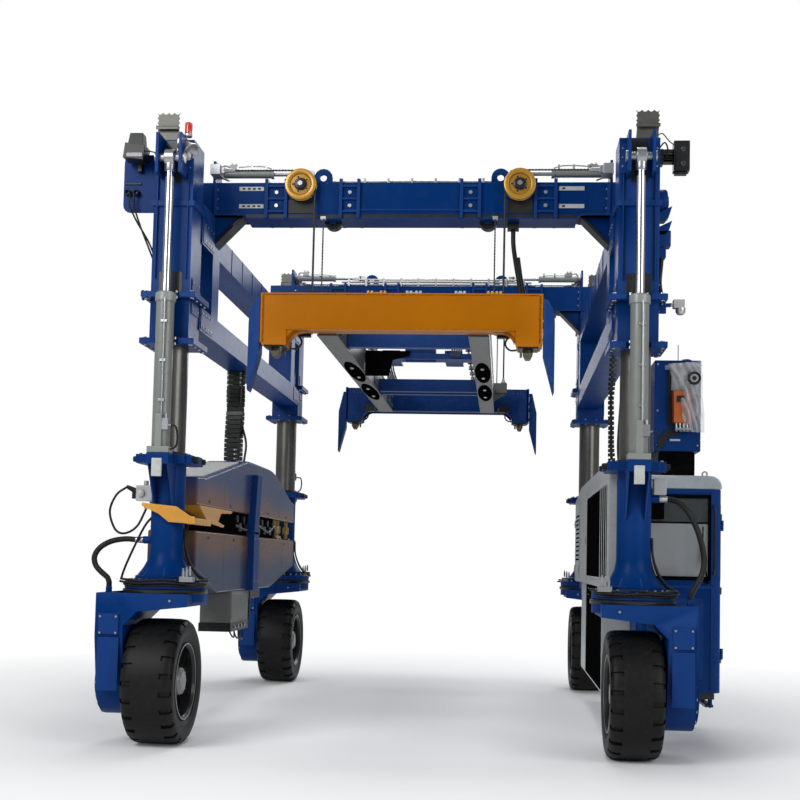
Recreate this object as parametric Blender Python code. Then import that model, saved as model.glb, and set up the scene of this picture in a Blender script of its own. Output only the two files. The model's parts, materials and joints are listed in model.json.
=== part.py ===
"""Straddle carrier for containers, in metres, +Z up, front towards -Y, cab on the +X side.

Four wheel bogies carry telescopic legs. The upper frame rides on the legs and
carries the rope sheaves, and the container spreader hangs inside it.
"""

import math

import bmesh
import bpy
from mathutils import Matrix, Vector

# Fits
GAP = 0.0003
CLEAR = 0.008
OVERRUN = 0.05
LAP = 0.02
MERGE = 0.00001
ROUND_ANGLE = math.radians(40)

# Layout
TRACK_HALF_WIDTH = 2.08
SIDE_INSET_WIDTH = 0.19
WHEELBASE_LENGTH = 5.73
INNER_HALF = TRACK_HALF_WIDTH - SIDE_INSET_WIDTH
LEG_Y = WHEELBASE_LENGTH / 2

# Wheels
TYRE_RADIUS = 0.555
TYRE_WIDTH = 0.46
TYRE_SHOULDER = 0.045
RIM_RADIUS = 0.34
RIM_DISH_DEPTH = 0.13
RIM_WALL = 0.03
HUB_RADIUS = 0.13
HUB_NOSE_LENGTH = 0.07
TYRE_SIDES = 24

# Bogies
ARM_GAP = 0.03
ARM_THICK = 0.25
ARM_RADIUS = 0.3
ARM_SHOULDER_HEIGHT = 0.36
ARM_COVER_THICK = 0.02
ARM_COVER_SHARE = 0.72
DRUM_RADIUS = 0.24
DRUM_CAP_THICK = 0.03
AXLE_RADIUS = 0.17
ARCH_HEIGHT = 0.625
HEAD_THICK = 0.16
HEAD_INNER_LENGTH = 0.3
HEAD_HALF_DEPTH = 0.38
HEAD_KNEE = 0.12
HEAD_TAPER_HEIGHT = 0.05
ARC_STEPS = 4

# Legs
RING_RADIUS = 0.36
RING_THICK = 0.07
TUBE_RADIUS = 0.15
TUBE_LENGTH = 1.195
FOOT_RADIUS = 0.27
FOOT_HEIGHT = 0.05
FOOT_CONE_HEIGHT = 0.26
COLLAR_HALF_WIDTH = 0.25
COLLAR_THICK = 0.08
EAR_HALF_WIDTH = 0.07
EAR_REACH = 0.03
MAST_RADIUS = 0.135
MAST_LENGTH = 1.83
TIE_PAD_THICK = 0.05
TIE_HALF_WIDTH = 0.075
TIE_RISE_HEIGHT = 0.42
TIE_HEIGHT = 0.16
LEG_SIDES = 16
RING_SIDES = 24

# Lift cylinders
LIFT_REACH_LENGTH = 0.31
BARREL_RADIUS = 0.08
BARREL_LENGTH = 1.43
BARREL_FOOT_HEIGHT = 0.06
BARREL_BLOCK_HALF = 0.1
BARREL_SHARE = 1.15
ROD_RADIUS = 0.04
ROD_ENGAGED_LENGTH = 0.39
GLAND_DEPTH = 0.06
EYE_RADIUS = 0.075
EYE_WIDTH = 0.09
EYE_DROP_HEIGHT = 0.21
EYE_PIN_RADIUS = 0.037
SHELF_THICK = 0.1
PIPE_RADIUS = 0.012
PIPE_SIDES = 6

# Sleeves
LIFT_TRAVEL_HEIGHT = 0.99
SLEEVE_HALF_WIDTH = 0.178
SLEEVE_WALL = 0.035
SLEEVE_LENGTH = 1.87
FLANGE_REACH = 0.07
FLANGE_THICK = 0.05
CHEEK_THICK = 0.025
CHEEK_HEIGHT = 0.3
CHEEK_GAP = 0.06
CREST_HALF_WIDTH = 0.11
CREST_HEIGHT = 0.26
CREST_DEPTH = 0.16
CREST_THICK = 0.012
CREST_SHIFT_LENGTH = 0.07
CREST_TEETH = 5
CREST_TOOTH_SHARE = 0.16

# Side frames
RAIL_RISE_HEIGHT = 0.2
LOWER_RAIL_HEIGHT = 0.22
FRAME_WINDOW_HEIGHT = 0.59
UPPER_RAIL_HEIGHT = 0.25
RAIL_WIDTH = 0.3
POST_DEPTH = 0.26
OUTLET_PLATE_LENGTH = 0.34
OUTLET_PLATE_HEIGHT = 0.54
OUTLET_PLATE_THICK = 0.012
OUTLET_CORNER_RADIUS = 0.07
OUTLET_PLATE_DROP = 0.08

# Cross-beams
BEAM_INBOARD_LENGTH = 0.71
BEAM_DEPTH = 0.3
BEAM_LIFT_HEIGHT = 0.13
BEAM_HEIGHT = 0.32
BEAM_RIB_THICK = 0.03
BEAM_RIB_SHARES = (-0.73, -0.63, -0.35, -0.26, 0.26, 0.35, 0.63, 0.73)
GUSSET_WIDTH = 0.28
GUSSET_THICK = 0.16
LUG_RADIUS = 0.09
LUG_RISE_HEIGHT = 0.09
LUG_HOLE_RADIUS = 0.035
LUG_THICK = 0.03
END_PLATE_THICK = 0.025
END_PLATE_HEIGHT = 0.22

# Sheaves
SHEAVE_X_LENGTH = 1.04
SHEAVE_DROP_HEIGHT = 0.04
SHEAVE_RADIUS = 0.15
SHEAVE_WIDTH = 0.06
SHEAVE_HUB_RADIUS = 0.045
SHEAVE_PIN_RADIUS = 0.02
SHEAVE_WEB_THICK = 0.024
SHEAVE_HOLE_RADIUS = 0.016
SHEAVE_SIDES = 12
SHEAVE_HOLES = 5
HOLE_SIDES = 6
GROOVE_DEPTH = 0.024
GROOVE_HALF_WIDTH = 0.012
ROPE_RADIUS = 0.011
ROPE_SIDES = 8

# Rope cylinders on the beams
ROPE_CYLINDER_RADIUS = 0.045
ROPE_CYLINDER_LENGTH = 0.55
ROPE_CYLINDER_HEIGHT = 0.13
ROPE_CYLINDER_ROD_RADIUS = 0.022
ROPE_CYLINDER_SIDES = 10

# Spreader
HOIST_DROP_HEIGHT = 0.93
SPREADER_LENGTH = 6.06
SPREADER_HALF_WIDTH = 1.242
HEAD_BEAM_DEPTH = 0.26
HEAD_BEAM_HEIGHT = 0.3
HEAD_BLOCK_DROP = 0.15
HEAD_BLOCK_WIDTH = 0.21
HEAD_CORNER_WIDTH = 0.14
HEAD_LIP_THICK = 0.025
HEAD_LIP_REACH = 0.02
SIDE_RAIL_X_LENGTH = 0.69
SIDE_RAIL_WIDTH = 0.17
SIDE_RAIL_HEIGHT = 0.28
RAIL_TOP_INSET = 0.04
POCKET_LENGTH = 0.5
POCKET_HEIGHT = 0.16
POCKET_DEPTH = 0.05
POCKET_SHARES = (-0.7, -0.42, 0.14, 0.42, 0.7)
MID_BEAM_Y_LENGTH = -0.4
MID_BEAM_WIDTH = 0.24
MID_BEAM_INSET = 0.04
BLADE_DEPTH = 0.16
BLADE_LENGTH = 0.84
BLADE_STANDOFF = 0.02
BLADE_WIDTH = 0.1
BLADE_SHOULDER_SHARE = 0.28
BLADE_POINT_SHARE = 0.35
LOCK_INSET_LENGTH = 0.112
LOCK_HALF_WIDTH = 0.05
LOCK_HALF_LENGTH = 0.08
LOCK_DROP = 0.1
HANGER_HALF_WIDTH = 0.05
HANGER_THICK = 0.06

# Bodies between the legs
BODY_END_GAP = 0.285
TANK_GROUND_HEIGHT = 1.31
TANK_HEIGHT = 0.6
TANK_CHAMFER_HEIGHT = 0.25
TANK_CHAMFER_LENGTH = 0.91
TANK_SLOPE_LENGTH = 1.6
TRAY_HEIGHT = 0.24
TRAY_INSET_LENGTH = 0.1
HOOD_LOW_HEIGHT = 0.26
HOOD_RISE_HEIGHT = 0.33
HOOD_WIDTH = 0.46
HOOD_RISE_SHARES = (0.36, 0.43, 0.68)
STRAP_THICK = 0.02
# Each row is a strap's near and far share of the body's length, and its share of the hood's height
STRAP_SHARES = ((0.42, 0.478, 0.9), (0.6, 0.71, 0.35))
UNDERBOX_HEIGHT = 0.42
UNDERBOX_HALF_LENGTH = 0.42
UNDERBOX_CENTRE_SHARE = -0.25

# Right cabinet and loft
CABINET_WIDTH = 0.31
CABINET_GROUND_HEIGHT = 1.46
CABINET_HEIGHT = 1.05
CABINET_CREST_HEIGHT = 0.08
CABINET_CREST_SHARE = 0.78
GRILLE_SHARES = (0.03, 0.56)
GRILLE_INSET = 0.03
GRILLE_EDGE = 0.09
GRILLE_BAR_WIDTH = 0.02
GRILLE_BARS = 12
LOWER_BOX_GROUND_HEIGHT = 0.42
LOWER_BOX_HALF_LENGTH = 1.5
LOWER_BOX_INSET = 0.03
LOFT_WIDTH = 0.45
LOFT_STANDOFF = 0.2
LOFT_LENGTH = 0.9
LOFT_HEIGHT = 0.9
LOFT_BASE_HEIGHT = 0.26
LOFT_BASE_INSET = 0.06
LOFT_BEHIND_LENGTH = 0.35

# Cab
CAB_WIDTH = 0.8
CAB_FRONT_LENGTH = 0.885
CAB_LENGTH = 1.48
CAB_GROUND_HEIGHT = 0.495
CAB_HEIGHT = 1.915
CAB_WALL = 0.05
CAB_SILL_HEIGHT = 1.07
CAB_POST_WIDTH = 0.07
CAB_FRONT_CORNER_RADIUS = 0.08
ROOF_HEIGHT = 0.13
ROOF_CORNER_RADIUS = 0.11
STEP_LENGTH = 0.5
STEP_DROP = 0.16
STEP_BAR_RADIUS = 0.014
DOOR_INSET_LENGTH = 0.13
DOOR_LENGTH = 0.85
SEAT_HEIGHT = 0.5
SEAT_WIDTH = 0.5
SEAT_THICK = 0.12
SEAT_BACK_HEIGHT = 0.65
SEAT_BASE_SHARE = 0.5

# Cab door hinge
HINGE_RADIUS = 0.018
HINGE_PROUD = 0.02
HINGE_LEAF_LENGTH = 0.07
HINGE_LENGTH = 0.1
HINGE_SIDES = 8
HINGE_HEIGHT_SHARES = (0.15, 0.85)

# Hoses from the front legs to the bogies
HOSE_RADIUS = 0.025
HOSE_BOSS_RADIUS = 0.03
HOSE_BOSS_HEIGHT = 0.05
HOSE_BOSS_LENGTH = 0.07
HOSE_SPACING = 0.06
HOSE_RESOLUTION = 2
# Each row is a step outwards, a step along y and a rise, from the hose's start
LEFT_HOSE_ROUTE = (
    (0.0, 0.0, 0.0), (0.06, 0.0, 0.0), (0.16, -0.02, 0.005), (0.28, -0.05, -0.02),
    (0.37, -0.08, -0.08), (0.41, -0.1, -0.16), (0.39, -0.11, -0.24), (0.33, -0.12, -0.3),
    (0.275, -0.12, -0.345), (0.26, -0.12, -0.385), (0.26, -0.12, -0.4), (0.26, -0.12, -0.42),
)
RIGHT_HOSE_ROUTE = (
    (0.0, 0.0, 0.0), (0.06, 0.0, 0.0), (0.15, -0.02, -0.02), (0.235, -0.045, -0.1),
    (0.305, -0.065, -0.23), (0.355, -0.085, -0.39), (0.375, -0.1, -0.54), (0.35, -0.112, -0.66),
    (0.3, -0.12, -0.755), (0.267, -0.12, -0.82), (0.26, -0.12, -0.85), (0.26, -0.12, -0.87),
)
HOSE_ROUTES = {-1: LEFT_HOSE_ROUTE, 1: RIGHT_HOSE_ROUTE}

# Places worked out from the sizes above
AXLE_Z = TYRE_RADIUS
HEAD_TOP = AXLE_Z + ARCH_HEIGHT + HEAD_THICK
ARM_INNER = TRACK_HALF_WIDTH + TYRE_WIDTH / 2 + ARM_GAP
ARM_OUTER = ARM_INNER + ARM_THICK
RING_LOW = HEAD_TOP + RING_THICK / 2 + GAP
FOOT_TOP = RING_LOW + RING_THICK
TUBE_TOP = RING_LOW + TUBE_LENGTH
MAST_TOP = TUBE_TOP + MAST_LENGTH
BARREL_FOOT = TUBE_TOP + BARREL_FOOT_HEIGHT
BARREL_TOP = TUBE_TOP + BARREL_LENGTH
GLAND_RADIUS = BARREL_RADIUS * BARREL_SHARE
SLEEVE_BOTTOM = TUBE_TOP + LIFT_TRAVEL_HEIGHT
SLEEVE_TOP = SLEEVE_BOTTOM + SLEEVE_LENGTH
ROD_EYE = SLEEVE_TOP - EYE_DROP_HEIGHT
ROD_FOOT = BARREL_TOP - ROD_ENGAGED_LENGTH
LOWER_RAIL_BOTTOM = SLEEVE_BOTTOM + RAIL_RISE_HEIGHT
LOWER_RAIL_TOP = LOWER_RAIL_BOTTOM + LOWER_RAIL_HEIGHT
UPPER_RAIL_BOTTOM = LOWER_RAIL_TOP + FRAME_WINDOW_HEIGHT
UPPER_RAIL_TOP = UPPER_RAIL_BOTTOM + UPPER_RAIL_HEIGHT
BEAM_BOTTOM = UPPER_RAIL_TOP + BEAM_LIFT_HEIGHT
BEAM_TOP = BEAM_BOTTOM + BEAM_HEIGHT
BEAM_Y = LEG_Y - BEAM_INBOARD_LENGTH
SHEAVE_Z = BEAM_TOP - SHEAVE_DROP_HEIGHT
SHEAVE_OUT = BEAM_RIB_THICK + CLEAR + GAP
SHEAVE_CAP = SHEAVE_OUT + SHEAVE_WIDTH + GAP
ROPE_Y = BEAM_Y + BEAM_DEPTH / 2 + SHEAVE_OUT + SHEAVE_WIDTH / 2
FALL_X = SHEAVE_X_LENGTH - SHEAVE_RADIUS + GROOVE_DEPTH - ROPE_RADIUS - GAP
ROPE_CYLINDER_Z = BEAM_TOP + ROPE_CYLINDER_HEIGHT
SPREADER_TOP = BEAM_BOTTOM - HOIST_DROP_HEIGHT
HANGER_TOP = SPREADER_TOP + HANGER_THICK / 2
BODY_Y = LEG_Y - BODY_END_GAP
TANK_TOP = TANK_GROUND_HEIGHT + TANK_HEIGHT
HOOD_BOTTOM = TANK_TOP + TRAY_HEIGHT
HOOD_LOW = HOOD_BOTTOM + HOOD_LOW_HEIGHT
TIE_LOW = TANK_GROUND_HEIGHT + TIE_RISE_HEIGHT
TIE_TOP = TIE_LOW + TIE_HEIGHT
CABINET_OUTER = INNER_HALF + CABINET_WIDTH
CABINET_TOP = CABINET_GROUND_HEIGHT + CABINET_HEIGHT
CAB_INNER = CABINET_OUTER + GAP
CAB_OUTER = CAB_INNER + CAB_WIDTH
CAB_FRONT_Y = CAB_FRONT_LENGTH - LEG_Y
CAB_REAR_Y = CAB_FRONT_Y + CAB_LENGTH
CAB_TOP = CAB_GROUND_HEIGHT + CAB_HEIGHT
ROOF_TOP = CAB_TOP + GAP + ROOF_HEIGHT
DOOR_FRONT_Y = CAB_FRONT_Y + DOOR_INSET_LENGTH
DOOR_REAR_Y = DOOR_FRONT_Y + DOOR_LENGTH
LEFT_EXTENT = ARM_OUTER + DRUM_CAP_THICK
RIGHT_EXTENT = CAB_OUTER + HINGE_PROUD + HINGE_RADIUS
ORIGIN_SHIFT = (LEFT_EXTENT - RIGHT_EXTENT) / 2

BLUE = (0.006, 0.032, 0.17)
GREY = (0.32, 0.34, 0.33)
STEEL = (0.2, 0.21, 0.22)
CHROME = (0.75, 0.76, 0.78)
ORANGE = (0.43, 0.15, 0.004)
GOLD = (0.5, 0.22, 0.01)
BLACK = (0.012, 0.012, 0.013)
PALE = (0.5, 0.52, 0.5)


def clear_scene():
    """Remove every object of the scene."""
    for old in list(bpy.data.objects):
        bpy.data.objects.remove(old, do_unlink=True)


def paint(name, colour, roughness, metallic):
    """Make a plain Principled material."""
    material = bpy.data.materials.new(name)
    material.use_nodes = True
    shader = material.node_tree.nodes["Principled BSDF"]
    shader.inputs["Base Color"].default_value = (*colour, 1.0)
    shader.inputs["Roughness"].default_value = roughness
    shader.inputs["Metallic"].default_value = metallic
    return material


def wire_object(bm):
    """Wrap a bmesh as a hidden helper object."""
    bmesh.ops.recalc_face_normals(bm, faces=bm.faces)
    mesh = bpy.data.meshes.new("shape")
    bm.to_mesh(mesh)
    bm.free()
    helper = bpy.data.objects.new("shape", mesh)
    helper.hide_render = True
    helper.display_type = "WIRE"
    bpy.context.scene.collection.objects.link(helper)
    return helper


def block(x, y, z):
    """A box between the low and high ends of three spans."""
    spans = [sorted(span) for span in (x, y, z)]
    middle = Vector([(low + high) / 2 for low, high in spans])
    size = Vector([high - low for low, high in spans])
    bm = bmesh.new()
    matrix = Matrix.Translation(middle) @ Matrix.Diagonal((*size, 1))
    bmesh.ops.create_cube(bm, size=1, matrix=matrix)
    return wire_object(bm)


def bar(start, end, radius, sides=LEG_SIDES, end_radius=None):
    """A round bar, or a cone, between two points."""
    start, end = Vector(start), Vector(end)
    along = end - start
    turn = along.to_track_quat("Z", "Y").to_matrix().to_4x4()
    matrix = Matrix.Translation((start + end) / 2) @ turn
    bm = bmesh.new()
    bmesh.ops.create_cone(bm, cap_ends=True, segments=sides, radius1=radius,
                          radius2=radius if end_radius is None else end_radius,
                          depth=along.length, matrix=matrix)
    return wire_object(bm)


def prism(outline, axis, span):
    """An outline in the plane across an axis, extruded over a span of that axis."""
    low, high = sorted(span)
    place = {
        "x": lambda a, b: (low, a, b),
        "y": lambda a, b: (a, low, b),
        "z": lambda a, b: (a, b, low),
    }[axis]
    step = {"x": (high - low, 0, 0), "y": (0, high - low, 0), "z": (0, 0, high - low)}[axis]
    bm = bmesh.new()
    face = bm.faces.new([bm.verts.new(place(a, b)) for a, b in outline])
    grown = bmesh.ops.extrude_face_region(bm, geom=[face])
    moved = [item for item in grown["geom"] if isinstance(item, bmesh.types.BMVert)]
    bmesh.ops.translate(bm, verts=moved, vec=step)
    return wire_object(bm)


def turned(profile, centre, axis, sides):
    """A closed profile of (radius, height) points spun about an axis through a centre."""
    bm = bmesh.new()
    verts = [bm.verts.new((radius, 0, height)) for radius, height in profile]
    edges = [bm.edges.new(pair) for pair in zip(verts, verts[1:] + verts[:1])]
    bmesh.ops.spin(bm, geom=verts + edges, cent=(0, 0, 0), axis=(0, 0, 1),
                   angle=math.tau, steps=sides, use_merge=True)
    bmesh.ops.remove_doubles(bm, verts=bm.verts, dist=MERGE)
    turn = Vector(axis).to_track_quat("Z", "Y").to_matrix().to_4x4()
    bmesh.ops.transform(bm, matrix=Matrix.Translation(centre) @ turn, verts=bm.verts)
    return wire_object(bm)


def combined(base, others, operation):
    """Boolean of one shape with a set of shapes, which it uses up."""
    if not others:
        return base
    group = bpy.data.collections.new("operands")
    bpy.context.scene.collection.children.link(group)
    for other in others:
        group.objects.link(other)
    boolean = base.modifiers.new("boolean", "BOOLEAN")
    boolean.operation = operation
    boolean.operand_type = "COLLECTION"
    boolean.collection = group
    boolean.solver = "EXACT"
    depsgraph = bpy.context.evaluated_depsgraph_get()
    mesh = bpy.data.meshes.new_from_object(base.evaluated_get(depsgraph))
    base.modifiers.clear()
    base.data = mesh
    for other in others:
        bpy.data.objects.remove(other, do_unlink=True)
    bpy.data.collections.remove(group)
    return base


def node(name, material, adds, cuts=(), pivot=(0, 0, 0), parent=None):
    """Fuse shapes, cut others away, and name the result, with its origin on a pivot."""
    made = combined(adds[0], adds[1:], "UNION")
    made = combined(made, list(cuts), "DIFFERENCE")
    made.name = name
    made.hide_render = False
    made.display_type = "TEXTURED"
    made.data.name = name
    made.data.transform(Matrix.Translation(-Vector(pivot)))
    made.location = pivot
    made.data.materials.clear()
    made.data.materials.append(material)
    made.data.shade_smooth()
    made.data.set_sharp_from_angle(angle=ROUND_ANGLE)
    made.parent = parent
    return made


def span(centre, half):
    """The low and high ends of a span about its centre."""
    return (centre - half, centre + half)


def arc(centre, radii, start, end):
    """Points of a quarter ellipse or less about a centre, from one angle to another in degrees."""
    angles = [math.radians(start + (end - start) * step / ARC_STEPS) for step in range(ARC_STEPS + 1)]
    return [(centre[0] + radii[0] * math.cos(turn), centre[1] + radii[1] * math.sin(turn))
            for turn in angles]


def mirrored(outline, side):
    """An outline whose first coordinate is taken to one side."""
    return [(side * a, b) for a, b in outline]


def wheel(place, side, leg_y, rubber, steel, machine):
    """A solid tyre on a dished rim, whose dish faces inwards."""
    axle = (side * TRACK_HALF_WIDTH, leg_y, AXLE_Z)
    half = TYRE_WIDTH / 2
    tyre = [
        (RIM_RADIUS, -half), (RIM_RADIUS, half), (TYRE_RADIUS - TYRE_SHOULDER, half),
        (TYRE_RADIUS, half - TYRE_SHOULDER), (TYRE_RADIUS, TYRE_SHOULDER - half),
        (TYRE_RADIUS - TYRE_SHOULDER, -half),
    ]
    outwards = (side, 0, 0)
    node(f"{place}_tyre", rubber, [turned(tyre, axle, outwards, TYRE_SIDES)],
         pivot=axle, parent=machine)
    seat = RIM_RADIUS - GAP
    dish = RIM_DISH_DEPTH - half
    rim = [
        (0, half), (seat, half), (seat, -half), (seat - RIM_WALL, -half),
        (seat - RIM_WALL, dish), (HUB_RADIUS, dish), (HUB_RADIUS, dish - HUB_NOSE_LENGTH),
        (0, dish - HUB_NOSE_LENGTH),
    ]
    node(f"{place}_rim", steel, [turned(rim, axle, outwards, TYRE_SIDES)],
         pivot=axle, parent=machine)


def bogie(place, side, leg_y, has_hose, blue, machine):
    """A steering fork with one arm outside the wheel, a drive drum and a slewing ring."""
    leg_x = side * TRACK_HALF_WIDTH
    head_low = HEAD_TOP - HEAD_THICK
    inner_end = TRACK_HALF_WIDTH - HEAD_INNER_LENGTH
    head = [
        (inner_end, HEAD_TOP), (ARM_OUTER, HEAD_TOP), (ARM_OUTER, head_low),
        (ARM_INNER, head_low - HEAD_KNEE), (ARM_INNER - HEAD_KNEE, head_low),
        (inner_end, head_low + HEAD_TAPER_HEIGHT),
    ]
    shoulder = HEAD_TOP - ARM_SHOULDER_HEIGHT
    arm = [
        (leg_y + HEAD_HALF_DEPTH, HEAD_TOP), (leg_y - HEAD_HALF_DEPTH, HEAD_TOP),
        (leg_y - HEAD_HALF_DEPTH, shoulder), *arc((leg_y, AXLE_Z), (ARM_RADIUS, ARM_RADIUS), 180, 270),
        *arc((leg_y, AXLE_Z), (ARM_RADIUS, ARM_RADIUS), 270, 360)[1:],
        (leg_y + HEAD_HALF_DEPTH, shoulder),
    ]
    cover_half = ARM_THICK * ARM_COVER_SHARE / 2
    arm_middle = side * (ARM_INNER + ARM_THICK / 2)
    adds = [
        prism(mirrored(head, side), "y", span(leg_y, HEAD_HALF_DEPTH)),
        prism(arm, "x", (side * ARM_INNER, side * ARM_OUTER)),
        block(span(arm_middle, cover_half), span(leg_y, HEAD_HALF_DEPTH + ARM_COVER_THICK),
              (shoulder, shoulder + ARM_SHOULDER_HEIGHT / 2)),
        bar((side * (ARM_OUTER - LAP), leg_y, AXLE_Z), (side * LEFT_EXTENT, leg_y, AXLE_Z),
            DRUM_RADIUS, RING_SIDES),
        bar((arm_middle, leg_y, AXLE_Z), (side * (TRACK_HALF_WIDTH + TYRE_WIDTH / 2 + GAP), leg_y, AXLE_Z),
            AXLE_RADIUS, LEG_SIDES),
        bar((leg_x, leg_y, HEAD_TOP - HEAD_THICK / 2), (leg_x, leg_y, HEAD_TOP + RING_THICK / 2),
            RING_RADIUS, RING_SIDES),
    ]
    if has_hose:
        foot = hose_end(side, leg_y)
        adds.append(bar((foot[0], foot[1], HEAD_TOP - HOSE_BOSS_HEIGHT), foot, HOSE_BOSS_RADIUS, PIPE_SIDES))
    node(f"{place}_bogie", blue, adds, pivot=(leg_x, leg_y, HEAD_TOP), parent=machine)


def leg(place, side, leg_y, out_y, has_hose, blue, machine):
    """The lower tube with its foot flange, ribs, collar and cylinder shelf, and the mast."""
    leg_x = side * TRACK_HALF_WIDTH
    axis = (leg_x, leg_y)
    shapes = [
        bar((*axis, RING_LOW), (*axis, TUBE_TOP), TUBE_RADIUS),
        bar((*axis, RING_LOW), (*axis, FOOT_TOP), RING_RADIUS, RING_SIDES),
        bar((*axis, FOOT_TOP - RING_THICK / 2), (*axis, FOOT_TOP + FOOT_HEIGHT), FOOT_RADIUS),
        bar((*axis, FOOT_TOP), (*axis, FOOT_TOP + FOOT_CONE_HEIGHT), FOOT_RADIUS,
            end_radius=TUBE_RADIUS),
        block(span(leg_x, COLLAR_HALF_WIDTH), span(leg_y, COLLAR_HALF_WIDTH),
              (TUBE_TOP - COLLAR_THICK, TUBE_TOP)),
        block(span(leg_x, COLLAR_HALF_WIDTH + EAR_REACH), span(leg_y, EAR_HALF_WIDTH),
              (TUBE_TOP - COLLAR_THICK, TUBE_TOP)),
        block(span(leg_x, BARREL_BLOCK_HALF),
              (leg_y, leg_y + out_y * (LIFT_REACH_LENGTH + BARREL_BLOCK_HALF)),
              (TUBE_TOP - SHELF_THICK, TUBE_TOP)),
        bar((*axis, TUBE_TOP - COLLAR_THICK), (*axis, MAST_TOP), MAST_RADIUS),
        block(span(leg_x, TIE_HALF_WIDTH), (leg_y, leg_y - out_y * (TUBE_RADIUS + TIE_PAD_THICK)),
              (TIE_LOW, TIE_TOP)),
    ]
    if has_hose:
        start = hose_start(side, leg_y)
        shapes.append(bar((leg_x, start[1], start[2]), (start[0] - side * GAP, start[1], start[2]),
                          HOSE_BOSS_RADIUS, PIPE_SIDES))
    node(f"{place}_leg", blue, shapes, parent=machine)


def lift_cylinder(place, side, leg_y, out_y, grey, chrome, machine):
    """The barrel on the collar's shelf and the rod whose eye is held at the sleeve's top."""
    leg_x = side * TRACK_HALF_WIDTH
    rod_y = leg_y + out_y * LIFT_REACH_LENGTH
    pipe_y = rod_y + out_y * BARREL_RADIUS
    foot = TUBE_TOP + GAP
    barrel = [
        bar((leg_x, rod_y, foot), (leg_x, rod_y, BARREL_TOP), BARREL_RADIUS),
        bar((leg_x, rod_y, BARREL_TOP - BARREL_RADIUS), (leg_x, rod_y, BARREL_TOP), GLAND_RADIUS),
        block(span(leg_x, BARREL_BLOCK_HALF), span(rod_y, BARREL_BLOCK_HALF), (foot, BARREL_FOOT)),
        bar((leg_x, pipe_y, BARREL_FOOT - LAP), (leg_x, pipe_y, BARREL_TOP - BARREL_RADIUS / 2),
            PIPE_RADIUS, PIPE_SIDES),
    ]
    bores = [
        bar((leg_x, rod_y, BARREL_FOOT), (leg_x, rod_y, BARREL_TOP - GLAND_DEPTH), ROD_RADIUS + CLEAR),
        bar((leg_x, rod_y, BARREL_FOOT), (leg_x, rod_y, BARREL_TOP + OVERRUN), ROD_RADIUS + GAP),
    ]
    node(f"{place}_lift_barrel", grey, barrel, bores, parent=machine)
    rod = [
        bar((leg_x, rod_y, ROD_FOOT), (leg_x, rod_y, ROD_EYE), ROD_RADIUS),
        bar((leg_x - EYE_WIDTH / 2, rod_y, ROD_EYE), (leg_x + EYE_WIDTH / 2, rod_y, ROD_EYE), EYE_RADIUS),
    ]
    node(f"{place}_lift_rod", chrome, rod, parent=machine)


def crest_shape(side, leg_y, out_y):
    """A folded plate with a saw-toothed upper edge, on the outer corner of a sleeve's top."""
    leg_x = side * (TRACK_HALF_WIDTH + CREST_SHIFT_LENGTH)
    plate_y = leg_y + out_y * (SLEEVE_HALF_WIDTH - CREST_THICK)
    low = SLEEVE_TOP - LAP
    top = SLEEVE_TOP + CREST_HEIGHT
    tooth = CREST_HEIGHT * CREST_TOOTH_SHARE
    pitch = 2 * CREST_HALF_WIDTH / CREST_TEETH
    outline = [(leg_x + CREST_HALF_WIDTH, low), (leg_x - CREST_HALF_WIDTH, low)]
    for number in range(CREST_TEETH):
        edge = leg_x - CREST_HALF_WIDTH + number * pitch
        outline += [(edge, top - tooth), (edge + pitch / 2, top)]
    outline.append((leg_x + CREST_HALF_WIDTH, top - tooth))
    plate = prism(outline, "y", span(plate_y, CREST_THICK / 2))
    fold = block((leg_x - CREST_HALF_WIDTH, leg_x - CREST_HALF_WIDTH + CREST_THICK),
                 (plate_y + out_y * CREST_THICK / 2, plate_y - out_y * CREST_DEPTH),
                 (low, top - tooth * 2))
    return [plate, fold]


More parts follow.
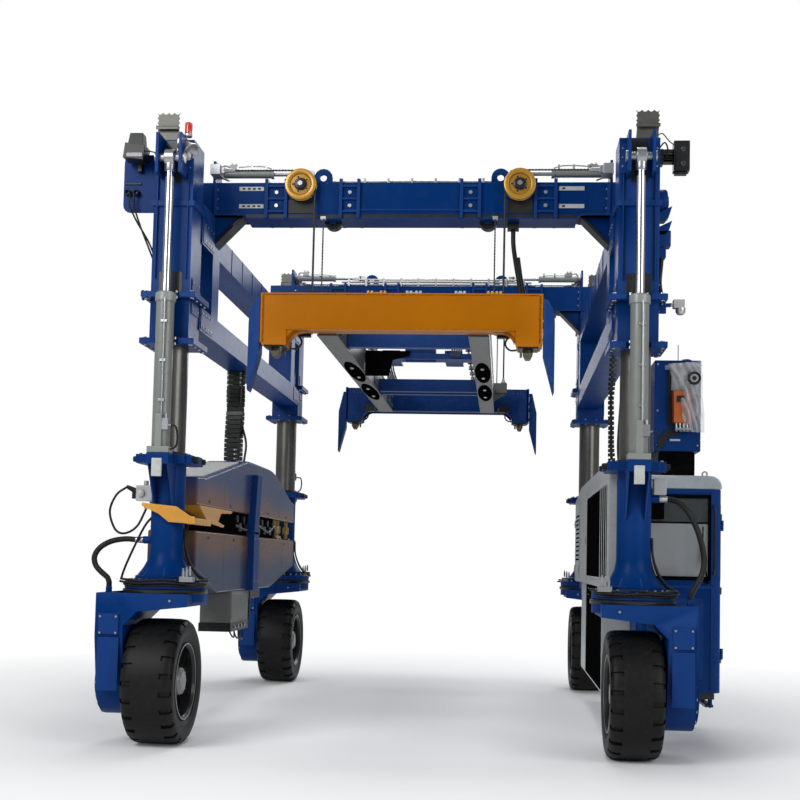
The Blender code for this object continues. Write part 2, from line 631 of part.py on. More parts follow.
def sleeve_shapes(side, leg_y, out_y):
    """Solid shapes and cuts of one square sleeve, its flanges and its rod bracket."""
    leg_x = side * TRACK_HALF_WIDTH
    rod_y = leg_y + out_y * LIFT_REACH_LENGTH
    face_y = leg_y + out_y * SLEEVE_HALF_WIDTH
    flange = SLEEVE_HALF_WIDTH + FLANGE_REACH
    pin_x = EYE_WIDTH / 2 + CHEEK_GAP
    half = SLEEVE_HALF_WIDTH
    adds = [block(span(leg_x, half), span(leg_y, half), (SLEEVE_BOTTOM, SLEEVE_TOP))]
    for base in (SLEEVE_BOTTOM, LOWER_RAIL_TOP):
        adds.append(block(span(leg_x, flange), span(leg_y, flange), (base, base + FLANGE_THICK)))
    adds.append(block(span(leg_x, half + LAP), span(leg_y, half + LAP),
                      (UPPER_RAIL_TOP, UPPER_RAIL_TOP + FLANGE_THICK)))
    for cheek in (-1, 1):
        middle = leg_x + cheek * pin_x
        adds.append(block(span(middle, CHEEK_THICK / 2),
                          (face_y - out_y * SLEEVE_WALL / 2, rod_y + out_y * EYE_RADIUS),
                          (ROD_EYE - CHEEK_HEIGHT / 2, SLEEVE_TOP)))
        adds.append(bar((middle, rod_y, ROD_EYE),
                        (leg_x + cheek * (EYE_WIDTH / 2 + GAP), rod_y, ROD_EYE),
                        EYE_PIN_RADIUS, ROPE_SIDES))
    adds += crest_shape(side, leg_y, out_y)
    inner = half - SLEEVE_WALL
    slot = max(BARREL_BLOCK_HALF, GLAND_RADIUS) + CLEAR
    cuts = [
        block(span(leg_x, inner), span(leg_y, inner),
              (SLEEVE_BOTTOM + FLANGE_THICK, SLEEVE_TOP - SLEEVE_WALL)),
        bar((leg_x, leg_y, SLEEVE_BOTTOM - OVERRUN), (leg_x, leg_y, SLEEVE_BOTTOM + SLEEVE_WALL * 2),
            MAST_RADIUS + GAP),
        block(span(leg_x, slot), (rod_y - out_y * slot, rod_y + out_y * LIFT_REACH_LENGTH),
              (SLEEVE_BOTTOM - OVERRUN, LOWER_RAIL_TOP + FLANGE_THICK + OVERRUN)),
    ]
    return adds, cuts


def outlet_plate(side, leg_y):
    """A plate with rounded corners that stands out from a sleeve and carries sockets."""
    near = TRACK_HALF_WIDTH + SLEEVE_HALF_WIDTH - LAP
    far = near + LAP + OUTLET_PLATE_LENGTH
    top = SLEEVE_TOP - OUTLET_PLATE_DROP
    low = top - OUTLET_PLATE_HEIGHT
    radii = (OUTLET_CORNER_RADIUS, OUTLET_CORNER_RADIUS)
    outline = [
        (near, low), *arc((far - OUTLET_CORNER_RADIUS, low + OUTLET_CORNER_RADIUS), radii, 270, 360),
        *arc((far - OUTLET_CORNER_RADIUS, top - OUTLET_CORNER_RADIUS), radii, 0, 90), (near, top),
    ]
    return prism(mirrored(outline, side), "y", span(leg_y, OUTLET_PLATE_THICK / 2))


def side_frame(name, side, blue, machine):
    """Two sleeves joined by an upper and a lower rail and two posts."""
    adds, cuts = [], []
    rail_x = (side * INNER_HALF, side * (INNER_HALF + RAIL_WIDTH))
    reach = LEG_Y - SLEEVE_HALF_WIDTH + SLEEVE_WALL / 2
    adds.append(block(rail_x, span(0, reach), (LOWER_RAIL_BOTTOM, LOWER_RAIL_TOP)))
    adds.append(block(rail_x, span(0, reach), (UPPER_RAIL_BOTTOM, UPPER_RAIL_TOP)))
    for end in (-1, 1):
        more, holes = sleeve_shapes(side, end * LEG_Y, end)
        adds += more
        cuts += holes
        adds.append(block(rail_x, span(end * BEAM_Y, POST_DEPTH / 2),
                          (LOWER_RAIL_BOTTOM, BEAM_BOTTOM - GAP)))
        adds.append(block(rail_x, (end * BEAM_Y, end * reach), (UPPER_RAIL_TOP - LAP, BEAM_BOTTOM - GAP)))
    if side < 0:
        adds.append(outlet_plate(side, -LEG_Y))
    node(name, blue, adds, cuts, parent=machine)


def lug(centre_x, beam_y):
    """A half-round lifting lug with a hole, standing on a beam."""
    radii = (LUG_RADIUS, LUG_RADIUS)
    middle = (centre_x, BEAM_TOP + LUG_RISE_HEIGHT)
    outline = [
        (centre_x + LUG_RADIUS, BEAM_TOP - LAP), *arc(middle, radii, 0, 90),
        *arc(middle, radii, 90, 180)[1:],
        (centre_x - LUG_RADIUS, BEAM_TOP - LAP),
    ]
    hole = bar((centre_x, beam_y - OVERRUN, middle[1]), (centre_x, beam_y + OVERRUN, middle[1]),
               LUG_HOLE_RADIUS, ROPE_SIDES)
    return prism(outline, "y", span(beam_y, LUG_THICK / 2)), hole


def cross_beam(name, end, blue, machine):
    """A box beam between the side frames, with ribs, gussets, lugs, end plates and sheave pins."""
    beam_y = end * BEAM_Y
    face_y = beam_y + end * BEAM_DEPTH / 2
    outer = INNER_HALF + RAIL_WIDTH
    rib_half = BEAM_DEPTH / 2 + BEAM_RIB_THICK
    adds = [block(span(0, outer), span(beam_y, BEAM_DEPTH / 2), (BEAM_BOTTOM, BEAM_TOP))]
    cuts = []
    for share in BEAM_RIB_SHARES:
        adds.append(block(span(share * INNER_HALF, BEAM_RIB_THICK / 2), span(beam_y, rib_half),
                          (BEAM_BOTTOM - BEAM_RIB_THICK, BEAM_TOP + BEAM_RIB_THICK)))
    for side in (-1, 1):
        inner = INNER_HALF - GAP
        corner = [
            (inner, BEAM_BOTTOM + BEAM_RIB_THICK), (inner, BEAM_BOTTOM - GUSSET_WIDTH),
            (INNER_HALF - GUSSET_WIDTH, BEAM_BOTTOM + BEAM_RIB_THICK),
        ]
        adds.append(prism(mirrored(corner, side), "y", span(beam_y, GUSSET_THICK / 2)))
        pin_x = side * SHEAVE_X_LENGTH
        cap_y = face_y + end * SHEAVE_CAP
        adds.append(bar((pin_x, beam_y, SHEAVE_Z), (pin_x, cap_y + end * BEAM_RIB_THICK / 2, SHEAVE_Z),
                        SHEAVE_PIN_RADIUS, ROPE_SIDES))
        adds.append(bar((pin_x, face_y - end * LAP, SHEAVE_Z),
                        (pin_x, face_y + end * (SHEAVE_OUT - GAP), SHEAVE_Z),
                        SHEAVE_HUB_RADIUS, ROPE_SIDES))
        adds.append(bar((pin_x, cap_y, SHEAVE_Z), (pin_x, cap_y + end * BEAM_RIB_THICK / 2, SHEAVE_Z),
                        SHEAVE_HUB_RADIUS, ROPE_SIDES))
        plate, hole = lug(side * (FALL_X - LUG_RADIUS / 2), beam_y)
        adds.append(plate)
        cuts.append(hole)
        adds.append(block((side * INNER_HALF, side * (INNER_HALF + END_PLATE_THICK)),
                          span(beam_y, BEAM_DEPTH / 2 - LAP), (BEAM_TOP - LAP, BEAM_TOP + END_PLATE_HEIGHT)))
    node(name, blue, adds, cuts, parent=machine)


def sheave(name, side, end, gold, machine):
    """A grooved rope sheave with lightening holes, on a pin in the beam's outer face."""
    centre = (side * SHEAVE_X_LENGTH, end * (BEAM_Y + BEAM_DEPTH / 2 + SHEAVE_OUT), SHEAVE_Z)
    mid = SHEAVE_WIDTH / 2
    web = SHEAVE_WEB_THICK / 2
    rim_inner = SHEAVE_RADIUS - GROOVE_DEPTH * 2
    floor = SHEAVE_RADIUS - GROOVE_DEPTH
    bore = (SHEAVE_PIN_RADIUS + GAP) / math.cos(math.pi / SHEAVE_SIDES)
    profile = [
        (bore, 0), (bore, SHEAVE_WIDTH), (SHEAVE_HUB_RADIUS, SHEAVE_WIDTH),
        (SHEAVE_HUB_RADIUS, mid + web), (rim_inner, mid + web), (rim_inner, SHEAVE_WIDTH),
        (SHEAVE_RADIUS, SHEAVE_WIDTH), (floor, mid + GROOVE_HALF_WIDTH), (floor, mid - GROOVE_HALF_WIDTH),
        (SHEAVE_RADIUS, 0), (rim_inner, 0), (rim_inner, mid - web), (SHEAVE_HUB_RADIUS, mid - web),
        (SHEAVE_HUB_RADIUS, 0),
    ]
    wheel_shape = turned(profile, centre, (0, end, 0), SHEAVE_SIDES)
    holes = []
    reach = (SHEAVE_HUB_RADIUS + rim_inner) / 2
    for number in range(SHEAVE_HOLES):
        turn = math.tau * number / SHEAVE_HOLES
        hole_x = centre[0] + reach * math.cos(turn)
        hole_z = centre[2] + reach * math.sin(turn)
        holes.append(bar((hole_x, centre[1] - end * OVERRUN, hole_z),
                         (hole_x, centre[1] + end * (SHEAVE_WIDTH + OVERRUN), hole_z),
                         SHEAVE_HOLE_RADIUS, HOLE_SIDES))
    node(name, gold, [wheel_shape], holes, pivot=centre, parent=machine)


def rope_cylinder(name, side, end, grey, machine):
    """A rope-tensioning cylinder between the beam's end plate and its lifting lug."""
    beam_y = end * BEAM_Y
    outer = side * (INNER_HALF - GAP)
    inner = outer - side * ROPE_CYLINDER_LENGTH
    tip = side * (FALL_X + LUG_RADIUS / 2 + GAP)
    shapes = [
        bar((inner, beam_y, ROPE_CYLINDER_Z), (outer, beam_y, ROPE_CYLINDER_Z), ROPE_CYLINDER_RADIUS,
            ROPE_CYLINDER_SIDES),
        bar((tip, beam_y, ROPE_CYLINDER_Z), (inner + side * ROPE_CYLINDER_RADIUS, beam_y, ROPE_CYLINDER_Z),
            ROPE_CYLINDER_ROD_RADIUS, ROPE_CYLINDER_SIDES),
    ]
    node(name, grey, shapes, parent=machine)


def rope(name, side, end, steel, machine):
    """The vertical fall of a rope, from its sheave to the spreader."""
    fall = (side * FALL_X, end * ROPE_Y)
    strand = bar((*fall, HANGER_TOP + GAP), (*fall, SHEAVE_Z + ROPE_RADIUS), ROPE_RADIUS, ROPE_SIDES)
    node(name, steel, [strand], parent=machine)


def blade_outline():
    """The face of a guide blade: round shoulder, straight outer edge, curved point."""
    inner = SPREADER_HALF_WIDTH + BLADE_STANDOFF
    outer = inner + BLADE_WIDTH
    top = SPREADER_TOP - HEAD_LIP_THICK
    shoulder = BLADE_LENGTH * BLADE_SHOULDER_SHARE
    point = BLADE_LENGTH * BLADE_POINT_SHARE
    tip = top - BLADE_LENGTH
    return [
        *arc((inner, tip + point), (BLADE_WIDTH, point), 270, 360),
        *arc((inner, top - shoulder), (BLADE_WIDTH, shoulder), 0, 90),
    ]


def head_beam(name, end, paint_of_beam, machine):
    """A spreader end beam with drop blocks, twistlocks and curved guide blades."""
    outer_y = end * SPREADER_LENGTH / 2
    inner_y = end * (SPREADER_LENGTH / 2 - HEAD_BEAM_DEPTH)
    low = SPREADER_TOP - HEAD_BEAM_HEIGHT
    drop = low - HEAD_BLOCK_DROP
    block_inner = SPREADER_HALF_WIDTH - HEAD_BLOCK_WIDTH
    half = [
        (SPREADER_HALF_WIDTH, SPREADER_TOP), (SPREADER_HALF_WIDTH, drop), (block_inner, drop),
        *arc((block_inner - HEAD_CORNER_WIDTH, drop), (HEAD_CORNER_WIDTH, HEAD_BLOCK_DROP), 0, 90)[1:],
    ]
    outline = mirrored(half, 1) + list(reversed(mirrored(half, -1)))
    adds = [prism(outline, "y", (inner_y, outer_y))]
    adds.append(block(span(0, SPREADER_HALF_WIDTH - LAP), (inner_y, outer_y),
                      (SPREADER_TOP - HEAD_LIP_THICK, SPREADER_TOP + HEAD_LIP_REACH)))
    for side in (-1, 1):
        lock_x = side * (SPREADER_HALF_WIDTH - LOCK_INSET_LENGTH)
        lock_y = end * (SPREADER_LENGTH / 2 - HEAD_BEAM_DEPTH / 2)
        adds.append(block(span(lock_x, LOCK_HALF_WIDTH), span(lock_y, LOCK_HALF_LENGTH),
                          (drop - LOCK_DROP, drop + OVERRUN)))
        adds.append(prism(mirrored(blade_outline(), side), "y", (outer_y, outer_y - end * BLADE_DEPTH)))
        adds.append(block((side * (SPREADER_HALF_WIDTH - LAP),
                           side * (SPREADER_HALF_WIDTH + BLADE_STANDOFF + LAP)),
                          (outer_y, outer_y - end * BLADE_DEPTH),
                          (low, SPREADER_TOP - HEAD_BLOCK_DROP)))
    node(name, paint_of_beam, adds, parent=machine)


def spreader_frame(grey, machine):
    """Two long pocketed rails with rope hangers, and a cross-beam between the end beams."""
    reach = SPREADER_LENGTH / 2 - HEAD_BEAM_DEPTH - GAP
    top = SPREADER_TOP - RAIL_TOP_INSET
    low = top - SIDE_RAIL_HEIGHT
    adds, cuts = [], []
    for side in (-1, 1):
        rail_x = side * SIDE_RAIL_X_LENGTH
        adds.append(block(span(rail_x, SIDE_RAIL_WIDTH / 2), span(0, reach), (low, top)))
        for end in (-1, 1):
            adds.append(block((rail_x, side * (FALL_X + HANGER_HALF_WIDTH)),
                              span(end * ROPE_Y, HANGER_HALF_WIDTH), (top - HANGER_THICK, HANGER_TOP)))
        for share in POCKET_SHARES:
            face = side * (SIDE_RAIL_X_LENGTH - SIDE_RAIL_WIDTH / 2)
            cuts.append(block((face - side * OVERRUN, face + side * POCKET_DEPTH),
                              span(share * reach, POCKET_LENGTH / 2),
                              span((low + top) / 2, POCKET_HEIGHT / 2)))
    adds.append(block(span(0, SIDE_RAIL_X_LENGTH), span(MID_BEAM_Y_LENGTH, MID_BEAM_WIDTH / 2),
                      (low + MID_BEAM_INSET, top - MID_BEAM_INSET)))
    node("spreader_frame", grey, adds, cuts, parent=machine)


def tie(side, end):
    """A box arm from a body's end to the pad on a leg."""
    return block(span(side * TRACK_HALF_WIDTH, TIE_HALF_WIDTH),
                 (end * (BODY_Y - LAP), end * (LEG_Y - TUBE_RADIUS - TIE_PAD_THICK - GAP)),
                 (TIE_LOW, TIE_TOP))


def left_body(blue, orange, grey, machine):
    """The engine hood, the tank under it, the tray between them, two straps and the box below."""
    outer = -(INNER_HALF + HOOD_WIDTH)
    sides = (-INNER_HALF, outer)
    length = 2 * BODY_Y
    rise, crest, fall = [share * length - BODY_Y for share in HOOD_RISE_SHARES]
    hood = [
        (-BODY_Y, HOOD_BOTTOM), (BODY_Y, HOOD_BOTTOM), (BODY_Y, HOOD_LOW),
        (fall, HOOD_LOW + HOOD_RISE_HEIGHT), (crest, HOOD_LOW + HOOD_RISE_HEIGHT),
        (rise, HOOD_LOW), (-BODY_Y, HOOD_LOW),
    ]
    node("left_engine_hood", blue, [prism(hood, "x", sides)], parent=machine)
    tank = [
        (TANK_CHAMFER_LENGTH - BODY_Y, TANK_GROUND_HEIGHT), (BODY_Y - TANK_SLOPE_LENGTH, TANK_GROUND_HEIGHT),
        (BODY_Y, TANK_GROUND_HEIGHT + TANK_CHAMFER_HEIGHT), (BODY_Y, TANK_TOP), (-BODY_Y, TANK_TOP),
        (-BODY_Y, TANK_GROUND_HEIGHT + TANK_CHAMFER_HEIGHT),
    ]
    adds = [prism(tank, "x", sides), tie(-1, -1), tie(-1, 1)]
    for near, far, rise_share in STRAP_SHARES:
        span_y = (near * length - BODY_Y, far * length - BODY_Y)
        top = HOOD_BOTTOM + rise_share * (HOOD_LOW_HEIGHT + HOOD_RISE_HEIGHT)
        adds.append(block((GAP - INNER_HALF, STRAP_THICK - INNER_HALF), span_y,
                          (TANK_GROUND_HEIGHT, top)))
        adds.append(block((-INNER_HALF - LAP, STRAP_THICK - INNER_HALF), span_y,
                          (TANK_GROUND_HEIGHT, TANK_TOP)))
    node("left_tank", blue, adds, parent=machine)
    node("left_tray", orange, [block((-INNER_HALF, outer), span(0, BODY_Y - TRAY_INSET_LENGTH),
                                     (TANK_TOP + GAP, HOOD_BOTTOM - GAP))], parent=machine)
    node("left_underslung_box", grey,
         [block(sides, span(UNDERBOX_CENTRE_SHARE * BODY_Y, UNDERBOX_HALF_LENGTH),
                (TANK_GROUND_HEIGHT - GAP - UNDERBOX_HEIGHT, TANK_GROUND_HEIGHT - GAP))],
         parent=machine)


def right_body(blue, grey, machine):
    """The machinery cabinet with its barred grille and lower box, and the loft cabinet."""
    sides = (INNER_HALF, CABINET_OUTER)
    crest_y = CABINET_CREST_SHARE * 2 * BODY_Y - BODY_Y
    outline = [
        (-BODY_Y, CABINET_GROUND_HEIGHT), (BODY_Y, CABINET_GROUND_HEIGHT), (BODY_Y, CABINET_TOP),
        (crest_y, CABINET_TOP + CABINET_CREST_HEIGHT), (-BODY_Y, CABINET_TOP),
    ]
    half = LOWER_BOX_HALF_LENGTH
    adds = [
        prism(outline, "x", sides), tie(1, -1), tie(1, 1),
        block((INNER_HALF + LOWER_BOX_INSET, CABINET_OUTER), span(0, half),
              (LOWER_BOX_GROUND_HEIGHT, CABINET_GROUND_HEIGHT + LAP)),
    ]
    low_y, high_y = [share * 2 * BODY_Y - BODY_Y for share in GRILLE_SHARES]
    low_z, high_z = CABINET_GROUND_HEIGHT + GRILLE_EDGE, CABINET_TOP - GRILLE_EDGE
    recess = block((INNER_HALF - OVERRUN, INNER_HALF + GRILLE_INSET), (low_y, high_y), (low_z, high_z))
    body = combined(adds[0], [recess], "DIFFERENCE")
    bars = []
    for number in range(1, GRILLE_BARS):
        bar_y = low_y + (high_y - low_y) * number / GRILLE_BARS
        bars.append(block((INNER_HALF, INNER_HALF + GRILLE_INSET + LAP / 2),
                          span(bar_y, GRILLE_BAR_WIDTH / 2),
                          (low_z - LAP / 2, high_z + LAP / 2)))
    node("right_cabinet", grey, [body] + adds[1:] + bars, parent=machine)
    loft_cabinet(blue, machine)


def loft_cabinet(blue, machine):
    """The tall cabinet on a narrower base, standing on the cab's roof."""
    inner = CAB_INNER + LOFT_STANDOFF
    front = CAB_FRONT_Y + LOFT_BEHIND_LENGTH
    low = ROOF_TOP + LOFT_BASE_HEIGHT
    cabinet = block((inner, inner + LOFT_WIDTH), (front, front + LOFT_LENGTH), (low, low + LOFT_HEIGHT))
    base = block((inner + LOFT_BASE_INSET, inner + LOFT_WIDTH - LOFT_BASE_INSET),
                 (front + LOFT_BASE_INSET, front + LOFT_LENGTH - LOFT_BASE_INSET),
                 (ROOF_TOP + GAP, low + LAP))
    node("loft_cabinet", blue, [cabinet, base], parent=machine)


def hinge_shapes(low, high):
    """Leaves for the cab door and knuckles for the shell, on the hinge line."""
    axis = (CAB_OUTER + HINGE_PROUD, DOOR_FRONT_Y)
    leaf_x = (CAB_OUTER - HINGE_PROUD / 2, CAB_OUTER + HINGE_PROUD)
    leaves, knuckles = [], []
    for share in HINGE_HEIGHT_SHARES:
        base = low + share * (high - low)
        top = base + HINGE_LENGTH / 2 - GAP
        leaves.append(bar((*axis, base), (*axis, top), HINGE_RADIUS, HINGE_SIDES))
        leaves.append(block(leaf_x, (DOOR_FRONT_Y, DOOR_FRONT_Y + HINGE_LEAF_LENGTH), (base, top)))
        foot = base - HINGE_LENGTH / 2
        knuckles.append(bar((*axis, foot), (*axis, base - GAP), HINGE_RADIUS, HINGE_SIDES))
        knuckles.append(block(leaf_x, (DOOR_FRONT_Y - HINGE_LEAF_LENGTH, DOOR_FRONT_Y), (foot, base - GAP)))
    return leaves, knuckles


def cab_plan(inner, outer, front, rear, radius):
    """The cab's outline from above, with a round outer front corner."""
    return [
        (inner, rear), (inner, front), *arc((outer - radius, front + radius), (radius, radius), 270, 360),
        (outer, rear),
    ]


def cab_step():
    """A rung on two hangers under the door."""
    middle = (DOOR_FRONT_Y + DOOR_REAR_Y) / 2
    step_x = CAB_OUTER - CAB_WALL
    low = CAB_GROUND_HEIGHT - STEP_DROP
    near, far = span(middle, STEP_LENGTH / 2)
    return [
        bar((step_x, near, low), (step_x, far, low), STEP_BAR_RADIUS, PIPE_SIDES),
        bar((step_x, near, low), (step_x, near, CAB_GROUND_HEIGHT + LAP), STEP_BAR_RADIUS, PIPE_SIDES),
        bar((step_x, far, low), (step_x, far, CAB_GROUND_HEIGHT + LAP), STEP_BAR_RADIUS, PIPE_SIDES),
    ]


def cab(blue, white, black, machine):
    """A hollow cab with window openings, a door opening, a round-edged roof and a seat."""
    door_low = CAB_GROUND_HEIGHT + CAB_WALL * 2
    door_top = CAB_TOP - CAB_POST_WIDTH - CLEAR
    sill = CAB_GROUND_HEIGHT + CAB_SILL_HEIGHT
    outside = cab_plan(CAB_INNER, CAB_OUTER, CAB_FRONT_Y, CAB_REAR_Y, CAB_FRONT_CORNER_RADIUS)
    inside = cab_plan(CAB_INNER + CAB_WALL, CAB_OUTER - CAB_WALL, CAB_FRONT_Y + CAB_WALL,
                      CAB_REAR_Y - CAB_WALL, CAB_FRONT_CORNER_RADIUS - CAB_WALL)
    shell = prism(outside, "z", (CAB_GROUND_HEIGHT, CAB_TOP))
    pane_x = (CAB_INNER + CAB_POST_WIDTH, CAB_OUTER - CAB_POST_WIDTH - CAB_FRONT_CORNER_RADIUS / 2)
    pane_z = (sill, CAB_TOP - CAB_POST_WIDTH)
    cuts = [
        prism(inside, "z", (CAB_GROUND_HEIGHT + CAB_WALL, CAB_TOP - CAB_WALL)),
        block(pane_x, (CAB_FRONT_Y - OVERRUN, CAB_FRONT_Y + CAB_WALL + OVERRUN), pane_z),
        block(pane_x, (CAB_REAR_Y - CAB_WALL - OVERRUN, CAB_REAR_Y + OVERRUN), pane_z),
        block((CAB_OUTER - CAB_WALL - OVERRUN, CAB_OUTER + OVERRUN),
              (DOOR_FRONT_Y - CLEAR, DOOR_REAR_Y + CLEAR), (door_low - CLEAR, door_top + CLEAR)),
        block((CAB_OUTER - CAB_WALL - OVERRUN, CAB_OUTER + OVERRUN),
              (DOOR_REAR_Y + CAB_POST_WIDTH, CAB_REAR_Y - CAB_POST_WIDTH), pane_z),
    ]
    leaves, knuckles = hinge_shapes(door_low, door_top)
    node("cab_shell", blue, [combined(shell, cuts, "DIFFERENCE")] + knuckles + cab_step(), parent=machine)
    panel = block((CAB_OUTER - CAB_WALL, CAB_OUTER), (DOOR_FRONT_Y, DOOR_REAR_Y), (door_low, door_top))
    pane = block((CAB_OUTER - CAB_WALL - OVERRUN, CAB_OUTER + OVERRUN),
                 (DOOR_FRONT_Y + CAB_POST_WIDTH, DOOR_REAR_Y - CAB_POST_WIDTH),
                 (sill, door_top - CAB_POST_WIDTH))
    node("cab_door", blue, [combined(panel, [pane], "DIFFERENCE")] + leaves,
         pivot=(CAB_OUTER + HINGE_PROUD, DOOR_FRONT_Y, door_low), parent=machine)
    radii = (ROOF_CORNER_RADIUS, ROOF_CORNER_RADIUS)
    roof = [
        (CAB_INNER, CAB_TOP + GAP), (CAB_OUTER, CAB_TOP + GAP),
        *arc((CAB_OUTER - ROOF_CORNER_RADIUS, ROOF_TOP - ROOF_CORNER_RADIUS), radii, 0, 90),
        *arc((CAB_INNER + ROOF_CORNER_RADIUS, ROOF_TOP - ROOF_CORNER_RADIUS), radii, 90, 180),
    ]
    node("cab_roof", white, [prism(roof, "y", (CAB_FRONT_Y, CAB_REAR_Y))], parent=machine)
    cab_seat(black, machine)


def cab_seat(black, machine):
    """The driver's seat on a box base against the rear wall."""
    mid_x = (CAB_INNER + CAB_OUTER) / 2
    back_y = CAB_REAR_Y - CAB_WALL - SEAT_THICK
    base = CAB_GROUND_HEIGHT + CAB_WALL + GAP
    pedestal = SEAT_WIDTH * SEAT_BASE_SHARE
    seat = [
        block(span(mid_x, pedestal / 2), span(back_y - SEAT_WIDTH / 2, pedestal / 2),
              (base, base + SEAT_HEIGHT)),
        block(span(mid_x, SEAT_WIDTH / 2), (back_y - SEAT_WIDTH, back_y),
              (base + SEAT_HEIGHT - SEAT_THICK, base + SEAT_HEIGHT)),
        block(span(mid_x, SEAT_WIDTH / 2), (back_y - SEAT_THICK, back_y),
              (base + SEAT_HEIGHT - SEAT_THICK, base + SEAT_HEIGHT + SEAT_BACK_HEIGHT)),
    ]
    node("cab_seat", black, seat, parent=machine)


def hose_start(side, leg_y):
    """Where a hose leaves its boss on the leg's outer side."""
    return (side * (TRACK_HALF_WIDTH + TUBE_RADIUS + HOSE_BOSS_LENGTH), leg_y,
            HEAD_TOP + HOSE_BOSS_HEIGHT - HOSE_ROUTES[side][-1][2])


def hose_end(side, leg_y):
    """The top of a hose's boss on the bogie's head."""
    start = hose_start(side, leg_y)
    across, ahead, rise = HOSE_ROUTES[side][-1]
    return (start[0] + side * across, start[1] + ahead, start[2] + rise)


def smooth_path(points):
    """Points about one spacing apart on a smooth curve through the given points."""
    padded = [2 * points[0] - points[1], *points, 2 * points[-1] - points[-2]]
    path = [points[0]]
    for before, first, second, after in zip(padded, padded[1:], padded[2:], padded[3:]):
        count = max(1, round((second - first).length / HOSE_SPACING))
        for step in range(1, count + 1):
            t = step / count
            path.append((first * 2 + (second - before) * t
                         + (before * 2 - first * 5 + second * 4 - after) * t ** 2
                         + (first * 3 - before - second * 3 + after) * t ** 3) / 2)
    return path


def hose(name, side, leg_y, rubber, machine):
    """A hose that loops out from the leg's boss and down to the bogie's boss."""
    start = Vector(hose_start(side, leg_y))
    route = [start + Vector((side * a, b, c)) for a, b, c in HOSE_ROUTES[side]]
    path = smooth_path(route)
    path[-1].z += GAP * 2
    path[-2].xy = path[-1].xy
    curve = bpy.data.curves.new(name, "CURVE")
    curve.dimensions = "3D"
    curve.bevel_depth = HOSE_RADIUS
    curve.bevel_resolution = HOSE_RESOLUTION
    curve.use_fill_caps = True
    spline = curve.splines.new("POLY")
    spline.points.add(len(path) - 1)
    for point, place in zip(spline.points, path):
        point.co = (*place, 1)
    curve.materials.append(rubber)
    made = bpy.data.objects.new(name, curve)
    bpy.context.scene.collection.objects.link(made)
    made.parent = machine


def main():
    clear_scene()
    blue = paint("blue_paint", BLUE, 0.25, 0.0)
    grey = paint("grey_paint", GREY, 0.4, 0.2)
    steel = paint("bare_steel", STEEL, 0.35, 0.8)
    chrome = paint("chrome_rod", CHROME, 0.12, 1.0)
    orange = paint("orange_paint", ORANGE, 0.35, 0.0)
    gold = paint("sheave_paint", GOLD, 0.4, 0.1)
    rubber = paint("black_rubber", BLACK, 0.7, 0.0)
    pale = paint("pale_paint", PALE, 0.4, 0.0)
    machine = bpy.data.objects.new("machine", None)
    bpy.context.scene.collection.objects.link(machine)
    machine.location = (ORIGIN_SHIFT, 0, 0)
    for side, side_name in ((-1, "left"), (1, "right")):
        for end, end_name in ((-1, "front"), (1, "rear")):
            place = f"{side_name}_{end_name}"
            leg_y = end * LEG_Y
            wheel(place, side, leg_y, rubber, grey, machine)
            bogie(place, side, leg_y, end < 0, blue, machine)
            leg(place, side, leg_y, end, end < 0, blue, machine)
            lift_cylinder(place, side, leg_y, end, grey, chrome, machine)
            sheave(f"{place}_sheave", side, end, gold, machine)
            rope_cylinder(f"{place}_rope_cylinder", side, end, grey, machine)
            rope(f"{place}_rope", side, end, steel, machine)
        side_frame(f"{side_name}_side_frame", side, blue, machine)
        hose(f"{side_name}_front_hose", side, -LEG_Y, rubber, machine)
    cross_beam("front_cross_beam", -1, blue, machine)
    cross_beam("rear_cross_beam", 1, blue, machine)
    head_beam("spreader_front_beam", -1, orange, machine)
    head_beam("spreader_rear_beam", 1, blue, machine)
    spreader_frame(grey, machine)
    left_body(blue, orange, grey, machine)
    right_body(blue, pale, machine)
    cab(blue, pale, rubber, machine)


main()
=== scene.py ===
"""The looks of the straddle carrier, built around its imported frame."""

import json
import math
import random

import bmesh
import bpy
from mathutils import Matrix, Vector

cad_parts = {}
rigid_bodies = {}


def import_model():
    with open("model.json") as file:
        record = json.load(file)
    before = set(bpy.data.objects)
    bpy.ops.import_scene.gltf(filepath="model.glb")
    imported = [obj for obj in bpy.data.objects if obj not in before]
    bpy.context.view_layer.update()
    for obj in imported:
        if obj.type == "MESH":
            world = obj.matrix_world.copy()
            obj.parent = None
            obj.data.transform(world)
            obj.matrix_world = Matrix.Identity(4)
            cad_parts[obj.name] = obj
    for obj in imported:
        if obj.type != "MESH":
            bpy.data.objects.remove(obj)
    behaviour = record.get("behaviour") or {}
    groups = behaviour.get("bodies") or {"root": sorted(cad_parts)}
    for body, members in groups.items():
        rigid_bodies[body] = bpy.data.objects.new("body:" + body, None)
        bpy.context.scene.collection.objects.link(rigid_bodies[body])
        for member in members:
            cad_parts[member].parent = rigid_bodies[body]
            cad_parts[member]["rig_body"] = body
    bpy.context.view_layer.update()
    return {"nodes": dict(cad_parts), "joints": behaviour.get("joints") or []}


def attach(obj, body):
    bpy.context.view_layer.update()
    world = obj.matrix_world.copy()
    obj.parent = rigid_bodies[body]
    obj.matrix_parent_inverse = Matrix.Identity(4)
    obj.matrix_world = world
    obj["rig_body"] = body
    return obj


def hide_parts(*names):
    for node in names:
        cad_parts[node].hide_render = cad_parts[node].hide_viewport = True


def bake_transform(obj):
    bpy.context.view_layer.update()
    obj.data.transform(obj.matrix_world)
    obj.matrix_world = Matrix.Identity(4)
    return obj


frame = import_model()
scene = bpy.context.scene

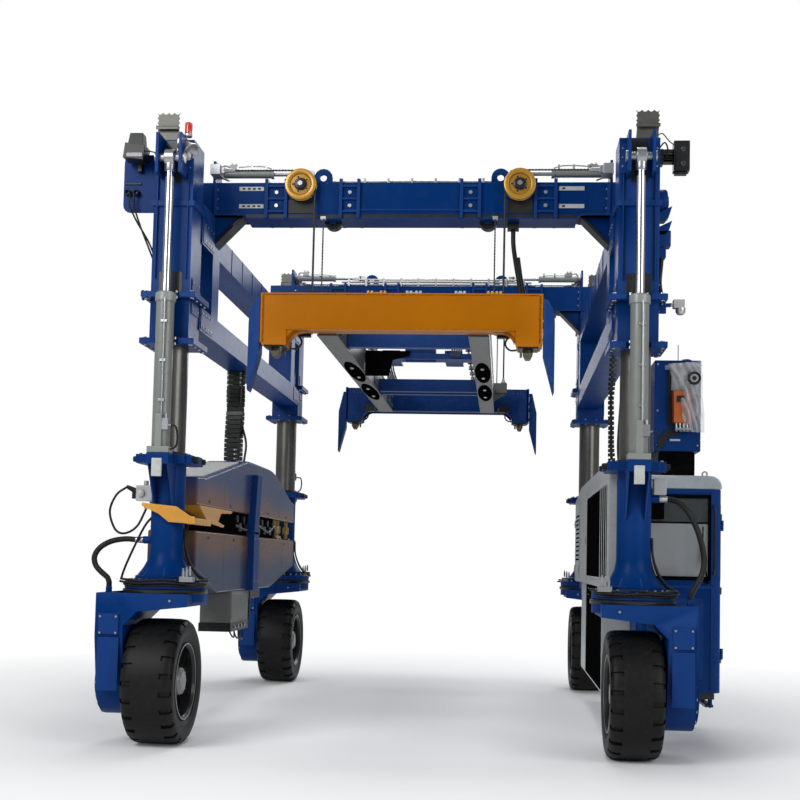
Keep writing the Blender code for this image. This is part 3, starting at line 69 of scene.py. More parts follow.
# The studio: a pale floor that fades to white, a white surround, soft lamps in front, above
# and behind, and the camera at eye height before the machine, turned slightly left.
pins = {joint["name"]: Vector(joint["pos_m"]) for joint in frame["joints"] if "pos_m" in joint}
mid_x = (pins["left_front_steer"].x + pins["right_front_steer"].x) / 2
leg_half = (pins["right_front_steer"].x - pins["left_front_steer"].x) / 2
leg_y = pins["right_rear_steer"].y


def node_of(tree, kind, **settings):
    """Add a shader node and set its inputs, or its own settings, by name."""
    made = tree.nodes.new(kind)
    for name, value in settings.items():
        if name in made.inputs:
            made.inputs[name].default_value = value
        elif name.replace("_", " ") in made.inputs:
            made.inputs[name.replace("_", " ")].default_value = value
        else:
            setattr(made, name, value)
    return made


def place_camera():
    """Stand the camera where the photograph was taken, with its small roll and shift."""
    yaw, pitch, roll = math.radians(-4.338), math.radians(3.512), math.radians(1.253)
    ahead = Vector((math.sin(yaw) * math.cos(pitch), math.cos(yaw) * math.cos(pitch), math.sin(pitch)))
    level = Vector((math.cos(yaw), -math.sin(yaw), 0))
    upright = level.cross(ahead)
    right = level * math.cos(roll) + upright * math.sin(roll)
    up = upright * math.cos(roll) - level * math.sin(roll)
    data = bpy.data.cameras.new("camera")
    data.lens = 54.05
    data.sensor_width = 36
    data.shift_x = -0.0178
    data.shift_y = 0.109
    data.clip_end = 200
    camera = bpy.data.objects.new("camera", data)
    turn = Matrix((right, up, -ahead)).transposed()
    camera.matrix_world = Matrix.Translation((mid_x + 0.951, -13.51, 1.673)) @ turn.to_4x4()
    scene.collection.objects.link(camera)
    scene.camera = camera


def surround():
    """White to the eye, a softer grey as a light and in reflections."""
    world = bpy.data.worlds.new("surround")
    scene.world = world
    world.use_nodes = True
    tree = world.node_tree
    tree.nodes.clear()
    rays = node_of(tree, "ShaderNodeLightPath")
    either = node_of(tree, "ShaderNodeMath", operation="MAXIMUM")
    tree.links.new(rays.outputs["Is Camera Ray"], either.inputs[0])
    tree.links.new(rays.outputs["Is Transmission Ray"], either.inputs[1])
    dim = node_of(tree, "ShaderNodeBackground", Color=(0.9, 0.95, 1.0, 1), Strength=0.3)
    white = node_of(tree, "ShaderNodeBackground", Color=(1, 1, 1, 1), Strength=1.0)
    mixed = node_of(tree, "ShaderNodeMixShader")
    out = node_of(tree, "ShaderNodeOutputWorld")
    tree.links.new(either.outputs[0], mixed.inputs[0])
    tree.links.new(dim.outputs[0], mixed.inputs[1])
    tree.links.new(white.outputs[0], mixed.inputs[2])
    tree.links.new(mixed.outputs[0], out.inputs["Surface"])


def floor():
    """A wide pale floor, whose far parts turn to plain white for the eye."""
    look = bpy.data.materials.new("studio_floor")
    look.use_nodes = True
    tree = look.node_tree
    tree.nodes.clear()
    place = node_of(tree, "ShaderNodeTexCoord")
    far = node_of(tree, "ShaderNodeVectorMath", operation="LENGTH")
    fade = node_of(tree, "ShaderNodeMapRange", From_Min=3.5, From_Max=9.0)
    rays = node_of(tree, "ShaderNodeLightPath")
    both = node_of(tree, "ShaderNodeMath", operation="MULTIPLY")
    pale = node_of(tree, "ShaderNodeBsdfDiffuse", Color=(0.93, 0.93, 0.93, 1))
    white = node_of(tree, "ShaderNodeEmission", Color=(1, 1, 1, 1), Strength=1.0)
    mixed = node_of(tree, "ShaderNodeMixShader")
    out = node_of(tree, "ShaderNodeOutputMaterial")
    tree.links.new(place.outputs["Object"], far.inputs[0])
    tree.links.new(far.outputs["Value"], fade.inputs["Value"])
    tree.links.new(fade.outputs["Result"], both.inputs[0])
    tree.links.new(rays.outputs["Is Camera Ray"], both.inputs[1])
    tree.links.new(both.outputs[0], mixed.inputs[0])
    tree.links.new(pale.outputs[0], mixed.inputs[1])
    tree.links.new(white.outputs[0], mixed.inputs[2])
    tree.links.new(mixed.outputs[0], out.inputs["Surface"])
    bm = bmesh.new()
    bmesh.ops.create_circle(bm, cap_ends=True, radius=60, segments=64)
    mesh = bpy.data.meshes.new("studio_floor")
    bm.to_mesh(mesh)
    bm.free()
    mesh.materials.append(look)
    ground = bpy.data.objects.new("studio_floor", mesh)
    scene.collection.objects.link(ground)


def lamp(name, place, aim, size, power):
    """A square soft lamp that points at a place on the machine."""
    data = bpy.data.lights.new(name, "AREA")
    data.shape = "SQUARE"
    data.size = size
    data.energy = power
    made = bpy.data.objects.new(name, data)
    made.location = place
    made.rotation_euler = (Vector(aim) - Vector(place)).to_track_quat("-Z", "Y").to_euler()
    scene.collection.objects.link(made)


scene.view_settings.view_transform = "Standard"
place_camera()
surround()
floor()
lamp("key_lamp", (-7, -12, 9), (0, 0, 2.5), 6, 900)
lamp("fill_lamp", (9, -10, 6), (0, 0, 2.5), 6, 420)
lamp("top_lamp", (0, 2, 13), (0, 0, 0), 7, 700)
lamp("back_lamp", (3, 12, 8), (0, 0, 2.5), 6, 450)

# Two steering hoses, rubber with a woven cover, loop from a boss on each front leg
# down to the bogie's head, with a crimped steel ferrule at the upper end.
hose_routes = {
    -1: (
        (0.0, 0.0, 0.0), (0.06, 0.0, 0.0), (0.16, -0.02, 0.005), (0.28, -0.05, -0.02),
        (0.37, -0.08, -0.08), (0.41, -0.1, -0.16), (0.39, -0.11, -0.24), (0.33, -0.12, -0.3),
        (0.275, -0.12, -0.345), (0.26, -0.12, -0.385), (0.26, -0.12, -0.4), (0.26, -0.12, -0.42),
    ),
    1: (
        (0.0, 0.0, 0.0), (0.06, 0.0, 0.0), (0.15, -0.02, -0.02), (0.235, -0.045, -0.1),
        (0.305, -0.065, -0.23), (0.355, -0.085, -0.39), (0.375, -0.1, -0.54), (0.35, -0.112, -0.66),
        (0.3, -0.12, -0.755), (0.267, -0.12, -0.82), (0.26, -0.12, -0.85), (0.26, -0.12, -0.87),
    ),
}
hose_radius = 0.025
head_top = pins["left_front_steer"].z


def metal_or_paint(name, colour, rough, metal=0.0, gloss=0.0, drift=0.12, drift_scale=2.0,
                   dust=(0.3, 0.3, 0.3), dust_share=0.1, grain=0.02, grain_scale=120.0, sheet_wave=0.0,
                   worn=0.0, rough_drift=0.08, sheen=0.5):
    """A finish with slow colour drift, settled dust, surface grain, waviness and worn edges."""
    look = bpy.data.materials.new(name)
    look.use_nodes = True
    tree = look.node_tree
    shader = tree.nodes["Principled BSDF"]
    shader.inputs["Metallic"].default_value = metal
    shader.inputs["Coat Weight"].default_value = gloss
    shader.inputs["Coat Roughness"].default_value = 0.06
    shader.inputs["Specular IOR Level"].default_value = sheen
    place = node_of(tree, "ShaderNodeTexCoord")
    slow = node_of(tree, "ShaderNodeTexNoise", Scale=drift_scale, Detail=5.0, Roughness=0.6)
    tree.links.new(place.outputs["Object"], slow.inputs["Vector"])
    shift = node_of(tree, "ShaderNodeMapRange", To_Min=1 - drift, To_Max=1 + drift)
    tree.links.new(slow.outputs["Fac"], shift.inputs["Value"])
    tone = node_of(tree, "ShaderNodeHueSaturation", Color=(*colour, 1))
    tree.links.new(shift.outputs["Result"], tone.inputs["Value"])
    fine = node_of(tree, "ShaderNodeTexNoise", Scale=drift_scale * 7, Detail=8.0, Roughness=0.7)
    tree.links.new(place.outputs["Object"], fine.inputs["Vector"])
    spots = node_of(tree, "ShaderNodeMapRange", From_Min=0.48, From_Max=0.78, To_Min=0.0, To_Max=dust_share)
    tree.links.new(fine.outputs["Fac"], spots.inputs["Value"])
    dusty = node_of(tree, "ShaderNodeMix", data_type="RGBA")
    dusty.inputs[7].default_value = (*dust, 1)
    tree.links.new(spots.outputs["Result"], dusty.inputs[0])
    tree.links.new(tone.outputs["Color"], dusty.inputs[6])
    last = dusty.outputs[2]
    if worn:
        edge = node_of(tree, "ShaderNodeNewGeometry")
        sharp = node_of(tree, "ShaderNodeMapRange", From_Min=0.52, From_Max=0.6, To_Min=0.0, To_Max=worn)
        tree.links.new(edge.outputs["Pointiness"], sharp.inputs["Value"])
        rubbed = node_of(tree, "ShaderNodeMix", data_type="RGBA")
        rubbed.inputs[7].default_value = (*[min(1, c * 2.2 + 0.04) for c in colour], 1)
        tree.links.new(sharp.outputs["Result"], rubbed.inputs[0])
        tree.links.new(last, rubbed.inputs[6])
        last = rubbed.outputs[2]
    tree.links.new(last, shader.inputs["Base Color"])
    dulled = node_of(tree, "ShaderNodeMapRange", To_Min=max(0.02, rough - rough_drift),
                     To_Max=rough + rough_drift)
    tree.links.new(fine.outputs["Fac"], dulled.inputs["Value"])
    tree.links.new(dulled.outputs["Result"], shader.inputs["Roughness"])
    skin = node_of(tree, "ShaderNodeTexNoise", Scale=grain_scale, Detail=3.0)
    tree.links.new(place.outputs["Object"], skin.inputs["Vector"])
    bump = node_of(tree, "ShaderNodeBump", Strength=grain, Distance=0.002)
    tree.links.new(skin.outputs["Fac"], bump.inputs["Height"])
    tree.links.new(bump.outputs["Normal"], shader.inputs["Normal"])
    if sheet_wave:
        wave = node_of(tree, "ShaderNodeBump", Strength=sheet_wave, Distance=0.02)
        tree.links.new(slow.outputs["Fac"], wave.inputs["Height"])
        tree.links.new(wave.outputs["Normal"], bump.inputs["Normal"])
    return look


def woven_rubber(name, threads):
    """Black hose rubber with a fine wrapped weave that runs round it."""
    look = metal_or_paint(name, (0.006, 0.006, 0.0065), 0.42, sheen=0.3,
                          dust=(0.07, 0.066, 0.06), grain=0.1)
    tree = look.node_tree
    place = node_of(tree, "ShaderNodeTexCoord")
    wrap = node_of(tree, "ShaderNodeTexWave", Scale=threads, Distortion=0.4, Detail=1.0)
    tree.links.new(place.outputs["Object"], wrap.inputs["Vector"])
    weave = node_of(tree, "ShaderNodeBump", Strength=0.35, Distance=0.002)
    tree.links.new(wrap.outputs["Fac"], weave.inputs["Height"])
    skin = tree.nodes["Bump"]
    tree.links.new(skin.outputs["Normal"], weave.inputs["Normal"])
    tree.links.new(weave.outputs["Normal"], tree.nodes["Principled BSDF"].inputs["Normal"])
    return look


hose_rubber = woven_rubber("hose_rubber", 60.0)
black_rubber = metal_or_paint("black_rubber_trim", (0.006, 0.006, 0.0065), 0.5, sheen=0.25,
                              dust=(0.05, 0.05, 0.048), grain=0.2)
bright_steel = metal_or_paint("bright_steel", (0.42, 0.43, 0.44), 0.32, metal=0.9, grain=0.05)


def set_down(name, bm, look, body, stands_for=(), crease=35, bevel=0.0, segments=2):
    """Turn a bmesh into a shaded piece with soft edges that rides on a body."""
    bmesh.ops.recalc_face_normals(bm, faces=bm.faces)
    mesh = bpy.data.meshes.new(name)
    bm.to_mesh(mesh)
    bm.free()
    mesh.shade_smooth()
    mesh.set_sharp_from_angle(angle=math.radians(crease))
    mesh.materials.append(look)
    piece = bpy.data.objects.new(name, mesh)
    scene.collection.objects.link(piece)
    if bevel:
        soft = piece.modifiers.new("soft_edges", "BEVEL")
        soft.width = bevel
        soft.segments = segments
        soft.limit_method = "ANGLE"
        soft.angle_limit = math.radians(crease)
        soft.harden_normals = True
    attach(piece, body)
    if stands_for:
        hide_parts(*stands_for)
    return piece


def let_go(piece):
    """Take a piece off its body, for a piece that spans two bodies."""
    piece.parent = None
    del piece["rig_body"]
    return piece


def about(middle, half):
    """The span that reaches a half length to each side of a middle."""
    return middle - half, middle + half


def moved(point, at):
    """A point that is given from a place, as seen from the origin."""
    return Vector([share + base for share, base in zip(point, at)])


def slab(bm, x, y, z, at=(0, 0, 0)):
    """Add a box between the ends of three spans from a place, and return its corners."""
    low = Vector([min(span) + base for span, base in zip((x, y, z), at)])
    high = Vector([max(span) + base for span, base in zip((x, y, z), at)])
    matrix = Matrix.Translation((low + high) / 2) @ Matrix.Diagonal((*(high - low), 1))
    return bmesh.ops.create_cube(bm, size=1, matrix=matrix)["verts"]


def post(bm, start, end, radius, sides=24, end_radius=None, at=(0, 0, 0)):
    """Add a capped round bar, or a taper, between two points as seen from a place."""
    start, end = moved(start, at), moved(end, at)
    turn = (end - start).to_track_quat("Z", "Y").to_matrix().to_4x4()
    made = bmesh.ops.create_cone(bm, cap_ends=True, segments=sides, radius1=radius,
                                 radius2=radius if end_radius is None else end_radius,
                                 depth=(end - start).length,
                                 matrix=Matrix.Translation((start + end) / 2) @ turn)
    return made["verts"]


def spun(bm, profile, centre, axis, steps=64):
    """Add a (radius, height) profile spun right round an axis. An open one ends on the axis."""
    verts = [bm.verts.new((radius, 0, height)) for radius, height in profile]
    edges = [bm.edges.new(pair) for pair in zip(verts, verts[1:])]
    if profile[0][0] and profile[-1][0]:
        edges.append(bm.edges.new((verts[-1], verts[0])))
    before = set(bm.verts) - set(verts)
    bmesh.ops.spin(bm, geom=verts + edges, cent=(0, 0, 0), axis=(0, 0, 1), angle=math.tau,
                   steps=steps, use_merge=True)
    made = [vert for vert in bm.verts if vert not in before]
    bmesh.ops.remove_doubles(bm, verts=made, dist=0.00001)
    made = [vert for vert in bm.verts if vert not in before]
    turn = Vector(axis).to_track_quat("Z", "Y").to_matrix().to_4x4()
    bmesh.ops.transform(bm, matrix=Matrix.Translation(centre) @ turn, verts=made)
    return made


def bolts(bm, centres, axis, size, rise):
    """Add hexagon bolt heads at the given places, standing along an axis."""
    along = Vector(axis).normalized()
    for centre in centres:
        post(bm, Vector(centre) - along * rise, Vector(centre) + along * rise, size, sides=6)


def ring_of(centre, axis, radius, count, start=0.0):
    """Places evenly round a circle about an axis."""
    turn = Vector(axis).to_track_quat("Z", "Y").to_matrix()
    return [Vector(centre) + turn @ Vector((radius * math.cos(a), radius * math.sin(a), 0))
            for a in (start + math.tau * n / count for n in range(count))]


def curve_through(points, spacing, at=(0, 0, 0)):
    """Points about one spacing apart on a smooth curve through points given from a place."""
    points = [moved(point, at) for point in points]
    ends = [2 * points[0] - points[1], *points, 2 * points[-1] - points[-2]]
    path = [points[0]]
    for before, first, second, after in zip(ends, ends[1:], ends[2:], ends[3:]):
        count = max(1, round((second - first).length / spacing))
        for step in range(1, count + 1):
            t = step / count
            path.append((first * 2 + (second - before) * t
                         + (before * 2 - first * 5 + second * 4 - after) * t ** 2
                         + (first * 3 - before - second * 3 + after) * t ** 3) / 2)
    return path


def chain_of(bm, run, *link):
    """Add one box for each step of a run of points, turned to point along it."""
    for point, following in zip(run, run[1:]):
        turn = (following - point).to_track_quat("Z", "Y").to_matrix().to_4x4()
        bmesh.ops.transform(bm, matrix=Matrix.Translation(point) @ turn, verts=slab(bm, *link))


def tube(bm, path, radius, sides=12):
    """Add a capped tube along a path, by extruding one ring from point to point."""
    path = [Vector(point) for point in path]
    ring = None
    for number, point in enumerate(path):
        ahead = path[min(number + 1, len(path) - 1)] - path[max(number - 1, 0)]
        if ring is None:
            turn = ahead.to_track_quat("Z", "Y")
            matrix = Matrix.Translation(point) @ turn.to_matrix().to_4x4()
            ring = bmesh.ops.create_circle(bm, cap_ends=True, segments=sides, radius=radius,
                                           matrix=matrix)["verts"]
            face = ring[0].link_faces[0]
            heading = ahead.normalized()
        else:
            grown = bmesh.ops.extrude_face_region(bm, geom=[face])
            face = next(item for item in grown["geom"] if isinstance(item, bmesh.types.BMFace))
            ring = list(face.verts)
            middle = path[number - 1]
            bend = heading.rotation_difference(ahead.normalized()).to_matrix().to_4x4()
            move = Matrix.Translation(point) @ bend @ Matrix.Translation(-middle)
            bmesh.ops.transform(bm, matrix=move, verts=ring)
            heading = ahead.normalized()


def steering_hose(side, side_name):
    """One hose as a round tube, and its upper ferrule."""
    rows = hose_routes[side]
    start = pins[f"{side_name}_front_steer"] + Vector((side * 0.22, 0, 0.05 - rows[-1][2]))
    route = [start + Vector((side * out, ahead, rise)) for out, ahead, rise in rows]
    path = curve_through(route, 0.03)
    path[-1].z += 0.0006
    path[-2].xy = path[-1].xy
    bm = bmesh.new()
    tube(bm, path, hose_radius, 20)
    body = f"{side_name}_side"
    piece = set_down(f"{side_name}_steering_hose", bm, hose_rubber, body,
                     [f"{side_name}_front_hose"], crease=60)
    bm = bmesh.new()
    out = Vector((side, 0, 0))
    spun(bm, [(0, -0.02), (0.03, -0.02), (0.03, 0.03), (0.028, 0.036), (0.028, 0.06), (0.0258, 0.07),
              (0.0258, 0), (0, 0)], path[0], out, 24)
    set_down(f"{side_name}_hose_upper_ferrule", bm, bright_steel, body)


for side, side_name in ((-1, "left"), (1, "right")):
    steering_hose(side, side_name)

# Four tyres of black rubber, with a smooth crown, short slots that stand staggered at the
# two shoulders, and ribbed sidewalls. Each is one moulded piece round its rim.
corners = [(f"{side_name}_{end_name}", side, end) for side, side_name in ((-1, "left"), (1, "right"))
           for end, end_name in ((-1, "front"), (1, "rear"))]


def tyre_rubber():
    """Dull dark rubber, greyed by patches of dust."""
    return metal_or_paint("tyre_rubber", (0.0048, 0.0047, 0.0043), 0.5, drift=0.25, drift_scale=3.0,
                          sheen=0.22, dust=(0.03, 0.028, 0.025), dust_share=0.4, grain=0.3,
                          grain_scale=220.0)


def slotted_tyre(place, axle, side, look):
    """Spin the round-shouldered carcass, then sink short slots into its two shoulders."""
    crown = [(0.342, 0.2), (0.36, 0.212), (0.372, 0.209), (0.385, 0.218), (0.4, 0.216), (0.43, 0.227),
             (0.475, 0.2295), (0.505, 0.226), (0.53, 0.214), (0.546, 0.19), (0.5515, 0.155), (0.5535, 0.12),
             (0.5548, 0.06)]
    carcass = crown + [(radius, -height) for radius, height in reversed(crown)]
    slots, share = 22, 7
    steps = slots * share
    bm = bmesh.new()
    spun(bm, carcass, (0, 0, 0), (0, 0, 1), steps)
    sunk = []
    for face in bm.faces:
        middle = face.calc_center_median()
        radius, height = middle.xy.length, abs(middle.z)
        step = math.floor((math.atan2(middle.y, middle.x) / math.tau * steps + 0.01) % steps)
        start = 0 if middle.z > 0 else share // 2
        if radius > 0.51 and height > 0.12 and (step - start) % share < 2:
            sunk.append(face)
    bmesh.ops.inset_region(bm, faces=sunk, thickness=0.0015, depth=0.0)
    for vert in {vert for face in sunk for vert in face.verts}:
        radius = vert.co.xy.length
        vert.co.xy *= (radius - 0.021) / radius
        vert.co.z *= 0.985
    matrix = Matrix.Translation(axle) @ Vector((side, 0, 0)).to_track_quat("Z", "Y").to_matrix().to_4x4()
    bmesh.ops.transform(bm, matrix=matrix, verts=bm.verts)
    set_down(f"{place}_tread", bm, look, f"{place}_wheel", [f"{place}_tyre"], crease=32)


# Dished black steel rims with a bright rolled lip, a ring of wheel nuts, a pale hub that
# stands out of the dish, and a valve, bolted to the drive drum on the arm.
rim_black = metal_or_paint("rim_black", (0.006, 0.006, 0.0065), 0.4, gloss=0.2, sheen=0.3,
                           dust=(0.05, 0.045, 0.04), dust_share=0.5, drift=0.2, worn=0.3)
hub_grey = metal_or_paint("hub_grey", (0.2, 0.21, 0.21), 0.4, metal=0.2, gloss=0.2,
                          dust=(0.12, 0.1, 0.08), dust_share=0.4, drift=0.2, worn=0.3)
tyre_black = tyre_rubber()


def dished_rim(place, axle, side):
    """The rim's outline turned on its axis, with nuts on the disc and on the hub."""
    body = f"{place}_wheel"
    bm = bmesh.new()
    rim = [(0, 0.228), (0.338, 0.228), (0.34, 0.2), (0.336, 0.19), (0.334, 0.0), (0.336, -0.19),
           (0.341, -0.205), (0.338, -0.216), (0.326, -0.216), (0.318, -0.2), (0.31, -0.19), (0.3, -0.07),
           (0.27, -0.045), (0.2, -0.05), (0.19, -0.07), (0, -0.07)]
    out = Vector((side, 0, 0))
    spun(bm, rim, axle, out, 72)
    valve = ring_of(axle - out * 0.06, out, 0.285, 1, 1.2)[0]
    post(bm, valve, valve - out * 0.1, 0.006, 10)
    for spot in ring_of(axle - out * 0.05, out, 0.235, 8, 0.2):
        spun(bm, [(0.018, 0), (0.026, 0), (0.026, 0.01), (0.018, 0.012)], spot, -out, 20)
    set_down(f"{place}_wheel_rim", bm, rim_black, body, [f"{place}_rim"], crease=30)
    bm = bmesh.new()
    spun(bm, [(0, 0.06), (0.15, 0.06), (0.15, 0.09), (0.125, 0.1), (0.122, 0.165), (0.112, 0.18),
              (0.09, 0.184), (0.085, 0.192), (0.03, 0.196), (0, 0.196)], axle, -out, 64)
    bolts(bm, ring_of(axle - out * 0.09, out, 0.137, 14), out, 0.01, 0.01)
    bolts(bm, ring_of(axle - out * 0.184, out, 0.1, 8), out, 0.008, 0.005)
    bolts(bm, ring_of(axle - out * 0.052, out, 0.215, 12), out, 0.015, 0.014)
    spun(bm, [(0.327, 0.214), (0.334, 0.2185), (0.339, 0.216), (0.339, 0.212), (0.33, 0.208)],
         axle, -out, 72)
    set_down(f"{place}_wheel_hub", bm, hub_grey, body, crease=30)


for place, side, _ in corners:
    axle = pins[f"{place}_wheel_spin"]
    slotted_tyre(place, axle, side, tyre_black)
    dished_rim(place, axle, side)

# Four bogies and legs: blue steering forks with bolted drums and black slewing rings,
# blue tubes with a foot, collar and ribbed shelf, and dark steel masts inside them.
ring_low = head_top + 0.0353
leg_top = head_top + 0.0353 + 1.195
mast_top = leg_top + 1.83
tie_z = (1.73, 1.89)
blue_gloss = metal_or_paint("blue_gloss", (0.0, 0.027, 0.14), 0.34, gloss=0.012, sheen=0.05, drift=0.24,
                            drift_scale=1.1, dust=(0.02, 0.05, 0.13), dust_share=0.3, grain=0.04,
                            grain_scale=90.0, sheet_wave=0.12, worn=0.35)
black_steel = metal_or_paint("black_steel", (0.008, 0.008, 0.009), 0.35, metal=0.1, gloss=0.15, sheen=0.25,
                             drift=0.3, dust=(0.06, 0.055, 0.05), dust_share=0.4, worn=0.3)
mast_steel = metal_or_paint("mast_steel", (0.12, 0.116, 0.108), 0.32, metal=0.65, gloss=0.2, drift=0.35,
                            drift_scale=1.6, dust=(0.2, 0.17, 0.13), dust_share=0.4, grain=0.08)
label_grey = metal_or_paint("label_grey", (0.5, 0.51, 0.5), 0.45, drift=0.12, dust=(0.2, 0.19, 0.17),
                            dust_share=0.5)


def cad_shape(node):
    """A merged copy of a modelled node's mesh, in place and ready to be worked on."""
    source = frame["nodes"][node]
    bm = bmesh.new()
    bm.from_mesh(source.data)
    bmesh.ops.transform(bm, matrix=source.matrix_world, verts=bm.verts)
    bmesh.ops.remove_doubles(bm, verts=bm.verts, dist=0.0002)
    bmesh.ops.dissolve_limit(bm, angle_limit=math.radians(1), verts=bm.verts, edges=bm.edges)
    return bm


def bogie(place, side):
    """The fork with its drum bolts, arm cover, grease points and black slewing ring."""
    pin, axle = pins[f"{place}_steer"], pins[f"{place}_wheel_spin"]
    body = f"{place}_steering"
    bm = cad_shape(f"{place}_bogie")
    set_down(f"{place}_fork", bm, blue_gloss, body, [f"{place}_bogie"], bevel=0.009)
    bm = bmesh.new()
    face = pin.x + side * 0.508
    bolts(bm, ring_of((face, axle.y, axle.z), (1, 0, 0), 0.272, 16), (1, 0, 0), 0.013, 0.012)
    bolts(bm, ring_of((pin.x + side * 0.535, axle.y, axle.z), (1, 0, 0), 0.2, 10), (1, 0, 0), 0.014, 0.0035)
    for front in (-1, 1):
        cover = axle.y + front * 0.402
        for out in (-0.07, 0.07):
            for rise in (0.44, 0.58):
                bolts(bm, [(pin.x + side * 0.385 + out, cover, axle.z + rise)], (0, 1, 0), 0.011, 0.006)
        post(bm, (0, front * 0.38, 0), (0, front * 0.395, 0), 0.012, 12,
             at=(pin.x - side * 0.15, axle.y, head_top - 0.06))
    set_down(f"{place}_fork_bolts", bm, bright_steel, body, bevel=0.0015, segments=1)
    bm = bmesh.new()
    spun(bm, [(0.2, head_top - 0.002), (0.372, head_top - 0.002), (0.375, head_top + 0.004),
              (0.375, head_top + 0.03), (0.368, head_top + 0.0345), (0.2, head_top + 0.0345)],
         (pin.x, pin.y, 0), (0, 0, 1), 72)
    set_down(f"{place}_slewing_ring", bm, black_steel, body)
    bm = bmesh.new()
    for front in (-1, 1):
        slab(bm, (side * 0.29, side * 0.48), (front * 0.381, front * 0.386), (-0.06, 0.4),
             at=(pin.x, axle.y, axle.z))
    set_down(f"{place}_arm_panels", bm, blue_gloss, body, bevel=0.002)


def leg(place, side, end):
    """The tube turned in one piece, its collar, shelf, ribs and bolts, and the mast."""
    pin = pins[f"{place}_steer"]
    body = f"{place.split('_')[0]}_side"
    centre = (pin.x, pin.y, 0)
    bm = bmesh.new()
    foot = ring_low + 0.07
    spun(bm, [(0, ring_low), (0.352, ring_low), (0.36, ring_low + 0.008), (0.36, foot - 0.008),
              (0.354, foot), (0.272, foot), (0.27, foot + 0.045), (0.25, foot + 0.05),
              (0.2, foot + 0.12), (0.165, foot + 0.19), (0.152, foot + 0.26), (0.15, foot + 0.3),
              (0.15, leg_top - 0.02), (0, leg_top - 0.02)], centre, (0, 0, 1), 64)
    for turn in range(8):
        spin = Matrix.Rotation(math.tau * turn / 8 + 0.2, 4, "Z")
        rib = slab(bm, (0.14, 0.29), (-0.006, 0.006), (foot, foot + 0.16))
        outer = [vert for vert in rib if vert.co.x > 0.2 and vert.co.z > foot + 0.1]
        bmesh.ops.translate(bm, vec=(-0.12, 0, 0), verts=outer)
        bmesh.ops.transform(bm, matrix=Matrix.Translation(centre) @ spin, verts=rib)
    set_down(f"{place}_leg_tube", bm, blue_gloss, body, [f"{place}_leg"])
    bm = bmesh.new()
    slab(bm, about(pin.x, 0.25), about(pin.y, 0.22), (leg_top - 0.08, leg_top))
    slab(bm, about(pin.x, 0.2), about(pin.y, 0.25), (leg_top - 0.079, leg_top - 0.001))
    slab(bm, about(pin.x, 0.28), about(pin.y, 0.07), (leg_top - 0.075, leg_top - 0.005))
    slab(bm, (-0.1, 0.1), (0, end * 0.41), (-0.1, -0.0005), at=(pin.x, pin.y, leg_top))
    for out in (-0.085, 0.085):
        rib = slab(bm, (-0.007, 0.007), (end * 0.12, end * 0.4), (-0.5, -0.08),
                   at=(pin.x + out, pin.y, leg_top))
        low = [vert for vert in rib if vert.co.z < leg_top - 0.3 and abs(vert.co.y - pin.y) > 0.3]
        bmesh.ops.translate(bm, vec=(0, -end * 0.26, 0), verts=low)
    slab(bm, about(pin.x, 0.075), (pin.y, pin.y - end * 0.2), tie_z)
    if end < 0:
        rise = leg_hose_z[side]
        post(bm, (pin.x, pin.y, rise), (pin.x + side * 0.2197, pin.y, rise), 0.034)
    set_down(f"{place}_leg_collar", bm, blue_gloss, body, bevel=0.012, segments=3)
    bm = bmesh.new()
    bolts(bm, ring_of((pin.x, pin.y, foot), (0, 0, 1), 0.318, 24), (0, 0, 1), 0.013, 0.02)
    for out in (-1, 1):
        for ahead in (-1, 1):
            bolts(bm, [(pin.x + out * 0.215, pin.y + ahead * 0.18, leg_top)], (0, 0, 1), 0.014, 0.012)
    set_down(f"{place}_leg_bolts", bm, bright_steel, body, bevel=0.0015, segments=1)
    bm = bmesh.new()
    for out in (-1, 1):
        for ahead in (-1, 1):
            post(bm, (out * 0.24, 0, 0), (out * 0.295, 0, 0), 0.032, 24, 0.024,
                 at=(pin.x, pin.y + ahead * 0.13, leg_top - 0.04))
    spun(bm, [(0.137, leg_top), (0.17, leg_top), (0.168, leg_top + 0.02), (0.145, leg_top + 0.032),
              (0.137, leg_top + 0.032)], centre, (0, 0, 1), 48)
    set_down(f"{place}_leg_bumpers", bm, black_rubber, body, bevel=0.003)
    bm = bmesh.new()
    spun(bm, [(0, leg_top - 0.08), (0.135, leg_top - 0.08), (0.135, mast_top - 0.01),
              (0.125, mast_top), (0, mast_top)], centre, (0, 0, 1), 64)
    set_down(f"{place}_mast", bm, mast_steel, body)
    bm = bmesh.new()
    slab(bm, (-0.045, 0.045), (end * 0.4, end * 0.425), (-0.21, -0.05), at=(pin.x, pin.y, leg_top))
    set_down(f"{place}_shelf_block", bm, label_grey, body, bevel=0.006)


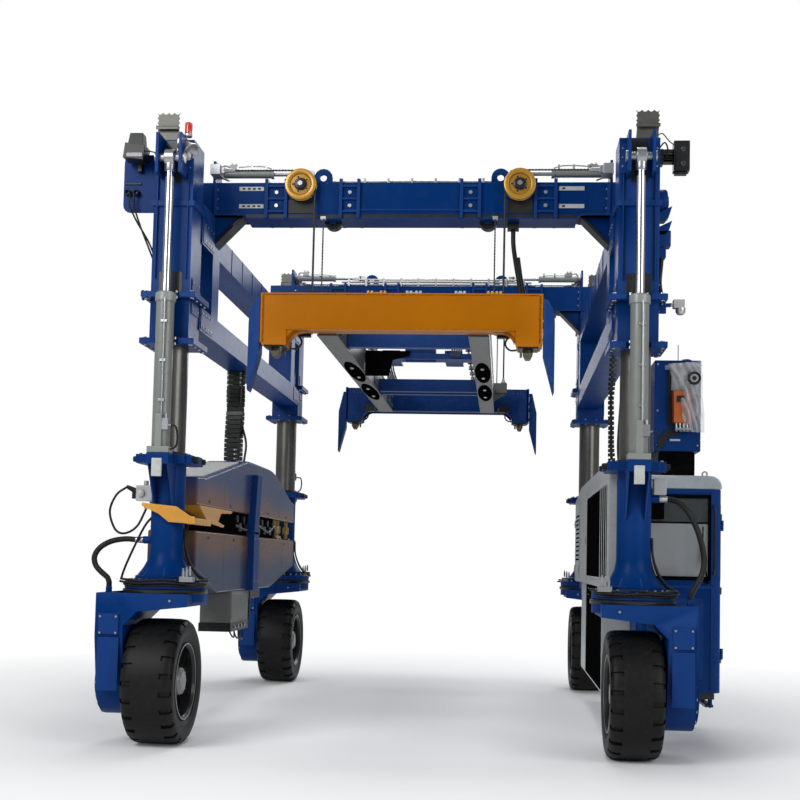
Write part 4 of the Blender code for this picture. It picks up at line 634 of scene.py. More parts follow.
def ring_hoses(place, side, end):
    """Loose black hoses laid round the slewing ring, with steel couplings and a valve block."""
    pin = pins[f"{place}_steer"]
    body = f"{place.split('_')[0]}_side"
    bm = bmesh.new()
    rand = random.Random(place)
    for number, radius in enumerate((0.372, 0.396, 0.384)):
        start, sweep = rand.uniform(-2.9, -2.5), rand.uniform(2.2, 2.7)
        rise = ring_low + 0.035 + 0.022 * number
        points = []
        for step in range(9):
            turn = start + sweep * step / 8
            sway = 0.012 * math.sin(step * 2.1 + number)
            points.append((pin.x + (radius + sway) * math.cos(turn),
                           pin.y - end * (radius + sway) * math.sin(turn),
                           rise + 0.006 * math.cos(step * 1.7)))
        climb = Vector(points[-1])
        inward = (Vector((pin.x, pin.y, climb.z)) - climb).normalized()
        points += [climb + inward * 0.08 + Vector((0, 0, 0.04)),
                   climb + inward * 0.16 + Vector((0, 0, 0.14)),
                   climb + inward * 0.215 + Vector((0, 0, 0.3)),
                   climb + inward * 0.225 + Vector((0, 0, 0.46))]
        tube(bm, curve_through(points, 0.03), 0.0105, 10)
    set_down(f"{place}_ring_hoses", bm, hose_rubber, body, crease=60)
    bm = bmesh.new()
    for number in range(3):
        spot = pin + Vector((-side * (0.235 + 0.03 * number), end * 0.29, 0.14 + 0.01 * number))
        post(bm, spot, spot + Vector((0, 0, 0.06)), 0.013, 6)
        post(bm, spot + Vector((0, 0, 0.06)), spot + Vector((0, 0, 0.085)), 0.009, 12)
    slab(bm, (-side * 0.33, -side * 0.21), (end * 0.24, end * 0.33), (0.07, 0.115),
         at=(pin.x, pin.y, ring_low))
    set_down(f"{place}_ring_couplings", bm, bright_steel, body, bevel=0.002)


leg_hose_z = {side: head_top + 0.05 - rows[-1][2] for side, rows in hose_routes.items()}
for place, side, end in corners:
    bogie(place, side)
    leg(place, side, end)
    ring_hoses(place, side, end)

# Four lift cylinders: grey barrels with a thin pipe, a valve block and a steel gland, and
# chrome rods whose eyes hang on pins at the tops of the sleeves.
barrel_grey = metal_or_paint("barrel_grey", (0.2, 0.215, 0.2), 0.36, gloss=0.25, drift=0.14,
                             drift_scale=1.5, dust=(0.3, 0.29, 0.26), dust_share=0.3, grain=0.04, worn=0.3)
rod_chrome = metal_or_paint("rod_chrome", (0.62, 0.63, 0.65), 0.1, metal=1.0, drift=0.05, rough_drift=0.05,
                            dust=(0.3, 0.28, 0.25), dust_share=0.2, grain=0.015, grain_scale=400.0)


def lift_cylinder(place, end):
    """The barrel on its foot block with pipe, clips and valve, then the rod and its eye."""
    pin = pins[f"{place}_steer"]
    base = f"{place.split('_')[0]}_side"
    x, y = pin.x, pin.y + end * 0.31
    foot, top = leg_top + 0.0003, leg_top + 1.43
    eye = leg_top + 0.99 + 1.87 - 0.21
    bm = bmesh.new()
    spun(bm, [(0.0435, foot), (0.074, foot), (0.08, foot + 0.07), (0.08, top - 0.085), (0.092, top - 0.08),
              (0.092, top - 0.012), (0.08, top), (0.0435, top)], (x, y, 0), (0, 0, 1), 56)
    set_down(f"{place}_cylinder_barrel", bm, barrel_grey, base, [f"{place}_lift_barrel"])
    bm = bmesh.new()
    slab(bm, about(x, 0.098), (y - end * 0.04, y + end * 0.098), (foot, foot + 0.055))
    slab(bm, about(x, 0.03), (y + end * 0.07, y + end * 0.1), (foot + 0.05, foot + 0.34))
    set_down(f"{place}_cylinder_foot", bm, barrel_grey, base, bevel=0.008, segments=3)
    bm = bmesh.new()
    pipe = y + end * 0.091
    tube(bm, curve_through([(0, pipe, foot + 0.3), (0, pipe, foot + 0.5), (0, pipe, top - 0.3),
                            (0, pipe, top - 0.1), (0, y + end * 0.085, top - 0.06)], 0.08,
                           at=(x + 0.02, 0, 0)), 0.008, 12)
    for rise in (0.45, 0.8, 1.15):
        slab(bm, (x - 0.012, x + 0.045), (y + end * 0.07, pipe + end * 0.006),
             (foot + rise, foot + rise + 0.025))
    slab(bm, (0.03, 0.085), (end * 0.06, end * 0.098), (0.2, 0.3), at=(x, y, foot))
    post(bm, (0, 0, 0.29), (0, 0, 0.34), 0.012, 6, at=(x + 0.06, y + end * 0.08, foot))
    post(bm, (0.08, 0, 0), (0.11, 0, 0), 0.011, 6, at=(x, y + end * 0.08, foot + 0.24))
    spun(bm, [(0.041, top - 0.01), (0.06, top - 0.01), (0.06, top + 0.004), (0.052, top + 0.012),
              (0.041, top + 0.012)], (x, y, 0), (0, 0, 1), 40)
    set_down(f"{place}_cylinder_fittings", bm, bright_steel, base, bevel=0.002)
    bm = bmesh.new()
    hose = [(x + 0.1, y + end * 0.08, foot + 0.24), (x + 0.15, y + end * 0.075, foot + 0.23),
            (x + 0.165, y + end * 0.06, foot + 0.14), (x + 0.15, y + end * 0.045, foot + 0.06),
            (x + 0.095, y + end * 0.04, foot + 0.03)]
    tube(bm, curve_through(hose, 0.02), 0.009, 10)
    set_down(f"{place}_cylinder_hose", bm, hose_rubber, base, crease=60)
    bm = bmesh.new()
    spun(bm, [(0, top - 0.385), (0.04, top - 0.385), (0.04, eye - 0.1), (0, eye - 0.1)], (x, y, 0),
         (0, 0, 1), 48)
    set_down(f"{place}_piston_rod", bm, rod_chrome, "upper_frame", [f"{place}_lift_rod"])
    bm = bmesh.new()
    spun(bm, [(0, eye - 0.13), (0.042, eye - 0.13), (0.05, eye - 0.11), (0.05, eye - 0.05),
              (0, eye - 0.04)], (x, y, 0), (0, 0, 1), 32)
    spun(bm, [(0.038, -0.045), (0.07, -0.045), (0.0745, -0.04), (0.0745, 0.04), (0.07, 0.045),
              (0.038, 0.045)], (x, y, eye), (1, 0, 0), 40)
    post(bm, (x - 0.1, y, eye), (x + 0.1, y, eye), 0.0365, 28)
    for out in (-1, 1):
        post(bm, (x + out * 0.1, y, eye), (x + out * 0.135, y, eye), 0.05, 28)
    set_down(f"{place}_rod_eye", bm, bright_steel, "upper_frame", bevel=0.003)


for place, _, end in corners:
    lift_cylinder(place, end)

# Two side frames in glossy blue: bolted flanges, splice plates, cheeks round a black slot,
# grey serrated guards on top, an outlet plate, lamps, a beacon, a camera and a reel.
sleeve_low = leg_top + 0.99
sleeve_top = sleeve_low + 1.87
sleeve_half = 0.178
rail_low = sleeve_low + 0.2
guard_grey = metal_or_paint("guard_grey", (0.1, 0.1, 0.088), 0.42, metal=0.4, drift=0.2,
                            dust=(0.16, 0.14, 0.11), dust_share=0.4, grain=0.1)
cast_alloy = metal_or_paint("cast_alloy", (0.5, 0.5, 0.49), 0.38, metal=0.8, drift=0.15,
                            grain=0.1, worn=0.3)
beacon_red = metal_or_paint("beacon_red", (0.62, 0.02, 0.006), 0.12, gloss=1.0, drift=0.08, dust_share=0.05)
lens_glass = metal_or_paint("lens_glass", (0.03, 0.032, 0.035), 0.12, gloss=0.6, sheen=0.4, drift=0.1,
                            dust_share=0.15)
black_plastic = metal_or_paint("black_plastic", (0.008, 0.0085, 0.0085), 0.4, gloss=0.08, sheen=0.3,
                               drift=0.2, dust=(0.05, 0.048, 0.045), dust_share=0.35, grain=0.25,
                               grain_scale=260.0)


def extruded(bm, outline, axis, low, high):
    """Add a prism: a flat outline of (a, b) pairs, drawn across an axis and pulled along it."""
    where = {"x": lambda a, b: (low, a, b), "y": lambda a, b: (a, low, b), "z": lambda a,
             b: (a, b, low)}[axis]
    along = {"x": (1, 0, 0), "y": (0, 1, 0), "z": (0, 0, 1)}[axis]
    face = bm.faces.new([bm.verts.new(where(a, b)) for a, b in outline])
    grown = bmesh.ops.extrude_face_region(bm, geom=[face])
    top = [item for item in grown["geom"] if isinstance(item, bmesh.types.BMVert)]
    bmesh.ops.translate(bm, vec=Vector(along) * (high - low), verts=top)
    bm.faces.new([bm.verts.new(where(a, b)) for a, b in outline])
    bmesh.ops.remove_doubles(bm, verts=bm.verts, dist=0.00001)
    return top


def sleeve_bolts(bm, pin):
    """Hexagon bolts round both square flanges of a sleeve, with washers."""
    for base in (sleeve_low, rail_low + 0.22):
        for along in (-0.2, -0.07, 0.07, 0.2):
            for across_axis in (-0.215, 0.215):
                for x, y in ((along, across_axis), (across_axis, along)):
                    bolts(bm, [(pin.x + x, pin.y + y, base + 0.05)], (0, 0, 1), 0.013, 0.012)
                    bolts(bm, [(pin.x + x, pin.y + y, base)], (0, 0, 1), 0.013, 0.012)


def guard(place, side, end, pin):
    """A serrated guard: a scalloped upper sheet over a folded lip and a lower sheet."""
    middle, y = pin.x + side * 0.07, pin.y + end * 0.166
    low, top = sleeve_top - 0.01, sleeve_top + 0.259
    bm = bmesh.new()
    edge = []
    for step in range(25):
        share = step / 24
        edge.append((middle - 0.108 + 0.216 * share,
                     top - 0.004 - 0.018 * abs(math.sin(share * math.pi * 4))))
    right = [(middle + 0.104 - 0.012 * abs(math.sin(s / 12 * math.pi * 3)), top - 0.012 - 0.13 * s / 12)
             for s in range(1, 13)]
    left = [(2 * middle - x, z) for x, z in reversed(right)]
    extruded(bm, edge + right + left, "y", y - 0.005, y + 0.005)
    extruded(bm, [(middle - 0.1, top - 0.14), (middle + 0.1, top - 0.14), (middle + 0.085, low),
                  (middle - 0.085, low)], "y", y - 0.005, y + 0.005)
    slab(bm, about(middle, 0.104), (y - end * 0.005, y + end * 0.045), (top - 0.148, top - 0.138))
    slab(bm, about(middle, 0.104), (y + end * 0.037, y + end * 0.045), (top - 0.17, top - 0.14))
    for out in (-1, 1):
        brace = slab(bm, about(middle + out * 0.09, 0.004),
                     (y - end * 0.15, y), (low, top - 0.15))
        far = [v for v in brace if abs(v.co.y - y) > 0.1 and v.co.z > low + 0.05]
        bmesh.ops.translate(bm, vec=(0, end * 0.13, 0), verts=far)
    set_down(f"{place}_top_guard", bm, guard_grey, "upper_frame", bevel=0.002)


def side_frame(side, side_name):
    """The copied frame without its guards, then bolts, plates and slots at its two sleeves."""
    bm = cad_shape(f"{side_name}_side_frame")
    cut = bmesh.ops.bisect_plane(bm, geom=list(bm.verts) + list(bm.edges) + list(bm.faces), dist=0.0001,
                                 plane_co=(0, 0, sleeve_top + 0.0004), plane_no=(0, 0, 1), clear_outer=True)
    rims = [item for item in cut["geom_cut"] if isinstance(item, bmesh.types.BMEdge)]
    bmesh.ops.holes_fill(bm, edges=rims)
    set_down(f"{side_name}_frame", bm, blue_gloss, "upper_frame",
             [f"{side_name}_side_frame"], bevel=0.008)
    steel, blue, black = bmesh.new(), bmesh.new(), bmesh.new()
    for end, end_name in ((-1, "front"), (1, "rear")):
        pin = pins[f"{side_name}_{end_name}_steer"]
        face = pin.y + end * sleeve_half
        guard(f"{side_name}_{end_name}", side, end, pin)
        sleeve_bolts(steel, pin)
        slab(black, (-0.075, 0.075), (0, end * 0.002), (-0.4, -0.01), at=(pin.x, face, sleeve_top))
        slab(black, (-0.105, 0.105), (0, end * 0.002), (0.27, 0.46), at=(pin.x, face, rail_low))
        for out in (-1, 1):
            slab(blue, (pin.x + out * 0.135, pin.x + out * 0.145), (face, face + end * 0.025),
                 (rail_low + 0.4, sleeve_top - 0.32))
            slab(blue, (out * 0.1, out * 0.165), (0, end * 0.012), (-0.32, -0.05),
                 at=(pin.x, face, sleeve_top))
            bolts(steel, [(pin.x + out * 0.15, face + end * 0.012, sleeve_top - 0.1 - 0.08 * n)
                          for n in range(3)], (0, 1, 0), 0.009, 0.007)
            slab(blue, (pin.x + out * sleeve_half, pin.x + out * 0.186), about(pin.y, 0.12),
                 (sleeve_low + 0.3 if out == -side else sleeve_low + 0.12, sleeve_low + 0.62))
            bolts(steel, [(pin.x + out * 0.186, pin.y + ahead, sleeve_low + rise) for ahead in (-0.09, 0.09)
                          for rise in (0.34, 0.46, 0.58)], (1, 0, 0), 0.009, 0.006)
        inner = pin.y - end * 0.19
        for low, high in ((rail_low, rail_low + 0.22), (rail_low + 0.81, rail_low + 1.06)):
            for out in (pin.x - side * 0.19, pin.x + side * 0.11):
                slab(blue, about(out, 0.006), (inner, inner - end * 0.42), (low + 0.02, high - 0.02))
                bolts(steel, [(out, inner - end * ahead, low + rise) for ahead in (0.06, 0.16, 0.26, 0.36)
                              for rise in (0.05, (high - low) - 0.05)], (1, 0, 0), 0.01, 0.012)
        rib = [(inner, rail_low + 0.22), (inner - end * 0.3, rail_low + 0.22), (inner, rail_low + 0.5)]
        for out in (pin.x - side * 0.14, pin.x + side * 0.06):
            extruded(blue, rib, "x", out - 0.006, out + 0.006)
    for middle in range(-3, 4):
        for out in (-0.19, 0.11):
            slab(blue, about(pin.x + side * out, 0.005),
                 about(middle * 0.5, 0.01), (rail_low + 0.81, rail_low + 1.06))
    set_down(f"{side_name}_frame_plates", blue, blue_gloss, "upper_frame", bevel=0.002)
    set_down(f"{side_name}_frame_bolts", steel, bright_steel, "upper_frame",
             bevel=0.0012, segments=1)
    set_down(f"{side_name}_frame_slots", black, black_steel, "upper_frame",
             bevel=0.0008, segments=1)


def left_outlets_and_lamps():
    """Sockets on the outlet plate, its cables, the work lamp, and the beacon on its horn."""
    pin = pins["left_front_steer"]
    face = pin.y - 0.006
    bm = bmesh.new()
    for out in (-0.47, -0.39):
        spun(bm, [(0, 0), (0.03, 0), (0.033, 0.012), (0.026, 0.016), (0.026, 0.05), (0.018, 0.052),
                  (0.018, 0.02), (0, 0.02)], (pin.x + out, face, sleeve_top - 0.44), (0, -1, 0), 32)
    slab(bm, (-0.51, -0.35), (-0.012, 0), (-0.36, -0.345), at=(pin.x, face, sleeve_top))
    lamp_x, lamp_z = pin.x - 0.36, sleeve_top - 0.06
    body = slab(bm, (-0.1, 0.09), (-0.2, -0.04), (-0.12, 0.02), at=(lamp_x, face, lamp_z))
    bmesh.ops.rotate(bm, verts=body, cent=(lamp_x, face, lamp_z), matrix=Matrix.Rotation(0.12, 3, "Y"))
    hood = slab(bm, (-0.09, 0.06), (-0.16, -0.02), (0, 0.14), at=(lamp_x, face, lamp_z))
    top = [vert for vert in hood if vert.co.z > lamp_z + 0.1]
    bmesh.ops.scale(bm, vec=(0.8, 0.7, 1), verts=top, space=Matrix.Translation((-lamp_x, 0.09 - face, 0)))
    slab(bm, about(lamp_x, 0.02), (face - 0.05, face), (lamp_z - 0.19, lamp_z - 0.08))
    for n in range(5):
        slab(bm, (lamp_x - 0.08 + 0.035 * n, lamp_x - 0.07 + 0.035 * n), (face - 0.07, face - 0.015),
             (lamp_z - 0.11, lamp_z + 0.01))
    set_down("left_lamp_and_sockets", bm, black_plastic, "upper_frame",
             bevel=0.008, segments=3)
    bm = bmesh.new()
    slab(bm, (-0.08, 0.07), (-0.206, -0.198), (-0.105, -0.065), at=(lamp_x, face, lamp_z))
    set_down("left_lamp_lens", bm, lens_glass, "upper_frame", bevel=0.003)
    bm = bmesh.new()
    for out, sag in ((-0.44, 0.0), (-0.4, 0.05)):
        tube(bm, curve_through([(pin.x + out, -0.05, sleeve_top - 0.46),
                                (pin.x + out, -0.06, sleeve_top - 0.56),
                                (pin.x + out + 0.06, -0.04, sleeve_top - 0.7 - sag),
                                (pin.x - 0.26, -0.02, sleeve_top - 0.9 - sag),
                                (pin.x - 0.2, 0, sleeve_top - 1.06 - sag),
                                (pin.x - 0.19, 0, sleeve_top - 1.2)], 0.025, at=(0, face, 0)), 0.0085, 10)
    tube(bm, curve_through([(lamp_x + 0.08, -0.1, -0.02), (lamp_x + 0.13, -0.12, -0.03),
                            (pin.x - 0.17, -0.15, -0.06), (pin.x - 0.12, -0.19, -0.13)], 0.02,
                           at=(0, face, lamp_z)), 0.006, 8)
    set_down("left_lamp_cables", bm, hose_rubber, "upper_frame", crease=60)
    x, y, z = pin.x + 0.13, face - 0.21, sleeve_top - 0.03
    bm = bmesh.new()
    spun(bm, [(0, 0.068), (0.031, 0.068), (0.033, 0.075), (0.033, 0.16), (0.028, 0.17), (0, 0.174)],
         (x, y, z), (0, 0, 1), 40)
    for n in range(4):
        spun(bm, [(0.032, 0.085 + 0.02 * n), (0.0345, 0.088 + 0.02 * n), (0.0345, 0.092 + 0.02 * n),
                  (0.032, 0.095 + 0.02 * n)], (x, y, z), (0, 0, 1), 40)
    set_down("beacon_lens", bm, beacon_red, "upper_frame")
    bm = bmesh.new()
    spun(bm, [(0, 0.04), (0.03, 0.04), (0.036, 0.045), (0.036, 0.066), (0.03, 0.072), (0, 0.072)],
         (x, y, z), (0, 0, 1), 40)
    horn = (x - 0.06, y, z - 0.02)
    spun(bm, [(0, 0), (0.05, 0.0), (0.062, 0.02), (0.06, 0.07), (0.085, 0.13), (0.085, 0.14), (0.078, 0.14),
              (0.04, 0.09), (0, 0.09)], horn, (0.55, -0.2, -0.5), 40)
    slab(bm, (x - 0.1, x - 0.05), (y, y + 0.05), (z - 0.08, z + 0.03))
    post(bm, (x - 0.02, y, z + 0.045), (x - 0.05, y, z - 0.02), 0.014, 16)
    set_down("horn_and_beacon_base", bm, cast_alloy, "upper_frame", bevel=0.003)
    bm = bmesh.new()
    post(bm, (0.13, -0.17, -0.05), (0.07, -0.21, -0.02), 0.012, 12, at=(pin.x, face, z))
    slab(bm, (0.05, 0.13), (-0.185, -0.173), (-0.16, -0.01), at=(pin.x, face, z))
    slab(bm, (-0.31, -sleeve_half), (-0.02, 0.02), (0.46, 0.485), at=(pin.x, pin.y, sleeve_low))
    slab(bm, (-0.31, -0.295), (-0.025, 0.025), (0.44, 0.53), at=(pin.x, pin.y, sleeve_low))
    set_down("left_small_brackets", bm, blue_gloss, "upper_frame", bevel=0.003)


def right_lamp_reel_and_camera():
    """The lamp box on its finned bracket, the cable reel with forked plates, and the camera."""
    pin = pins["right_front_steer"]
    bm = bmesh.new()
    x, y, z = pin.x + 0.38, pin.y - 0.02, sleeve_top - 0.13
    slab(bm, about(x, 0.07), (y - 0.06, y + 0.05), (z - 0.13, z + 0.14))
    slab(bm, (x - 0.06, x + 0.05), about(y, 0.03), (z - 0.155, z - 0.12))
    slab(bm, about(x, 0.055), (y - 0.066, y - 0.055), (z - 0.11, z + 0.12))
    for n in range(6):
        slab(bm, (x - 0.16, x - 0.065), about(y, 0.04), (z - 0.05 + 0.022 * n, z - 0.042 + 0.022 * n))
    post(bm, (x - 0.21, y, z), (x - 0.06, y, z), 0.022, 20)
    post(bm, (x - 0.21, y, z - 0.04), (x - 0.06, y, z - 0.04), 0.012, 16)
    slab(bm, (x - 0.22, x - 0.16), about(y, 0.045), about(z, 0.07))
    set_down("right_lamp_box", bm, black_plastic, "upper_frame", bevel=0.007, segments=3)
    bm = bmesh.new()
    for up in (-0.07, 0.06):
        spun(bm, [(0, 0), (0.022, 0), (0.024, 0.006), (0.018, 0.01), (0, 0.006)],
             (x + 0.01, y - 0.066, z + up), (0, -1, 0), 24)
    set_down("right_lamp_lenses", bm, lens_glass, "upper_frame")
    bm = bmesh.new()
    tube(bm, curve_through([(0.15, -0.15, 0.02), (0.2, -0.12, 0.05), (0.27, -0.06, 0),
                            (0.33, -0.03, -0.03)], 0.02, at=(pin.x, y, sleeve_top)), 0.005, 8)
    tube(bm, curve_through([(0.18, -0.1, -0.07), (0.22, -0.12, -0.03), (0.25, -0.1, -0.08),
                            (0.24, -0.06, -0.15)], 0.02, at=(pin.x, y, sleeve_top)), 0.007, 8)
    tube(bm, curve_through([(0.22, -0.02, -0.97), (0.21, -0.03, -1.1), (0.2, -0.02, -1.25),
                            (0.21, -0.03, -1.36)], 0.02, at=(pin.x, y, sleeve_top)), 0.02, 10)
    set_down("right_lamp_cables", bm, hose_rubber, "upper_frame", crease=60)
    bm = bmesh.new()
    reel = (pin.x + sleeve_half, y + 0.05, sleeve_top - 0.52)
    spun(bm, [(0, 0), (0.11, 0), (0.115, 0.01), (0.115, 0.07), (0.105, 0.085), (0.06, 0.09), (0.055, 0.1),
              (0, 0.1)], reel, (1, 0, 0), 48)
    for drop, tip in ((0.62, 0.3), (0.75, 0.3)):
        low = sleeve_top - drop - 0.09
        fork = [(pin.x + sleeve_half, low), (pin.x + 0.24, low), (pin.x + tip - 0.03, low + 0.03),
                (pin.x + tip, low + 0.13), (pin.x + tip - 0.06, low + 0.1),
                (pin.x + sleeve_half, low + 0.07)]
        extruded(bm, fork, "y", y - 0.06, y + 0.06)
    slab(bm, (sleeve_half, 0.29), (-0.06, 0.06), (-0.94, -0.8), at=(pin.x, y, sleeve_top))
    slab(bm, (sleeve_half, 0.25), (-0.05, 0.05), (-1.04, -0.95), at=(pin.x, y, sleeve_top))
    slab(bm, (sleeve_half, 0.3), (-0.02, 0.02), (0.4, 0.43), at=(pin.x, y, sleeve_low))
    slab(bm, (sleeve_half, 0.26), (-0.015, 0.015), (0.34, 0.4), at=(pin.x, y, sleeve_low))
    set_down("right_reel_bracket", bm, blue_gloss, "upper_frame", bevel=0.004)
    bm = bmesh.new()
    post(bm, (0.29, 0, 0), (0.33, 0, 0), 0.018, 20, at=(pin.x, y, sleeve_low + 0.42))
    slab(bm, (0.32, 0.42), (-0.045, 0.035), (0.385, 0.46), at=(pin.x, y, sleeve_low))
    spun(bm, [(0, -0.045), (0.03, -0.04), (0.042, -0.02), (0.044, 0.0), (0.044, 0.02), (0, 0.02)],
         (pin.x + 0.385, y - 0.005, sleeve_low + 0.37), (0, 0, 1), 32)
    around = ((0.08, 0), (-0.08, 0), (0, 0.08), (0, -0.08))
    bolts(bm, [(reel[0] + 0.09, reel[1] + dy, reel[2] + dz) for dy, dz in around], (1, 0, 0), 0.008, 0.008)
    set_down("right_camera", bm, cast_alloy, "upper_frame", bevel=0.006, segments=3)


for side, side_name in ((-1, "left"), (1, "right")):
    side_frame(side, side_name)
left_outlets_and_lamps()
right_lamp_reel_and_camera()

# Two cross-beams with rib pairs, rungs, blank label strips and a black cable channel, their
# golden sheaves, grey rope cylinders and wire ropes down to the spreader.
beam_y = leg_y - 0.71
beam_low, beam_top = rail_low + 1.19, rail_low + 1.51
inner_half = leg_half - 0.19
sheave_x, rope_reach, rope_drop = 1.04, 0.1373, 0.93
sheave_gold = metal_or_paint("sheave_gold", (0.4, 0.2, 0.012), 0.34, metal=0.25, gloss=0.3, drift=0.25,
                             drift_scale=6.0, dust=(0.2, 0.1, 0.02), dust_share=0.5, worn=0.4)
wire_steel = metal_or_paint("wire_steel", (0.05, 0.05, 0.052), 0.45, metal=0.7, drift=0.3, drift_scale=9.0,
                            dust=(0.02, 0.018, 0.015), dust_share=0.6)
galvanised = metal_or_paint("galvanised", (0.45, 0.46, 0.46), 0.35, metal=0.7, drift=0.25, drift_scale=8.0,
                            dust=(0.2, 0.2, 0.19), dust_share=0.5, grain=0.08)


def cross_beam(end, end_name):
    """The copied beam, then its rungs, strips, channel, sheave guards, clamps and bolts."""
    bm = cad_shape(f"{end_name}_cross_beam")
    set_down(f"{end_name}_beam", bm, blue_gloss, "upper_frame", [f"{end_name}_cross_beam"],
             bevel=0.006)
    y = end * beam_y
    face = y + end * 0.15
    blue, steel, pale, black = (bmesh.new() for _ in range(4))
    ribs = [share * inner_half for share in (-0.73, -0.63, -0.35, -0.26, 0.26, 0.35, 0.63, 0.73)]
    for first, second in zip(ribs[::2], ribs[1::2]):
        for share in (0.12, 0.5, 0.88):
            z = beam_low + 0.32 * share
            slab(blue, (mid_x + first, mid_x + second), about(y, 0.172), about(z, 0.01))
        for share in (0.3, 0.7):
            z = beam_low + 0.32 * share
            bolts(steel, [(mid_x + (first + second) / 2, face, z)], (0, 1, 0), 0.02, 0.012)
    for side in (-1, 1):
        for z, long in ((beam_top - 0.06, 0.24), (beam_low + 0.09, 0.24)):
            start = side * inner_half * 0.745
            slab(pale, (0, side * long), (0, end * 0.004), (-0.02, 0.02), at=(mid_x + start, face, z))
            for n in range(4 if side < 0 else 1):
                slab(black, (side * (0.03 + 0.05 * n), side * (0.06 + 0.05 * n)), (0, end * 0.006),
                     (-0.01, 0.01), at=(mid_x + start, face, z))
        guard_z = (beam_low + 0.02, beam_low + 0.15)
        slab(black, (mid_x + side * 0.92, mid_x + side * 1.17), (face, face + end * 0.006), guard_z)
        shelf = side * (inner_half - 0.14)
        slab(blue, about(mid_x + shelf, 0.14), about(y, 0.17), (beam_low, beam_low + 0.016))
        slab(blue, (mid_x + side * (inner_half - 0.03), mid_x + side * inner_half), about(y, 0.17),
             (beam_low + 0.012, beam_top - 0.02))
        bolts(steel, [(mid_x + side * (inner_half - 0.028), y + ahead, beam_low + rise)
                      for ahead in (-0.155, 0.155) for rise in (0.07, 0.16, 0.25)], (1, 0, 0), 0.012, 0.014)
        edge = [(mid_x + side * (inner_half - 0.285), beam_low + 0.01),
                (mid_x + side * (inner_half - 0.25), beam_low + 0.01),
                (mid_x + side * (inner_half - 0.001), beam_low - 0.24),
                (mid_x + side * (inner_half - 0.001), beam_low - 0.278)]
        extruded(black, edge, "y", y - 0.1, y + 0.1)
        bolts(steel, [(mid_x + side * sheave_x, face + end * 0.112, beam_top - 0.04)], (0, 1, 0),
              0.026, 0.012)
        post(black, (0, -0.05, 0), (0, 0.05, 0), 0.085, 40, at=(mid_x + side * 0.746, y, beam_low - 0.02))
        for out in (-0.1, 0.1):
            slab(blue, about(mid_x + side * 0.746, 0.03),
                 about(y + out * 0.7, 0.006), (beam_low - 0.06, beam_low))
    slab(black, about(mid_x, 1.58), about(y, 0.152), (beam_low - 0.022, beam_low + 0.012))
    slab(blue, about(mid_x, 1.58), about(y, 0.158), (beam_low - 0.034, beam_low - 0.022))
    slab(blue, (-0.62, 0.62), (0, end * 0.012), (0.045, 0.06), at=(mid_x, face, beam_low))
    for n in range(-7, 8):
        bolts(steel, [(mid_x + 0.2 * n, y + ahead, beam_top) for ahead in (-0.12, 0.12)], (0, 0, 1),
              0.009, 0.008)
    set_down(f"{end_name}_beam_plates", blue, blue_gloss, "upper_frame", bevel=0.002)
    set_down(f"{end_name}_beam_bolts", steel, bright_steel, "upper_frame",
             bevel=0.0015, segments=1)
    set_down(f"{end_name}_beam_strips", pale, label_grey, "upper_frame", bevel=0.0015)
    set_down(f"{end_name}_beam_channel", black, black_steel, "upper_frame", bevel=0.003)
    bm = bmesh.new()
    for n, (reach, z, radius) in enumerate(((1.3, 0.03, 0.014), (1.25, 0.062, 0.014), (1.1, 0.09, 0.011))):
        back = y - end * (0.08 + 0.018 * n)
        run = [(mid_x - reach, back, beam_top + z), (mid_x - reach / 2, back, beam_top + z),
               (mid_x, back - 0.01, beam_top + z), (mid_x + reach / 2, back, beam_top + z),
               (mid_x + reach, back, beam_top + z)]
        tube(bm, curve_through(run, 0.1), radius, 12)
    for n in range(-5, 6):
        slab(bm, about(mid_x + 0.23 * n, 0.012), (y - end * 0.05, y - end * 0.14),
             (beam_top, beam_top + 0.108))
    set_down(f"{end_name}_beam_pipes", bm, galvanised, "upper_frame", bevel=0.003)


def sheave(place, end):
    """A turned sheave: rims and V groove, dished web, black bearing cap and a steel nut."""
    pin = pins[f"{place}_sheave_spin"]
    bm = bmesh.new()
    spun(bm, [(0.0215, -0.0295), (0.045, -0.0295), (0.047, -0.014), (0.095, -0.012), (0.105, -0.027),
              (0.11, -0.03), (0.146, -0.03), (0.149, -0.028), (0.128, -0.012), (0.126, -0.007),
              (0.126, 0.007), (0.128, 0.012), (0.149, 0.028), (0.146, 0.03), (0.11, 0.03), (0.105, 0.027),
              (0.095, 0.012), (0.047, 0.014), (0.045, 0.0295), (0.0215, 0.0295)], pin, (0, end, 0), 72)
    for spot in ring_of(pin + Vector((0, end * 0.012, 0)), (0, 1, 0), 0.072, 5):
        spun(bm, [(0.011, 0.0), (0.017, 0.0), (0.0165, 0.006), (0.012, 0.006)], spot, (0, end, 0), 20)
    set_down(f"{place}_rope_sheave_wheel", bm, sheave_gold, f"{place}_rope_sheave",
             [f"{place}_sheave"])
    bm = bmesh.new()
    for spot in ring_of(pin + Vector((0, end * 0.013, 0)), (0, 1, 0), 0.072, 5):
        post(bm, spot, spot + Vector((0, end * 0.002, 0)), 0.0125, 20)
    spun(bm, [(0.03, 0.0135), (0.062, 0.0135), (0.06, 0.024), (0.05, 0.0296), (0.03, 0.0296)], pin,
         (0, end, 0), 40)
    set_down(f"{place}_sheave_bearing", bm, black_steel, f"{place}_rope_sheave")
    bm = bmesh.new()
    face = 0.0295 + 0.0005 + 0.015
    spun(bm, [(0.016, face), (0.047, face), (0.046, face + 0.004), (0.03, face + 0.006),
              (0.016, face + 0.006)], pin, (0, end, 0), 40)
    set_down(f"{place}_sheave_cap", bm, black_steel, "upper_frame")


